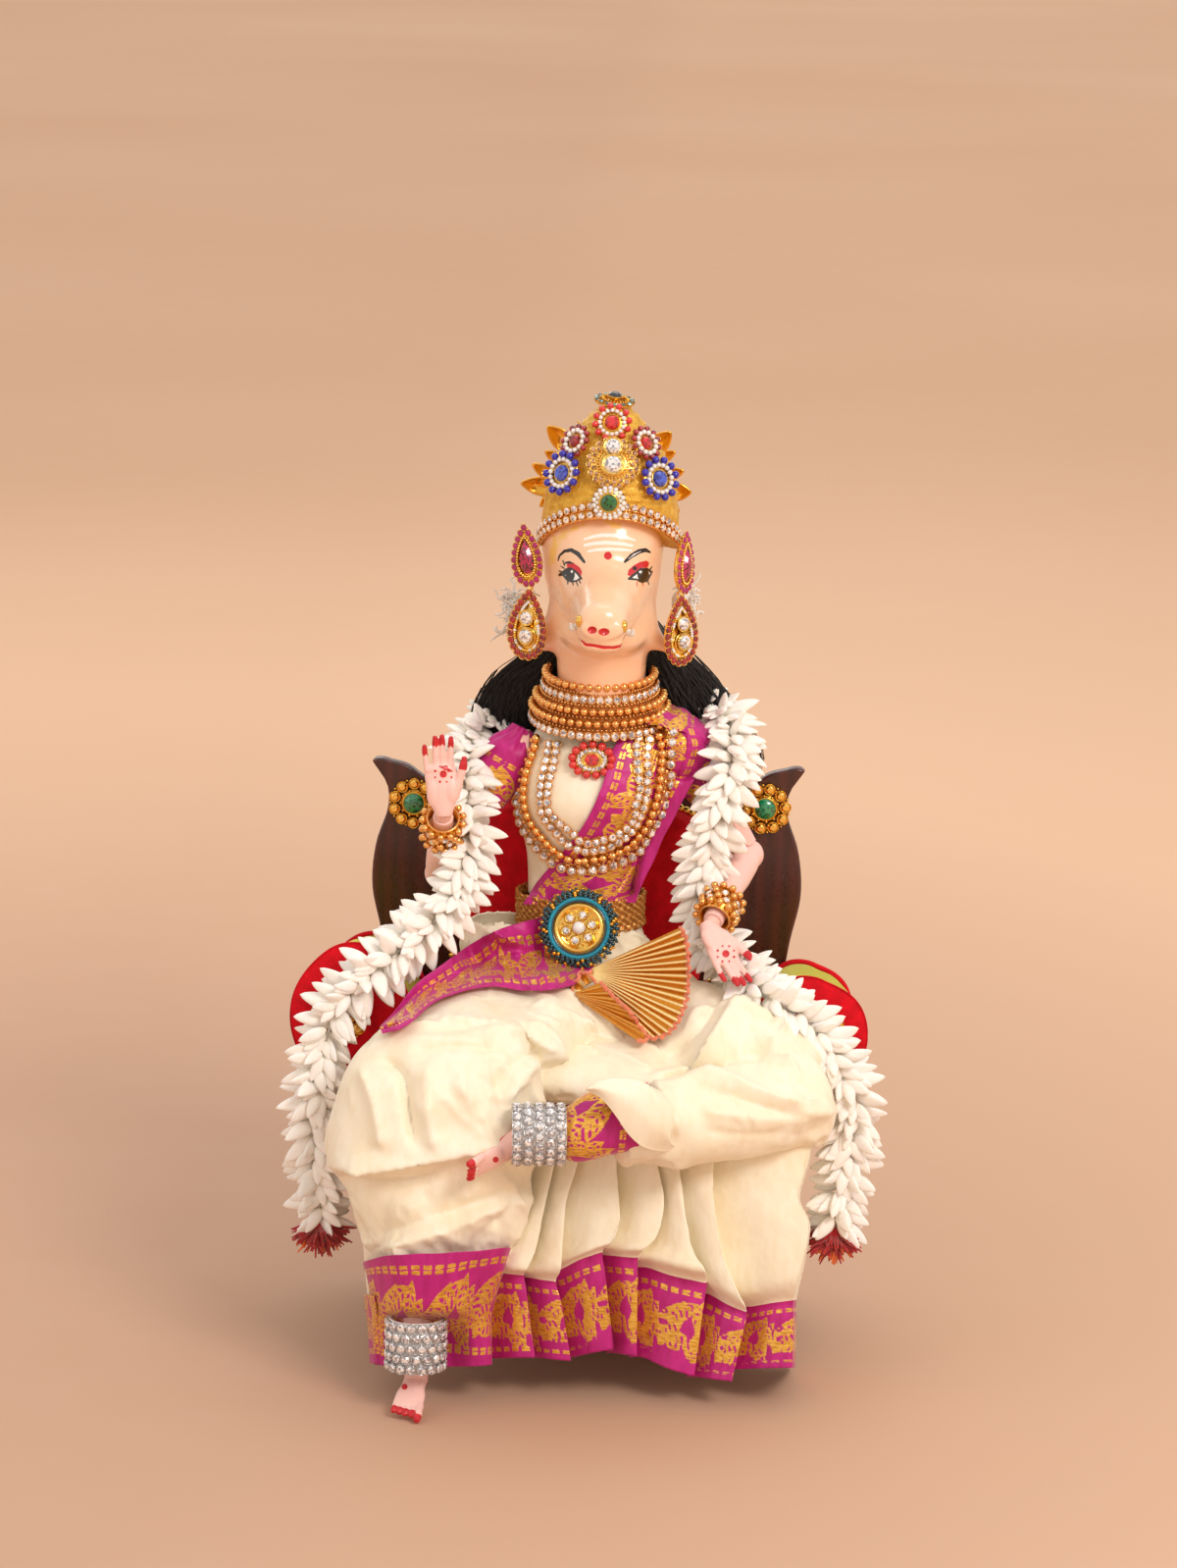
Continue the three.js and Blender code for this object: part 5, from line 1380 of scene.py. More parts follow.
# right eye of the picture
mark("red", poly_dist(q, [(968, 492), (980, 452), (1018, 420), (1062, 396), (1112, 384), (1134, 400), (1122, 434), (1066, 442), (1016, 478), (992, 502)]))
mark("white", poly_dist(q, [(1000, 516), (1040, 482), (1080, 456), (1130, 462), (1142, 492), (1110, 536), (1060, 540), (1020, 522)]))
mark("black", oval_dist(q, (1090, 496), 43, 49))
mark("black", seg_dist(q, [(978, 522), (1020, 490), (1066, 452), (1118, 446), (1152, 474)], [5, 7, 7, 6, 5]))
mark("black", seg_dist(q, [(978, 522), (1034, 526), (1080, 546), (1120, 536), (1148, 486)], [5, 5, 6, 5, 4]))
mark("black", oval_dist(q, (1025, 442), 14, 12))
for a_, b_ in (((1120, 536), (1134, 566)), ((1148, 474), (1160, 462)), ((1140, 452), (1156, 430))):
    mark("black", seg_dist(q, [a_, b_], [3, 1.5]))
for a_, b_ in (((1040, 548), (1040, 576)), ((1085, 556), (1086, 576))):
    mark("red", seg_dist(q, [a_, b_], [3, 1.5]))
# painted highlights in both eyes
mark("shine", oval_dist(q, (545, 466), 9, 12))
mark("shine", oval_dist(q, (1068, 470), 12, 10))
mark("red", oval_dist(q, (700, 912), 34, 27), front & (v[:, 1] < -37))
mark("red", oval_dist(q, (790, 926), 40, 27), front & (v[:, 1] < -37))
mark("red", seg_dist(q, mouth, [5, 11, 11, 12, 10, 11, 5]), front & (v[:, 1] < -20))
mark("yellow", seg_dist(q, [(380, 420), (392, 320), (440, 220), (530, 150), (640, 104)], [22, 30, 34, 30, 14]))
mark("yellow", seg_dist(q, [(820, 90), (880, 112)], [22, 26]))
mark("yellow", seg_dist(q, [(1228, 300), (1240, 420)], [14, 14]))
# painted shade, tinted as blush: warmer and darker toward the sides of the face, under the crown and under the jaw,
# where shade falls
blush = np.clip(1 - (18.5 - np.abs(v[:, 0] - 5)) / 5, 0, 1) * 0.5 + np.clip((v[:, 2] - 258) / 6, 0, 1) * 0.5 + np.clip((226 - v[:, 2]) / 10, 0, 1) * 0.4
b = Build().add(v, f, blush=np.clip(blush, 0, 1), **paint)
head_obj = b.make("head_skin", m_face, "head", "head", "painted_face")
head_tree = bvh(v, f)

b = Build()
for p_, d_, R_ in (((-2.2, -37.6, 235.2), (0.9, -0.25, 0.1), 1.35), ((11.0, -37.6, 233.9), (-0.9, -0.25, 0.12), 1.5)):
    m = facing(p_, d_)
    b.put(_torus(R_, 0.52, 24, 10), scaled(m, 1, 1, 1.7), 0)
    bead(b, facing(np.array(p_) + (0, -1.5, 0.4), (0, -1, 0.2)), 0.5, 0)
for s, base in ((-1, (-3.3, -34.6, 233.0)), (1, (12.4, -34.6, 231.6))):
    base = np.array(base)
    b.add(*tube([base, base + (s * 1.2, -1.4, -0.1), base + (s * 1.7, -2.6, 1.4)], [1.15, 0.95, 0.3], 12, 12), mat=1)
b.make("nose_rings_and_tusks", [m_gold, m_white_bead], "head")

# ---- crown ------------------------------------------------------------------------
CROWN = [[5, 4.5, 244, 20, 20.5], [5, 4.2, 252, 21.4, 21], [5.2, 4, 262, 21, 20.6], [5.4, 4, 272, 19.6, 19], [5.6, 4, 281, 16.2, 15.6], [5.7, 4, 288, 11.6, 11.2], [5.8, 4, 293, 7.4, 7.2], [5.8, 4, 296, 4.4, 4.2]]


def brim(y):
    """The crown's lower edge arches up over the brow."""
    y = np.asarray(y, float)
    return 252.6 - 0.66 * np.minimum(y, 1.5) - 0.12 * np.maximum(y - 1.5, 0)


def crown_at(a, z, lift=0.0):
    t = np.interp(z, [r[2] for r in CROWN], range(len(CROWN)))
    r = stack_row(CROWN, t)
    return np.array([r[0] + math.sin(a) * (r[3] + lift), r[1] - math.cos(a) * (r[4] + lift), z])


rows_ = []
zs = np.linspace(0, 1, 46)
for s in zs:
    ring_ = []
    for k in range(96):
        a = 2 * math.pi * k / 96
        c0 = crown_at(a, 257)
        z0_ = float(brim(c0[1]))
        z = z0_ + (296 - z0_) * s
        ring_.append(crown_at(a, z))
    rows_.append(ring_)
v = np.array(rows_).reshape(-1, 3)
c = np.array([5.4, 4, 0])
radial = (v - c) * (1, 1, 0)
radial /= np.maximum(np.linalg.norm(radial, axis=1), 1e-6)[:, None]
ribs = 0.35 * np.sin(v[:, 2] * 2.6 + 1.2 * fbm(v, 6, 3)) * smoothstep(262, 268, v[:, 2])
v = v + radial * (0.45 * fbm(v, 2.6, 7) + ribs)[:, None]
nr = len(zs)
inner_ = v[:96] * 1.0
inner_ = inner_ - radial[:96] * 2.0 + (0, 0, 0.2)
top_ = np.array([[5.8, 4, 296.6]])
cap_ = np.array([[5.4, 4, 259.0]])
v = np.vstack([v, top_, inner_, cap_])
f = [q_ for q_ in grid_faces(nr, 96, True)] + [(nr * 96, (nr - 1) * 96 + j, (nr - 1) * 96 + (j + 1) % 96) for j in range(96)]
f += [((j + 1) % 96, j, nr * 96 + 1 + j, nr * 96 + 1 + (j + 1) % 96) for j in range(96)]
f += [(nr * 96 + 97, nr * 96 + 1 + (j + 1) % 96, nr * 96 + 1 + j) for j in range(96)]
v, f = oriented(v, f)
Build().add(v, f).make("crown_dome", m_crown, "head", "crown", "crown_gold")

# crest of leaf points behind the crown
half_ = [[13, 262], [19, 261.6], [25.5, 264.5], [20, 267], [24.5, 271.5], [18, 272.5], [21.5, 277.5], [15.5, 277.5], [18.5, 284.5], [11.5, 281.5], [12.5, 289.5], [6, 285], [0, 290]]
outline_ = [(x * 0.86 + 4.2, (z - 262) * 0.94 + 262) for x, z in half_] + [(-x * 0.86 + 4.2, (z - 262) * 0.94 + 262) for x, z in half_[::-1][1:]]
v, f = oriented(*slab(outline_, 25.7, 26.9, 0.35, 3))
b = Build().add(v, f, 0)


def leaf(tip, base, half_w):
    tip, base = at_y(*tip, 25.2), at_y(*base, 25.2)
    tip = tip + unit(tip - base) * 1.1
    w = half_w * 0.307 * 1.22
    d = unit(tip - base)
    nrm = np.array([0, -1.0, 0])
    s = unit(np.cross(d, nrm))
    long = np.linalg.norm(tip - base) * 1.35
    base = tip - d * long
    t = np.linspace(0, 1, 18)
    prof = w * np.sin(np.pi * np.clip(t * 0.9 + 0.1, 0, 1)) ** 0.75 * (1 - 0.25 * t)
    prof[-1] = 0.05
    loop = np.vstack([base + d * (long * t)[:, None] + s * prof[:, None], (base + d * (long * t)[:, None] - s * prof[:, None])[::-1]])
    b.add(*tube(np.vstack([loop, loop[:1]]), [0.42, 0.42], 8, 70, (0, 1, 0)), mat=0)
    # dished blade between the rims
    rows = []
    for k, x_ in enumerate(np.linspace(-1, 1, 9)):
        rows.append(base + d * (long * t)[:, None] + s * (prof * x_)[:, None] + nrm * (0.15 - 0.8 * (1 - x_ * x_) * np.sin(np.pi * t))[:, None])
    back = [r_ - nrm * 0.9 * 1.0 for r_ in rows]
    g = np.vstack(rows)
    gb = np.vstack([base + d * (long * t)[:, None] + s * (prof * x_)[:, None] - nrm * 0.9 for x_ in np.linspace(-1, 1, 9)])
    k_ = len(g)
    fa = grid_faces(9, 18) + [tuple(i + k_ for i in q_[::-1]) for q_ in grid_faces(9, 18)]
    rim_ = list(range(0, 18)) + [18 * i + 17 for i in range(1, 9)] + [18 * 8 + i for i in range(16, -1, -1)] + [18 * i for i in range(7, 0, -1)]
    fa += [(rim_[(i + 1) % len(rim_)], rim_[i], rim_[i] + k_, rim_[(i + 1) % len(rim_)] + k_) for i in range(len(rim_))]
    b.add(*oriented(np.vstack([g, gb]), fa), mat=0)


for tip, base, hw in (((535.3, 493), (557, 496.5), 8), ((546.5, 475.2), (558.3, 482.3), 5), ((559.5, 462.2), (569, 468), 4.5), ((561.3, 437.5), (576, 451.6), 8.5),
                      ((553.6, 513), (560, 506), 3.5), ((681, 443.4), (670.4, 454), 8), ((684.6, 462.2), (675, 467), 4.5), ((700.5, 501.8), (687, 501), 7.5),
                      ((693, 481), (682, 484), 5), ((689.3, 519), (683, 512), 3.5)):
    leaf(tip, base, hw)
b.make("crest_leaves", [m_mirror_gold], "head", "petal_crest", "mirror_gold")


# ---- crown brooches ----------------------------------------------------------------
def flower_brooch(b, m, r, bead_m, pearl_m, gem_m, gold_m, n_out=12, n_in=15, oval=1.0, gem_r=0.345, pair=True):
    """Round beads outside, a ring of small pearls, and a stone in a gold collar."""
    b.put(lathe([(0, 0), (r * 0.78, 0), (r * 0.84, 0.3), (r * 0.7, 0.75), (0, 0.9)], 36), scaled(m, 1, oval, 1), gold_m)
    rb = r * math.sin(math.pi / n_out) * 0.66
    for k, q in enumerate(around(m, r - rb, n_out, 0.13, 0.35, oval)):
        bead(b, q, rb, bead_m)
    rp = r * 0.60 * math.sin(math.pi / n_in) * 0.94
    for q in around(m, r * 0.60, n_in, 0.0, 0.75, oval):
        bead(b, q, rp, pearl_m)
    b.put(_torus(r * gem_r * 1.14, r * 0.04, 28, 8), scaled(np.column_stack([m[:, 0], m[:, 1], m[:, 2], at(m, 0, 0, 1.15)]), 1, oval, 1), gold_m)
    g = np.column_stack([m[:, 0] * r * gem_r * 1.1, m[:, 1] * r * gem_r * 1.1 * oval, m[:, 2] * r * gem_r * 1.25, at(m, 0, 0, 1.1)])
    b.put(GEM_FINE, g, gem_m, smooth=False)


def crown_frame(a, z, lift, slope=0.0, spin=0.0):
    p = crown_at(a, z, lift)
    nrm = np.array([math.sin(a) * math.cos(slope), -math.cos(a) * math.cos(slope), math.sin(slope)])
    return facing(p, nrm, spin=spin)


mats_ = [m_gold, m_white_bead, m_pearl]
b = Build()
m = crown_frame(0, 268.5, 0.6, 0.05)
b.put(lathe([(0, 0), (4.6, 0), (5.2, 0.4), (4.2, 1.3), (0, 1.5)], 32), m, 0)
for q in around(m, 4.55, 17, 0, 0.6):
    bead(b, q, 0.78, 1)
for q in around(m, 3.6, 15, 0.2, 1.3):
    bead(b, q, 0.55, 1)
b.put(_torus(2.75, 0.32, 30, 8), np.column_stack([m[:, :3], at(m, 0, 0, 1.9)]), 0)
b.put(GEM_FINE, np.column_stack([m[:, :3] * 2.7, at(m, 0, 0, 1.9)]), 2, smooth=False)
b.make("brow_brooch_stones", [m_gold, m_white_bead, m_green_stone], "head", "brow_brooch", "green_stone")

b = Build()
m = crown_frame(math.radians(2), 280, 1.4, 0.42)
b.put(lathe([(0, -0.6), (7.4, -0.6), (8.0, 0.1), (7.2, 0.9), (0, 1.1)], 40), m, 0)
for k, q in enumerate(around(m, 7.35, 18, 0.1, 0.35)):
    stone(b, q, 0.92, 1, 0, 2)
for k, q in enumerate(around(m, 6.1, 18, 0.27, 0.75)):
    stone(b, q, 0.72, 1, 0, 2)
# coiled wire ring
coil = []
for k in range(361):
    a = 2 * math.pi * k / 360
    w_ = 2 * math.pi * 30 * k / 360
    coil.append(at(m, (4.85 + 0.42 * math.cos(w_)) * math.cos(a), (4.85 + 0.42 * math.cos(w_)) * math.sin(a), 1.35 + 0.42 * math.sin(w_)))
b.add(*tube(coil, [0.2, 0.2], 6, 720), mat=0)
b.put(lathe([(3.8, 0.9), (3.9, 1.7), (3.5, 2.1), (3.1, 1.7), (3.1, 0.9)], 36), np.column_stack([m[:, :3], at(m, 0, -0.8, 0)]), 0)
stone(b, np.column_stack([m[:, :3], at(m, 0, -1.1, 1.3)]), 3.1, 2, 0, 0, True)
stone(b, np.column_stack([m[:, :3], at(m, 0, 4.7, 1.3)]), 2.75, 2, 0, 0, True)
b.make("crown_gold_brooch_stones", [m_gold, m_champagne, m_clear], "head", "crown_brooch_gold", "clear_stone")

b = Build()
m = facing(crown_at(math.radians(-1), 291.5, 2.6), (0, -0.93, 0.36))
flower_brooch(b, m, 6.3, 0, 1, 2, 3, 12, 16)
for a_, z_, s_ in ((-43, 285.4, -1), (39, 285.4, 1)):
    flower_brooch(b, facing(crown_at(math.radians(a_), z_, 2.2), (s_ * 0.6, -0.64, 0.44)), 5.7, 4, 1, 4 if s_ < 0 else 2, 3, 12, 12)
b.make("crown_red_brooch_beads", [m_red_bead, m_pearl, m_red_stone, m_gold_deep, m_maroon_stone], "head", "crown_brooch_red", "red_stone")
for side, a_, z_ in (("right", -46, 276), ("left", 45.5, 275)):
    b = Build()
    s_ = -1 if side == "right" else 1
    flower_brooch(b, facing(crown_at(math.radians(a_), z_, 1.5), (s_ * 0.6, -0.76, 0.26)), 7.1, 0, 1, 2, 3, 12, 16)
    b.make(f"crown_blue_brooch_beads_{side}", [m_blue_bead, m_pearl, m_blue_stone, m_gold], "head", f"crown_brooch_blue_{side}", "blue_stone")
b = Build()
m = facing((5.8, 3.2, 296.6), (0.1, -0.16, 1))
b.put(lathe([(0, -1.2), (2.2, -1.2), (2.4, -0.4), (6.0, 0.0), (6.3, 0.5), (0, 0.9)], 36), m, 0)
for k, q in enumerate(around(m, 5.6, 14, 0.2, 0.4)):
    stone(b, q, 0.95, 1 if k % 2 else 4, 0, 2)
coil = []
for k in range(301):
    a = 2 * math.pi * k / 300
    w_ = 2 * math.pi * 26 * k / 300
    coil.append(at(m, (3.9 + 0.45 * math.cos(w_)) * math.cos(a), (3.9 + 0.45 * math.cos(w_)) * math.sin(a), 1.1 + 0.45 * math.sin(w_)))
b.add(*tube(coil, [0.22, 0.22], 6, 600), mat=0)
stone(b, np.column_stack([m[:, :3], at(m, 0, 0, 0.9)]), 2.4, 2, 0, 0, True)
b.make("crown_top_brooch_stones", [m_gold_deep, m_aqua_stone, m_dark_stone, m_gold, m_teal_bead], "head", "crown_top_brooch", "blue_stone")

# two rows of stones along the brim
b = Build()
for row, (up_, r_) in enumerate(((1.2, 1.16), (4.0, 1.16))):
    pts_ = []
    for a in np.radians(np.linspace(-88, 88, 200)):
        base = crown_at(a, 257, 0)
        z = float(brim(base[1])) + up_
        pts_.append(crown_at(a, z, 0.25))
    pts_ = evenly(np.array(pts_), 27)
    for k, p_ in enumerate(pts_):
        nrm = p_ - np.array([5.3, 4, p_[2]])
        a = math.atan2(nrm[0], -nrm[1])
        if abs(a) < 0.2 and row == 1:
            continue
        stone(b, facing(p_, unit(nrm)), r_, 1, 0, 4)
    cord_ = pts_ + np.array([0, 0, -1.1])
    b.add(*tube(cord_, [0.42, 0.42], 7, 90), mat=0)
b.make("crown_brim_stones", [m_rose, m_clear], "head")


# ---- ear brooches and drops --------------------------------------------------------
def pear(n, w, h, turn=0.0):
    a = np.linspace(0, 2 * np.pi, n, endpoint=False) + turn
    return np.stack([w / 2 * 1.18 * np.sin(a) * np.abs(np.sin(a / 2)) ** 0.75, h / 2 * np.cos(a)], 1)


def pear_even(n, w, h):
    o = pear(241, w, h)
    return evenly(np.vstack([o, o[:1]]), n + 1)[:-1]


def pear_solid(b, m, w, h, profile, mat, smooth=True):
    """Stacked pear outlines: profile of (scale, height)."""
    o = pear_even(36, w, h)
    rows = [np.column_stack([o * s, np.full(36, z)]) for s, z in profile]
    v = np.vstack(rows + [[[0, -h * 0.08, profile[-1][1]]], [[0, -h * 0.08, profile[0][1]]]])
    k = len(profile)
    f = grid_faces(k, 36, True) + [(k * 36, (k - 1) * 36 + j, (k - 1) * 36 + (j + 1) % 36) for j in range(36)] + [(k * 36 + 1, (j + 1) % 36, j) for j in range(36)]
    v, f = oriented(v, f)
    b.add(v @ m[:, :3].T + m[:, 3], f, mat, smooth)


for side, p_, n_, spin in (("right", (-19.8, -4.6, 249.6), (-0.52, -0.85, 0.02), 0.14), ("left", (28.2, -3.2, 248.2), (0.9, -0.43, 0.05), -0.12)):
    b = Build()
    m = facing(p_, n_, spin=spin)
    pear_solid(b, m, 10.4, 17.6, [(0.92, -0.9), (1.0, -0.5), (1.0, 0.2), (0.9, 0.7), (0.0, 0.9)], 0)
    for x, y in pear_even(19, 10.0, 17.4):
        stone(b, np.column_stack([m[:, :3], at(m, x, y, 0.3)]), 1.12, 1, 0, 2)
    for x, y in pear_even(34, 7.0, 12.6):
        bead(b, np.column_stack([m[:, :3], at(m, x, y - 0.2, 0.8)]), 0.5, 0)
    pear_solid(b, np.column_stack([m[:, :3], at(m, 0, -0.3, 0)]), 5.6, 10.6, [(1.0, 0.6), (1.0, 1.2), (0.62, 2.3), (0.3, 2.5), (0.0, 2.5)], 2, False)
    b.make(f"ear_brooch_stones_{side}", [m_gold, m_pink_bead, m_pink_stone], "head", f"ear_brooch_{side}", "pink_stone")
for side, p_, n_, w_, h_, spin in (("right", (-19.2, -6.5, 228.4), (-0.4, -0.92, 0), 13.2, 21.4, -0.05), ("left", (27.6, -7.5, 227.8), (0.66, -0.75, 0), 13.2, 21.4, 0.03)):
    b = Build()
    m = facing(p_, n_, spin=spin)
    pear_solid(b, m, w_ - 1, h_ - 1.2, [(0.94, -1.1), (1.0, -0.7), (1.0, 0.1), (0.92, 0.5), (0.0, 0.6)], 0)
    for x, y in pear_even(23, w_ - 1.5, h_ - 1.4):
        stone(b, np.column_stack([m[:, :3], at(m, x, y, 0.2)]), 1.22, 1, 0, 2)
    for x, y in pear_even(46, w_ - 4.6, h_ - 6.2):
        bead(b, np.column_stack([m[:, :3], at(m, x, y - 0.5, 0.5)]), 0.52, 3 if (x * 7 + y) % 2 > 1 else 0)
    b.put(lathe([(3.1, 0.5), (3.2, 1.3), (2.8, 1.6), (2.5, 1.2), (2.5, 0.5)], 32), np.column_stack([m[:, :3], at(m, 0.2, -3.6, 0)]), 0)
    stone(b, np.column_stack([m[:, :3], at(m, 0.2, -3.4, 0.7)]), 2.5, 2, 0, 0, True)
    stone(b, np.column_stack([m[:, :3], at(m, 0, 2.3, 0.7)]), 2.3, 2, 0, 0, True)
    # the ring it hangs from
    b.put(_torus(1.1, 0.3, 20, 7), facing(at(m, 0, h_ / 2 + 0.3, 0), m[:, 0]), 0)
    b.make(f"drop_earring_stones_{side}", [m_gold, m_maroon_stone, m_clear, m_pearl], f"{side}_drop_earring", f"drop_earring_{side}", "red_stone")

# pierced flaps under the earrings carry white thread tufts
for side, c_, k_ in (("right", (-23.5, 8, 229), 70), ("left", (30.5, 9, 234), 18)):
    b = Build()
    c_ = np.array(c_, float)
    g_ = np.random.default_rng(5 if side == "right" else 6)
    s_ = -1 if side == "right" else 1
    for k in range(k_):
        p0 = c_ + np.clip(g_.normal(0, 1, 3), -1.4, 1.4) * (2.0, 1.6, 4.6 if side == "right" else 3.0)
        d0 = unit(np.array([s_ * 1.0, -0.4, 0.2]) + g_.normal(0, 0.9, 3))
        pts = [p0]
        for j in range(5):
            d0 = unit(d0 + g_.normal(0, 0.75, 3))
            pts.append(pts[-1] + d0 * (1.5 if side == "right" else 1.1))
        b.add(*tube(pts, [0.4, 0.36, 0.22], 6, 20), mat=0)
    core = ellipsoid(c_ - (s_ * 2.5, 0, 0), (3.4, 3.0, 7.0 if side == "right" else 4.0), 24, 18)
    cv = core[0] + 0.5 * fbm(core[0], 2.0, 9)[:, None] * unit((s_, 0.2, 0.3))
    b.add(cv, core[1], 0)
    b.make(f"thread_tuft_{side}", m_thread, "head")


# ---- clothes ----------------------------------------------------------------------
def c3(x, y, depth):
    """A point of the lap, from its place in the picture and its depth."""
    return at_y(280 + x / 2.529, 1000 + y / 2.529, depth)


def c6(x, y):
    return 500 + x / 6.533, 660 + y / 6.533


def to_c3(v):
    q = px(v)
    return np.stack([(q[:, 0] - 280) * 2.529, (q[:, 1] - 1000) * 2.529], 1)


def lofted(rows, ns, nt):
    """A smooth sheet through rows of points: nt rows of ns points."""
    rows = [spline(r, ns) if len(r) > 2 else evenly(np.asarray(r, float), ns) for r in rows]
    g = np.array(rows)
    t = np.linspace(0, len(rows) - 1, nt)
    i = np.clip(t.astype(int), 0, len(rows) - 2)
    f = (t - i)[:, None, None]
    p0, p1, p2, p3 = g[np.maximum(i - 1, 0)], g[i], g[i + 1], g[np.minimum(i + 2, len(rows) - 1)]
    return 0.5 * (2 * p1 + (p2 - p0) * f + (2 * p0 - 5 * p1 + 4 * p2 - p3) * f ** 2 + (3 * p1 - p0 - 3 * p2 + p3) * f ** 3)


def lofted_at(rows, ss, nt):
    """As lofted, where the points of each row stand at the same stations."""
    g = np.array(rows, float)
    k = g.shape[1]
    s = np.linspace(0, k - 1, ss)
    i = np.clip(s.astype(int), 0, k - 2)
    f = (s - i)[None, :, None]
    p0, p1, p2, p3 = g[:, np.maximum(i - 1, 0)], g[:, i], g[:, i + 1], g[:, np.minimum(i + 2, k - 1)]
    g = 0.5 * (2 * p1 + (p2 - p0) * f + (2 * p0 - 5 * p1 + 4 * p2 - p3) * f ** 2 + (3 * p1 - p0 - 3 * p2 + p3) * f ** 3)
    t = np.linspace(0, len(rows) - 1, nt)
    i = np.clip(t.astype(int), 0, len(rows) - 2)
    f = (t - i)[:, None, None]
    p0, p1, p2, p3 = g[np.maximum(i - 1, 0)], g[i], g[i + 1], g[np.minimum(i + 2, len(rows) - 1)]
    return 0.5 * (2 * p1 + (p2 - p0) * f + (2 * p0 - 5 * p1 + 4 * p2 - p3) * f ** 2 + (3 * p1 - p0 - 3 * p2 + p3) * f ** 3)


def arc(grid, axis):
    """Length along an axis of a grid of points, averaged over the other."""
    d = np.linalg.norm(np.diff(grid, axis=axis), axis=2)
    s = np.cumsum(d, axis=axis)
    pad_ = np.zeros((1, grid.shape[1]) if axis == 0 else (grid.shape[0], 1))
    return np.concatenate([pad_, s], axis=axis)


def ell(s, t, cs, ct, a, b_, turn):
    x, y = s - cs, t - ct
    c, si = math.cos(turn), math.sin(turn)
    u, w = (x * c + y * si) / a, (-x * si + y * c) / b_
    return (1 - np.sqrt(u * u + w * w)) * min(a, b_)


def leaf_weave(u, t, cs, ct, a, b_, turn, pitch=1.9):
    """A woven leaf: outline, midrib and slanted threads."""
    x, y = u - cs, t - ct
    c, si = math.cos(turn), math.sin(turn)
    p, w = x * c + y * si, -x * si + y * c
    q = np.clip(np.abs(p) / a, 0, 1)
    half = b_ * (1 - q ** 2.2) * (1 - 0.25 * p / a)
    d = np.minimum((half - np.abs(w)) * 0.8, (a - np.abs(p)) * 0.8)
    rim = np.minimum(d, 0.5 - d)
    hatch = 0.25 * pitch - np.abs(((p + 0.55 * np.abs(w)) % pitch) - pitch / 2)
    rib = np.minimum(0.2 - np.abs(w), d)
    return np.maximum(np.maximum(rim, np.minimum(d - 0.1, hatch)), rib)


def weave(s, t, w, phase=0.0, period=17.0):
    """Woven border: s along the hem, t up from the hem, w its width, in mm."""
    border = np.minimum(w - t, t + 5.0)
    k = np.full(np.shape(s), -3.0)
    for t0 in (0.11 * w, 0.85 * w):
        for o in (-0.45, 0.45):
            u = (s + phase) % 3.4
            k = np.maximum(k, np.minimum(0.33 - np.abs(t - t0 - o), np.minimum(u - 0.1, 2.5 - u)))
    u = (s + phase) % period
    h = 0.30 * w
    m0 = 0.48 * w
    k = np.maximum(k, leaf_weave(u, t, 3.6, m0, h * 1.12, h * 0.50, 1.0))
    k = np.maximum(k, leaf_weave(u, t, 7.4, m0 + 0.15 * w, h * 0.74, h * 0.33, 0.6))
    k = np.maximum(k, leaf_weave(u, t, 7.0, m0 - 0.16 * w, h * 0.72, h * 0.33, 0.15))
    for j in range(5):
        a = -1.15 + j * 0.62
        k = np.maximum(k, leaf_weave(u, t, 11.9 + 0.15 * w * math.cos(a), m0 - 0.02 * w + 0.19 * w * math.sin(a), 0.155 * w, 0.068 * w, a, 1.5))
    k = np.maximum(k, leaf_weave(u, t, 11.2, m0 - 0.25 * w, 0.13 * w, 0.06 * w, 2.4, 1.5))
    k = np.maximum(k, leaf_weave(u, t, 0.3, m0 - 0.12 * w, 0.14 * w, 0.06 * w, 1.9, 1.5))
    return border, k


def sheet_build(grid, border=None, zari=None, wrap=False, close=False):
    nt, ns = grid.shape[:2]
    attrs = {}
    if border is not None:
        attrs = {"border": np.asarray(border).ravel(), "zari": np.asarray(zari).ravel()}
    else:
        attrs = {"border": np.full(nt * ns, -3.0), "zari": np.full(nt * ns, -3.0)}
    return Build().add(grid.reshape(-1, 3), grid_faces(nt, ns, wrap), **attrs)


def cloth_piece(name, grids, replaces=(), thick=0.32, mats=None, body=ROOT, rim=True):
    """One or more sheets, thickened, in one piece."""
    b = Build()
    for g in grids:
        grid, border, zari = g if isinstance(g, tuple) else (g, None, None)
        s = sheet_build(grid, border, zari)
        b.add(s.v[0], s.f, border=s.a["border"][-1], zari=s.a["zari"][-1])
    me = modify(b.mesh(name), ("SOLIDIFY", {"thickness": thick * MM, "offset": 0.0}))
    for p in me.polygons:
        p.use_smooth = True
    return place(name, me, mats or m_silk, body, replaces)


def fold(q, line, height, w_left, w_right, taper=0.18):
    """Relief of one fold in picture coordinates: widths to the left and right of its line."""
    line = np.asarray(line, float)
    line = spline(line, 40) if len(line) > 2 else evenly(line, 30)
    best = np.full(len(q), 1e9)
    out = np.zeros(len(q))
    n_ = len(line) - 1
    for k in range(n_):
        a, d = line[k], line[k + 1] - line[k]
        t = np.clip(((q - a) @ d) / (d @ d), 0, 1)
        r = q - a - t[:, None] * d
        dist = np.linalg.norm(r, axis=1)
        side = d[0] * r[:, 1] - d[1] * r[:, 0]
        w_ = np.where(side > 0, w_right, w_left)
        along_ = (k + t) / n_
        h = np.exp(-(dist / w_) ** 1.2) * smoothstep(0, taper, along_) * smoothstep(0, taper, 1 - along_)
        m_ = dist < best
        best[m_] = dist[m_]
        out[m_] = h[m_]
    return out * height


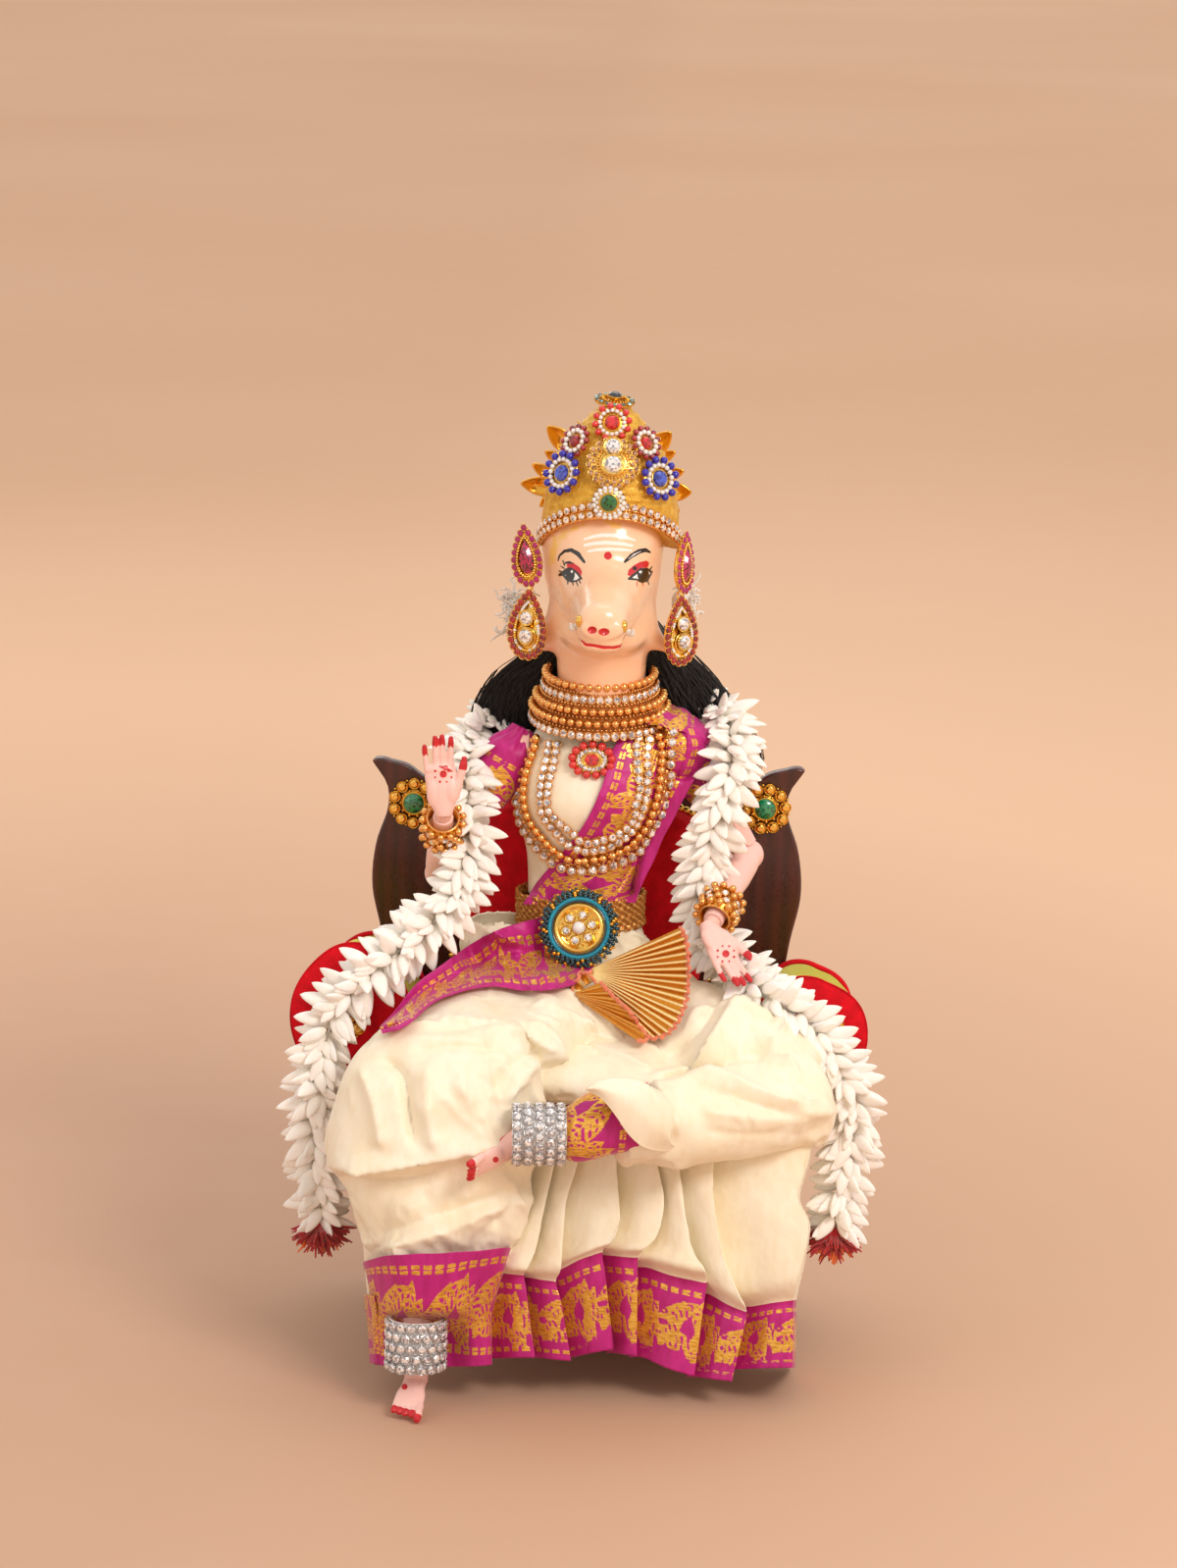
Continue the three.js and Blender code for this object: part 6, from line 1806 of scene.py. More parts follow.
def draped(v, f, folds, wrinkle=0.35, seed=3, stretch=(1, 1, 1), direction=0.8):
    n = normals(v, f)
    q = to_c3(v)
    face = smoothstep(-0.15, 0.3, n @ BACK)
    h = np.zeros(len(v))
    for line, height, wl, wr in folds:
        h += fold(q, line, height * 1.75, wl * 0.76, wr * 0.76)
    d = n + direction * BACK
    d /= np.linalg.norm(d, axis=1)[:, None]
    v = v + d * (h * face)[:, None]
    w = wrinkle * fbm(v * stretch, 11, seed) + wrinkle * 0.5 * fbm(v * stretch, 5, seed + 9)
    # creases: thin ridges that wander and fork
    turn = np.column_stack([v[:, 0] + 0.45 * v[:, 2], v[:, 1], 0.55 * v[:, 2] - 0.2 * v[:, 0]])
    for size, tall, k in ((20, 2.5, 1), (11, 1.0, 2)):
        line = 1 - np.minimum(1.0, np.abs(fbm(turn, size, seed + 20 * k)) * 3.4)
        w = w + tall * (line ** 2) * smoothstep(-0.25, 0.45, fbm(v, 24, seed + 40 * k)) * face
    return v + n * w[:, None]


def opened(v, f, drop):
    """The shell without the faces whose points all satisfy drop."""
    bad = drop(v)
    f = [q for q in f if not all(bad[i] for i in q)]
    used = np.zeros(len(v), bool)
    for q in f:
        used[list(q)] = True
    new = np.cumsum(used) - 1
    return v[used], [tuple(int(new[i]) for i in q) for q in f]


def slackened(v, f, pin, grow=0.06, pressure=0.6, cap=2.2, scale=8.0, count=18, stiff=0.25):
    """Slack cloth: the shell is given more cloth than its form needs and buckles into soft creases."""
    me = Build().add(v, f).mesh("slack")
    for p in me.vertices:
        p.co = p.co * scale
    o = bpy.data.objects.new("slack_sim", me)
    bpy.context.scene.collection.objects.link(o)
    m = o.modifiers.new("Cloth", "CLOTH")
    st = m.settings
    st.quality = 6
    st.mass = 0.25
    st.shrink_min = -grow
    st.use_pressure = True
    st.uniform_pressure_force = pressure
    st.effector_weights.gravity = 0.0
    st.tension_stiffness = st.compression_stiffness = 14
    st.shear_stiffness = 6
    st.bending_stiffness = stiff
    st.air_damping = 2.0
    g = o.vertex_groups.new(name="pin")
    g.add(np.nonzero(pin)[0].tolist(), 1.0, "REPLACE")
    st.vertex_group_mass = "pin"
    m.point_cache.frame_start, m.point_cache.frame_end = 1, count
    sc = bpy.context.scene
    for k in range(1, count + 1):
        sc.frame_set(k)
    out = bpy.data.meshes.new_from_object(o.evaluated_get(bpy.context.evaluated_depsgraph_get()))
    new, _ = arrays(out)
    new /= scale
    bpy.data.objects.remove(o)
    sc.frame_set(1)
    d = new - v
    far = np.linalg.norm(d, axis=1)
    d *= (np.tanh(far / cap) * cap / np.maximum(far, 1e-9))[:, None]
    if not np.isfinite(d).all():
        d[:] = 0
    return v + d


def shell_piece(name, v, f, replaces, slot, thick=0.4, mats=None, **attrs):
    attrs = attrs or {"border": np.full(len(v), -3.0), "zari": np.full(len(v), -3.0)}
    me = modify(Build().add(v, f, **attrs).mesh(name), ("SOLIDIFY", {"thickness": thick * MM, "offset": -1.0}))
    for p in me.polygons:
        p.use_smooth = True
    return place(name, me, mats or m_silk, ROOT, replaces)


# silk over the right thigh and knee, down to the cuff
b = Build()
b.add(*tube([(-13, -8, 106), (-33, -40, 105), (-45, -62, 100)], [(19, 14.5), (22.5, 15.5), (22, 14)], 32, 24, (0, 0, 1)))
b.add(*stacked([[-41.5, -69, 18, 15, 12], [-41.5, -69, 30, 17.5, 14], [-40.5, -68, 44, 21.5, 16], [-42, -67, 60, 25.5, 17.5], [-43.5, -67, 76, 31, 18.5], [-41.5, -66, 90, 30.5, 19.5], [-40, -64, 103, 27, 18], [-38, -59, 113, 19, 13.5]], 44, 6))
b.add(*tube([(-44, -69, 92), (-45, -76, 60), (-45.6, -82, 34)], [(13, 13), (12.5, 12.5), (9, 9)], 28, 20, (0, 1, 0)))
b.add(*tube([(-6, -12, 112), (-11, -34, 109), (-19, -54, 103)], [(13, 9), (16, 12), (14, 12)], 24, 16, (0, 0, 1)))
v, f = moulded(b, 0.95, 10, 0.6)
right_folds = [
    ([(128, 466), (250, 482), (420, 452), (560, 428), (700, 470)], 3.6, 70, 10),
    ([(150, 500), (260, 520), (430, 500)], -1.8, 20, 50),
    ([(250, 700), (420, 640), (560, 580), (706, 520)], 2.2, 26, 60),
    ([(262, 655), (430, 600), (600, 530)], -1.3, 26, 26),
    ([(270, 190), (330, 240), (352, 340), (372, 445)], -2.3, 26, 16),
    ([(225, 210), (262, 300), (290, 440)], 1.6, 34, 26),
    ([(400, 210), (396, 320), (420, 440)], 1.7, 30, 40),
    ([(350, 190), (460, 170), (600, 190)], -1.3, 22, 26),
    ([(420, 110), (540, 120), (650, 150), (760, 205)], 1.8, 34, 18),
    ([(590, 330), (640, 250), (700, 205), (770, 200)], 1.6, 30, 16),
    ([(560, 300), (610, 226), (690, 176)], -1.5, 20, 22),
    ([(740, 240), (720, 280), (660, 330)], 1.8, 14, 30),
    ([(780, 90), (806, 130), (800, 190), (740, 250)], 2.6, 26, 9),
    ([(500, 480), (600, 460), (690, 440)], 1.2, 24, 24),
    ([(700, 470), (640, 560), (600, 690)], 1.6, 20, 26),
    ([(660, 480), (600, 560), (540, 640)], -1.2, 18, 20),
    ([(180, 560), (220, 640), (250, 700)], 1.0, 20, 26),
    ([(330, 560), (420, 640), (520, 690)], 0.7, 30, 30),
    ([(450, 250), (520, 330), (560, 400)], 0.9, 40, 26),
]
low = smoothstep(48, 38, v[:, 2])[:, None]
v = v * low + draped(v, f, right_folds, 0.3, 3) * (1 - low)
v, f = opened(v, f, lambda p: (p[:, 2] < 29) | ((p[:, 1] > -13) & (p[:, 2] > 98) & (p[:, 0] > -22)))
pin = (v[:, 2] < 48) | (v[:, 1] > -18)
v = slackened(v, f, pin, 0.05, 0.5, 1.5)
v[:, 2] = np.maximum(v[:, 2], 1.0)
right_cloth = shell_piece("silk_right_leg", v, f, "saree_right_leg", "cream_silk")
right_tree = bvh(v, f)

# the cuff of woven border in front of the right shin
rows = [
    [(232, 722, -66), (246, 716, -78), (300, 704, -89.5), (380, 700, -94), (470, 696, -93.5), (550, 690, -88), (610, 684, -78), (592, 694, -64)],
    [(240, 760, -66), (256, 756, -78), (310, 750, -89.5), (380, 750, -94), (460, 748, -93), (535, 744, -87), (592, 740, -78), (576, 744, -64)],
    [(246, 800, -66), (263, 800, -78), (315, 800, -89), (380, 801, -93.4), (455, 800, -92), (525, 798, -85.5), (576, 795, -78), (562, 796, -64)],
    [(250, 842, -66), (270, 842, -77), (318, 844, -88), (380, 846, -92), (455, 846, -90.5), (520, 842, -84), (564, 840, -77), (552, 840, -64)],
    [(254, 872, -66), (274, 872, -76), (322, 872, -80), (380, 872, -83), (455, 872, -82), (520, 874, -82), (561, 872, -77), (548, 872, -64)],
    [(258, 915, -66), (278, 915, -75.5), (326, 916, -75.6), (380, 916, -75.0), (455, 918, -75.4), (520, 918, -81), (561, 916, -77), (548, 914, -64)],
    [(262, 986, -66), (280, 987, -76.5), (330, 988, -75.8), (380, 988, -75.2), (455, 990, -75.8), (518, 989, -81), (562, 985, -78), (548, 980, -64)],
]
g = lofted_at([[c3(*p) for p in r] for r in rows], 400, 120)
g = g + np.stack([0 * g[..., 0], 0.35 * np.sin(g[..., 0] * 0.55 + 1) * smoothstep(30, 60, g[..., 2]), 0 * g[..., 0]], -1)
g = g + np.array([-0.3, -1.1, 0.0])
S_ = arc(g, 1).mean(0)[None, :] + 0 * g[..., 0]
T_ = arc(g, 0)
T_ = T_[-1:] - T_
flat_cuff = (float(S_.max()), float(T_.max()))
w_ = 26.5
border, zari = weave(S_, T_ * w_ / T_.max(0, keepdims=True) * 1.0 + 0.0, w_ + 1.5, 2.0)
band2 = g[44:, :70].copy()
band2 = band2 + np.array([-1.6, 1.6, 0.0])
cuff_right = cloth_piece("cuff_right_leg", [(g, border, zari), (band2, border[44:, :70], zari[44:, :70])])
# raw cream selvedge beside the cuff
rows = [[c3(226, 640, -72), c3(258, 640, -76)], [c3(232, 720, -70), c3(262, 722, -75)], [c3(238, 790, -69), c3(270, 796, -74)], [c3(242, 830, -69), c3(272, 830, -74)]]
selv = cloth_piece("selvedge_right_leg", [lofted_at(rows, 8, 24)], thick=0.3)

# silk over the crossed left leg
b = Build()
b.add(*tube([(12, -8, 106), (42, -33, 103.5), (64, -50, 97)], [(19, 14.5), (21.5, 14.5), (16, 13.5)], 32, 24, (0, 0, 1)))
b.add(*tube([(68, -52, 93), (52, -65, 91.5), (34, -74.5, 89.5), (14, -83, 88.5)], [(14.5, 14.5), (14.5, 13.5), (13, 12.2), (10.6, 10.4)], 30, 26, (0, 0, 1)))
b.add(*tube([(26, -20, 108), (44, -38, 106), (66, -52, 95)], [(14, 12), (18, 13), (12.5, 12.5)], 28, 18, (0, 0, 1)))
b.add(*ellipsoid((12, -40, 95), (22, 26, 11), 28, 18))
b.add(*ellipsoid((4, -22, 109), (22, 18, 13), 28, 18))
v, f = moulded(b, 0.95, 10, 0.6)
left_folds = [
    ([(935, 250), (1000, 236), (1060, 222), (1120, 150), (1190, 40)], 3.4, 10, 60),
    ([(1010, 205), (1080, 130), (1150, 40)], -1.6, 22, 12),
    ([(1000, 232), (1140, 250), (1290, 300), (1450, 330)], 2.6, 16, 46),
    ([(1040, 262), (1180, 300), (1330, 345)], -1.5, 16, 20),
    ([(860, 300), (960, 260), (1010, 330), (1046, 410)], 1.6, 26, 16),
    ([(820, 110), (900, 150), (1010, 190)], 1.6, 26, 14),
    ([(800, 160), (900, 200), (980, 232)], 1.4, 20, 12),
    ([(850, 120), (940, 130), (1010, 170)], -1.3, 14, 14),
    ([(1170, 60), (1250, 140), (1340, 240)], 1.2, 40, 30),
    ([(1200, 180), (1290, 240), (1380, 280)], -1.0, 26, 24),
    ([(1080, 330), (1220, 350), (1390, 350)], 1.1, 26, 26),
    ([(1090, 380), (1240, 385), (1380, 380)], -0.7, 16, 20),
    ([(1270, 110), (1292, 122), (1300, 150)], 1.6, 10, 14),
]
v = draped(v, f, left_folds, 0.3, 13)
v, f = opened(v, f, lambda p: ((p[:, 0] < 13) & (p[:, 1] < -74)) | ((p[:, 1] > -9) & (p[:, 2] > 96)))
pin = ((v[:, 0] < 17) & (v[:, 1] < -70)) | (v[:, 1] > -16)
v = slackened(v, f, pin, 0.05, 0.5, 1.4)
left_cloth = shell_piece("silk_left_leg", v, f, "saree_left_leg", "cream_silk")

# cuff of the crossed leg: a cone of woven border that ends at the anklet
rows = []
for k, (x, y, z, r, tilt) in enumerate([(-11.5, -88.2, 88.4, 6.6, 0.0), (-6.0, -87.7, 88.6, 6.9, 0.0), (-2.4, -87.0, 88.8, 7.5, 0), (0.2, -86.5, 89.0, 9.4, 0), (3.6, -85.7, 89.1, 11.2, 0), (8, -84.6, 89.1, 12.2, 0), (13, -83.0, 89.0, 12.5, 0), (20.5, -80.4, 88.8, 13.2, 0)]):
    ring_ = []
    for a in np.linspace(-math.pi, math.pi, 25)[:-1]:
        ring_.append((x + 0.12 * r * math.sin(a), y - r * math.cos(a) * 0.98 + 0.0, z + r * math.sin(a) * (1.05 if a > 0 else (0.95, 0.95, 0.93, 0.88, 0.8, 0.68, 0.54, 0.4)[k])))
    ring_.append(ring_[0])
    rows.append(ring_)
g = lofted_at(rows, 220, 90)
S_ = arc(g, 1).mean(0)[None, :] + 0 * g[..., 0]
T_ = arc(g, 0)
border, zari = weave(S_, (T_ + 0.6) * 0.8, 26.5, 6.5)
border = np.full(T_.shape, 4.0)
cuff2_size = (float(S_.max()), float(T_.max()))
cuff_left = cloth_piece("cuff_left_leg", [(g, border, zari)])
# cream silk rolled back over that cuff
roll = spline([c3(806, 276, -100), c3(832, 258, -100), c3(895, 250, -99), c3(948, 262, -98.5), c3(1000, 318, -97.5), c3(1022, 372, -96), c3(1010, 415, -93)], 60)
edge_ = spline([c3(806, 278, -100.5), c3(846, 300, -102), c3(884, 344, -102), c3(914, 386, -101), c3(950, 418, -99), c3(1000, 432, -94), c3(1040, 428, -88)], 60)
under = spline([c3(846, 296, -96), c3(890, 326, -96), c3(926, 360, -96), c3(958, 384, -94), c3(990, 399, -92), c3(1020, 409, -90), c3(1040, 414, -86)], 60)
mid1 = edge_ * 0.55 + roll * 0.45 + np.array([0, -2.2, 0.6])
mid2 = edge_ * 0.2 + roll * 0.8 + np.array([0, -1.6, 0.4])
back1 = spline([c3(850, 278, -92), c3(880, 262, -91), c3(930, 262, -89), c3(985, 280, -87), c3(1040, 320, -86), c3(1060, 370, -84), c3(1050, 410, -80)], 60)
g = lofted_at([under, edge_ + np.array([0, 0.8, -0.6]), edge_, mid1, mid2, roll, roll * 0.5 + back1 * 0.5 + np.array([0, -0.4, 0.2]), back1], 70, 60)
flap = cloth_piece("rolled_edge_left_leg", [g], thick=0.36)

# ---- pleats that fall in front of the seat, with the woven border at the hem
levels = [
    ("top", [690, 735, 800, 880, 975, 1060, 1130, 1385], [392] * 8, [392] * 8, -62, 4.0),
    ("a", [680, 722, 780, 880, 985, 1045, 1130, 1368], [470] * 8, [470] * 8, -66, 5.5),
    ("b", [650, 700, 752, 884, 1000, 1052, 1130, 1345], [560] * 8, [560] * 8, -70, 7.0),
    ("c", [600, 672, 742, 884, 985, 1076, 1152, 1372], [640, 690, 668, 628, 650, 690, 700, 636], [640, 690, 668, 628, 650, 690, 700, 636], -74, 8.0),
    ("puff", [560, 650, 736, 866, 950, 1104, 1196, 1350], [712, 742, 738, 676, 690, 742, 808, 760], [712, 742, 738, 676, 690, 742, 808, 760], -77, 8.0),
    ("tuck", [552, 640, 722, 842, 935, 1110, 1215, 1336], [742, 756, 772, 700, 712, 776, 850, 822], [742, 756, 772, 700, 712, 776, 850, 822], -72.5, 8.5),
    ("edge0", [556, 648, 736, 852, 934, 1100, 1206, 1335], [800, 810, 826, 780, 790, 850, 900, 870], [800, 810, 826, 780, 790, 850, 900, 870], -74, 8.5),
    ("hem", [566, 668, 762, 872, 932, 1078, 1176, 1332], [986, 970, 978, 950, 966, 1016, 1030, 996], [985, 972, 970, 968, 958, 970, 1020, 1000], -77, 9.0),
]
rows = []
for name, tips, tip_y, back_y, depth, fold_ in levels:
    r = []
    for k in range(7):
        x0, x1 = tips[k], tips[k + 1]
        y0_, y1_ = tip_y[k], tip_y[k + 1]
        yb = (back_y[k] * 0.6 + back_y[k + 1] * 0.4) if name != "hem" else back_y[k + 1]
        over = 16 if name not in ("top",) else 4
        front = depth - (k % 3) * 0.9
        # fold back behind the last tip, then out along the panel to the next
        r += [c3(x0 - over, yb, front + fold_), c3(x0 + (x1 - x0) * 0.18 - over * 0.5, yb, front + fold_ * 0.72),
              c3(x0 + (x1 - x0) * 0.55, yb * 0.4 + y1_ * 0.6, front + fold_ * 0.16), c3(x1 - 5, y1_, front - 0.2), c3(x1, y1_, front + 0.9)]
    lx = tips[-1]
    r += [c3(lx + 6, tip_y[-1], depth + 10), c3(lx + 8, tip_y[-1], depth + 24), c3(lx + 2, tip_y[-1], depth + 38)]
    rows.append(r)
for r in rows:
    for p in r:
        p[2] = max(p[2], 1.2)
ns, nt = 860, 130
g = lofted_at(rows, ns, nt)
tt = np.linspace(0, len(rows) - 1, nt)
soft_ = (0.55 * fbm(g * (1, 1, 0.5), 9, 31) + 0.25 * fbm(g, 4, 32)) * (smoothstep(0, 1, tt) * (1 - 0.6 * smoothstep(4.5, 5.5, tt)))[:, None]
nrm_ = np.cross(np.gradient(g, axis=1), np.gradient(g, axis=0))
nrm_ /= np.maximum(np.linalg.norm(nrm_, axis=2), 1e-9)[..., None]
g = g + nrm_ * soft_[..., None]
g[..., 2] = np.maximum(g[..., 2], 0.8)
S_ = arc(g[-30:], 1).mean(0)[None, :] + 0 * g[..., 0]
T_ = arc(g, 0)
T_ = T_[-1:] - T_
k_tuck = int(round(5 / (len(rows) - 1) * (nt - 1)))
wid = T_[k_tuck][None, :]
w_ = 26.0
border, zari = weave(S_, T_ * w_ / np.maximum(wid, 5), w_, 0.0)
pleat_size = (float(arc(g, 1).max()), float(arc(g, 0).mean(1).max() if False else T_.max()))
pleats = cloth_piece("silk_pleats", [(g, border, zari)], "saree_pleats", thick=0.34)


def laid(tree, us, vs, lift, default, soften=6, reach=16.0):
    """A grid of points on the camera's lines of sight, laid on a surface like cloth."""
    us, vs = np.asarray(us, float), np.asarray(vs, float)
    y = np.broadcast_to(np.asarray(default, float), us.shape).copy()
    top = np.full(us.shape, 1e9)
    for i in range(us.shape[0]):
        for j in range(us.shape[1]):
            h = on_sight(tree, us[i, j], vs[i, j])
            if h is not None:
                d = h[0][1] - lift * (0.6 + 2.2 * max(0.0, h[1][2]))
                if abs(d - y[i, j]) < reach:
                    y[i, j] = top[i, j] = d
    for _ in range(soften):
        p = np.pad(y, 1, mode="edge")
        s = (p[1:-1, 1:-1] * 2 + p[2:, 1:-1] + p[:-2, 1:-1] + p[1:-1, 2:] + p[1:-1, :-2]) / 6
        y = np.minimum(s, top)
    out = np.empty(us.shape + (3,))
    for i in range(us.shape[0]):
        for j in range(us.shape[1]):
            out[i, j] = at_y(us[i, j], vs[i, j], y[i, j])
    return out


def finer(g, ks, kt=1):
    """The same grid of points with more of them along each side."""
    for axis, k in ((1, ks), (0, kt)):
        if k > 1:
            m = g.shape[axis]
            s = np.linspace(0, m - 1, (m - 1) * k + 1)
            i = np.minimum(s.astype(int), m - 2)
            a = (s - i)[None, :, None] if axis == 1 else (s - i)[:, None, None]
            g = np.take(g, i, axis) * (1 - a) + np.take(g, i + 1, axis) * a
    return g


def relief_grid(g, amount, toward=-1):
    """Moves a grid of points along its own normals."""
    n = np.cross(np.gradient(g, axis=1), np.gradient(g, axis=0))
    n /= np.maximum(np.linalg.norm(n, axis=2), 1e-9)[..., None]
    n *= np.where((n @ BACK) < 0, -1.0, 1.0)[..., None]
    return g + n * np.asarray(amount)[..., None]


def between(a, b_, ns, nt):
    """A grid in the picture between two lines: us, vs of shape (nt, ns)."""
    a = spline(np.column_stack([a, np.zeros(len(a))]), ns)[:, :2] if len(a) > 2 else evenly(np.asarray(a, float), ns)
    b_ = spline(np.column_stack([b_, np.zeros(len(b_))]), ns)[:, :2] if len(b_) > 2 else evenly(np.asarray(b_, float), ns)
    t = np.linspace(0, 1, nt)[:, None, None]
    g = a[None] * (1 - t) + b_[None] * t
    return g[..., 0], g[..., 1]


def flat_of(o, width):
    """Flat size of a thickened cloth of that width, from its surface, in metres."""
    area = sum(p.area for p in o.data.polygons) / 2
    return (width * MM, area / (width * MM))


# cream silk round the hips and over the lap
b = Build()
b.add(*stacked([[-0.5, 2, 88.6, 14, 11], [-0.5, 2, 96, 21, 15.4], [-0.5, 1, 105, 23.5, 17.2], [-1, 1, 118, 22.5, 17.4], [-1.5, 3, 128, 19.4, 15.5], [-2, 4, 136, 17.6, 13.9]], 40, 6))
b.add(*ellipsoid((2, -24, 107), (25, 22, 12), 30, 20))
b.add(*ellipsoid((20, -16, 111), (18, 17, 13.5), 30, 20))
b.add(*ellipsoid((-18, -18, 110), (17, 18, 13), 30, 20))
b.add(*ellipsoid((4, -46, 96), (24, 21, 9), 30, 20))
b.add(*ellipsoid(at_y(512, 960, -7), (13, 12, 12), 26, 18))
v, f = moulded(b, 0.95, 30, 0.7)
lap_folds = [
    ([(870, -130), (900, -80), (960, -40)], 1.5, 12, 14),
    ([(905, -135), (960, -95), (1040, -50)], 1.4, 12, 14),
    ([(940, -140), (1010, -110), (1110, -70)], 1.3, 12, 16),
    ([(885, -110), (925, -60), (1000, -20)], -1.2, 8, 10),
    ([(540, -130), (590, -110), (640, -90)], 1.4, 12, 12),
    ([(560, -155), (600, -140), (640, -120)], -1.0, 8, 8),
    ([(690, 60), (760, 80), (806, 120)], 1.6, 18, 12),
    ([(860, 60), (960, 70), (1080, 30)], 1.1, 26, 18),
    ([(1000, 0), (1080, 20), (1160, 20)], 1.0, 20, 16),
    ([(810, 130), (900, 160), (1010, 200)], 1.2, 24, 14),
]
v = draped(v, f, lap_folds, 0.35, 23)
v, f = opened(v, f, lambda p: (p[:, 2] > 134.5) | ((p[:, 2] < 89.8) & (p[:, 1] > -30)))
v = slackened(v, f, (v[:, 2] > 131) | (v[:, 2] < 92), 0.05, 0.4, 1.2)
lap_cloth = shell_piece("silk_lap", v, f, (), "cream_silk")
lap_v, lap_f = v, f

# blouse
chest_rows = [[-2, 4, 141, 16.6, 12.6], [-1.4, 4, 150, 17.4, 12.6], [-0.3, 3, 160, 20.0, 14.3], [1.0, 1, 170, 23.0, 17.0], [2.2, 1, 178, 23.6, 16.6], [3.6, 3, 188, 23.2, 13.2], [4.4, 5, 195, 19.4, 10.8], [5, 6, 198.5, 13, 9.6]]
v, f = stacked(chest_rows, 110, 14, 0.0, False)
n = normals(v, f)
gather = smoothstep(176, 168, v[:, 2]) * 0.5 * np.sin(np.arctan2(v[:, 1] - 3, v[:, 0]) * 17 + 0.05 * v[:, 2])
v = v + n * (0.35 * fbm(v, 9, 41) + 0.2 * fbm(v, 4, 43) + 0.35 * gather)[:, None]
blouse_hem = np.minimum(1.6 - np.abs(v[:, 2] - 141.5), 1.0)
blouse = shell_piece("silk_blouse", v, f, "blouse", "cream_silk", 0.5, None, border=np.full(len(v), -3.0), zari=np.full(len(v), -3.0))
blouse_v, blouse_f = v, f
chest_tree = bvh(v, f)

# pallu: magenta silk with gold motifs, over the left shoulder
left_ = [(646, 740), (634, 750), (625, 764), (619, 786), (612, 806), (604, 824), (594, 842), (579, 862), (562, 882), (547, 900), (533, 922)]
right_ = [(712, 742), (719, 760), (714, 784), (703, 803), (694, 820), (686, 836), (677, 852), (667, 876), (658, 894), (652, 908), (648, 920)]
us, vs = between(left_, right_, 150, 110)
ball_v, ball_f = ellipsoid((29, 3, 188), (9.5, 9.8, 9.2), 24, 16)
tree = BVHTree.FromPolygons([Vector(q) for q in np.concatenate([blouse_v, ball_v])], list(blouse_f) + [tuple(i + len(blouse_v) for i in q) for q in ball_f])
g = laid(tree, us, vs, 1.3, np.linspace(-6, -8, 150)[None, :] + 0 * us, 14, 18)
t01 = np.linspace(0, 1, 110)[:, None]
s01 = np.linspace(0, 1, 150)[None, :]
step = 0.9 * smoothstep(0.46, 0.49, t01) * smoothstep(1.0, 0.5, t01) + 0.7 * smoothstep(0.78, 0.80, t01) * smoothstep(1.15, 0.8, t01)
ripple = 0.45 * np.sin(t01 * 19 + 0.8 * np.sin(s01 * 5)) * smoothstep(0, 0.4, s01)
g = finer(relief_grid(g, step + ripple + 0.3 * fbm(g, 7, 51)), 2)
S_ = arc(g, 1)
T_ = arc(g, 0)
W_ = T_[-1:]
border, zari = weave(S_ * 1.0, T_ * 24.0 / W_, 24.0, 3.0)
border = np.full(S_.shape, 4.0)
pallu_size = (float(W_.mean()), float(S_.max()))
tail = lofted_at([[(14, -7, 199.5), (22, -9, 198), (30, -8, 195.5), (37, -4.5, 191)], [(13, 1, 202), (21, 1, 202), (30, 2, 199.5), (38.5, 2.5, 193)], [(13, 9, 201.5), (21, 10, 201), (30, 11, 198), (39, 9.5, 191)],
                  [(13, 14.5, 196), (21, 15.5, 195), (30, 16.2, 192), (39, 14.2, 186)], [(14, 15.5, 185), (22, 16.6, 184), (30, 17, 182), (38, 15.6, 178)]], 70, 60)
tail = relief_grid(tail, 0.4 * np.sin(np.linspace(0, 22, 70))[None, :] + 0.3 * fbm(tail, 7, 52))
border2, zari2 = weave(arc(tail, 0), arc(tail, 1), 24.0, 3.0)
pallu = cloth_piece("silk_pallu", [(g, border, zari), (tail, np.full(zari2.shape, 4.0), zari2)], "pallu", thick=0.4)
pallu_v, pallu_f = g.reshape(-1, 3), grid_faces(*g.shape[:2])

# sleeves ride on the upper arms
sleeves = []
for side, body in (("right", "right_upper_arm"), ("left", "left_upper_arm")):
    p0, p1 = S[side], E[side]
    d = unit(p1 - p0)
    out_ = unit(np.array([-1.0 if side == "right" else 1.0, 0, 0.35]))
    line = [p0 - d * 7.2 + out_ * 0.4, p0 - d * 2, p0 + d * 7, p0 + d * 18]
    v, f = tube(line, [(3.6, 3.8), (8.0, 8.0), (8.0, 7.7), (6.7, 6.6)], 110, 70, (0, 1, 0), False)
    n = normals(v, f)
    tt_ = (v - p0) @ d
    v = v + n * (0.35 * fbm(v, 6, 61) + 0.4 * np.sin(np.arctan2((v - p0) @ np.cross(d, (0, 1, 0)), (v - p0)[:, 1]) * 11) * smoothstep(4, -3, tt_))[:, None]
    ang = np.arctan2((v - p0) @ np.cross(d, (0, 1, 0)), (v - p0)[:, 1]) * 7.2
    border, zari = weave(ang, 18.2 - tt_, 15.5, 1.0 if side == "right" else 6.0)
    border = np.full(len(v), 4.0)
    me = modify(Build().add(v, f, border=border, zari=zari).mesh("silk_sleeve_" + side), ("SOLIDIFY", {"thickness": 0.4 * MM, "offset": 0.0}))
    for q in me.polygons:
        q.use_smooth = True
    sleeves.append(place("silk_sleeve_" + side, me, m_silk, body, ()))

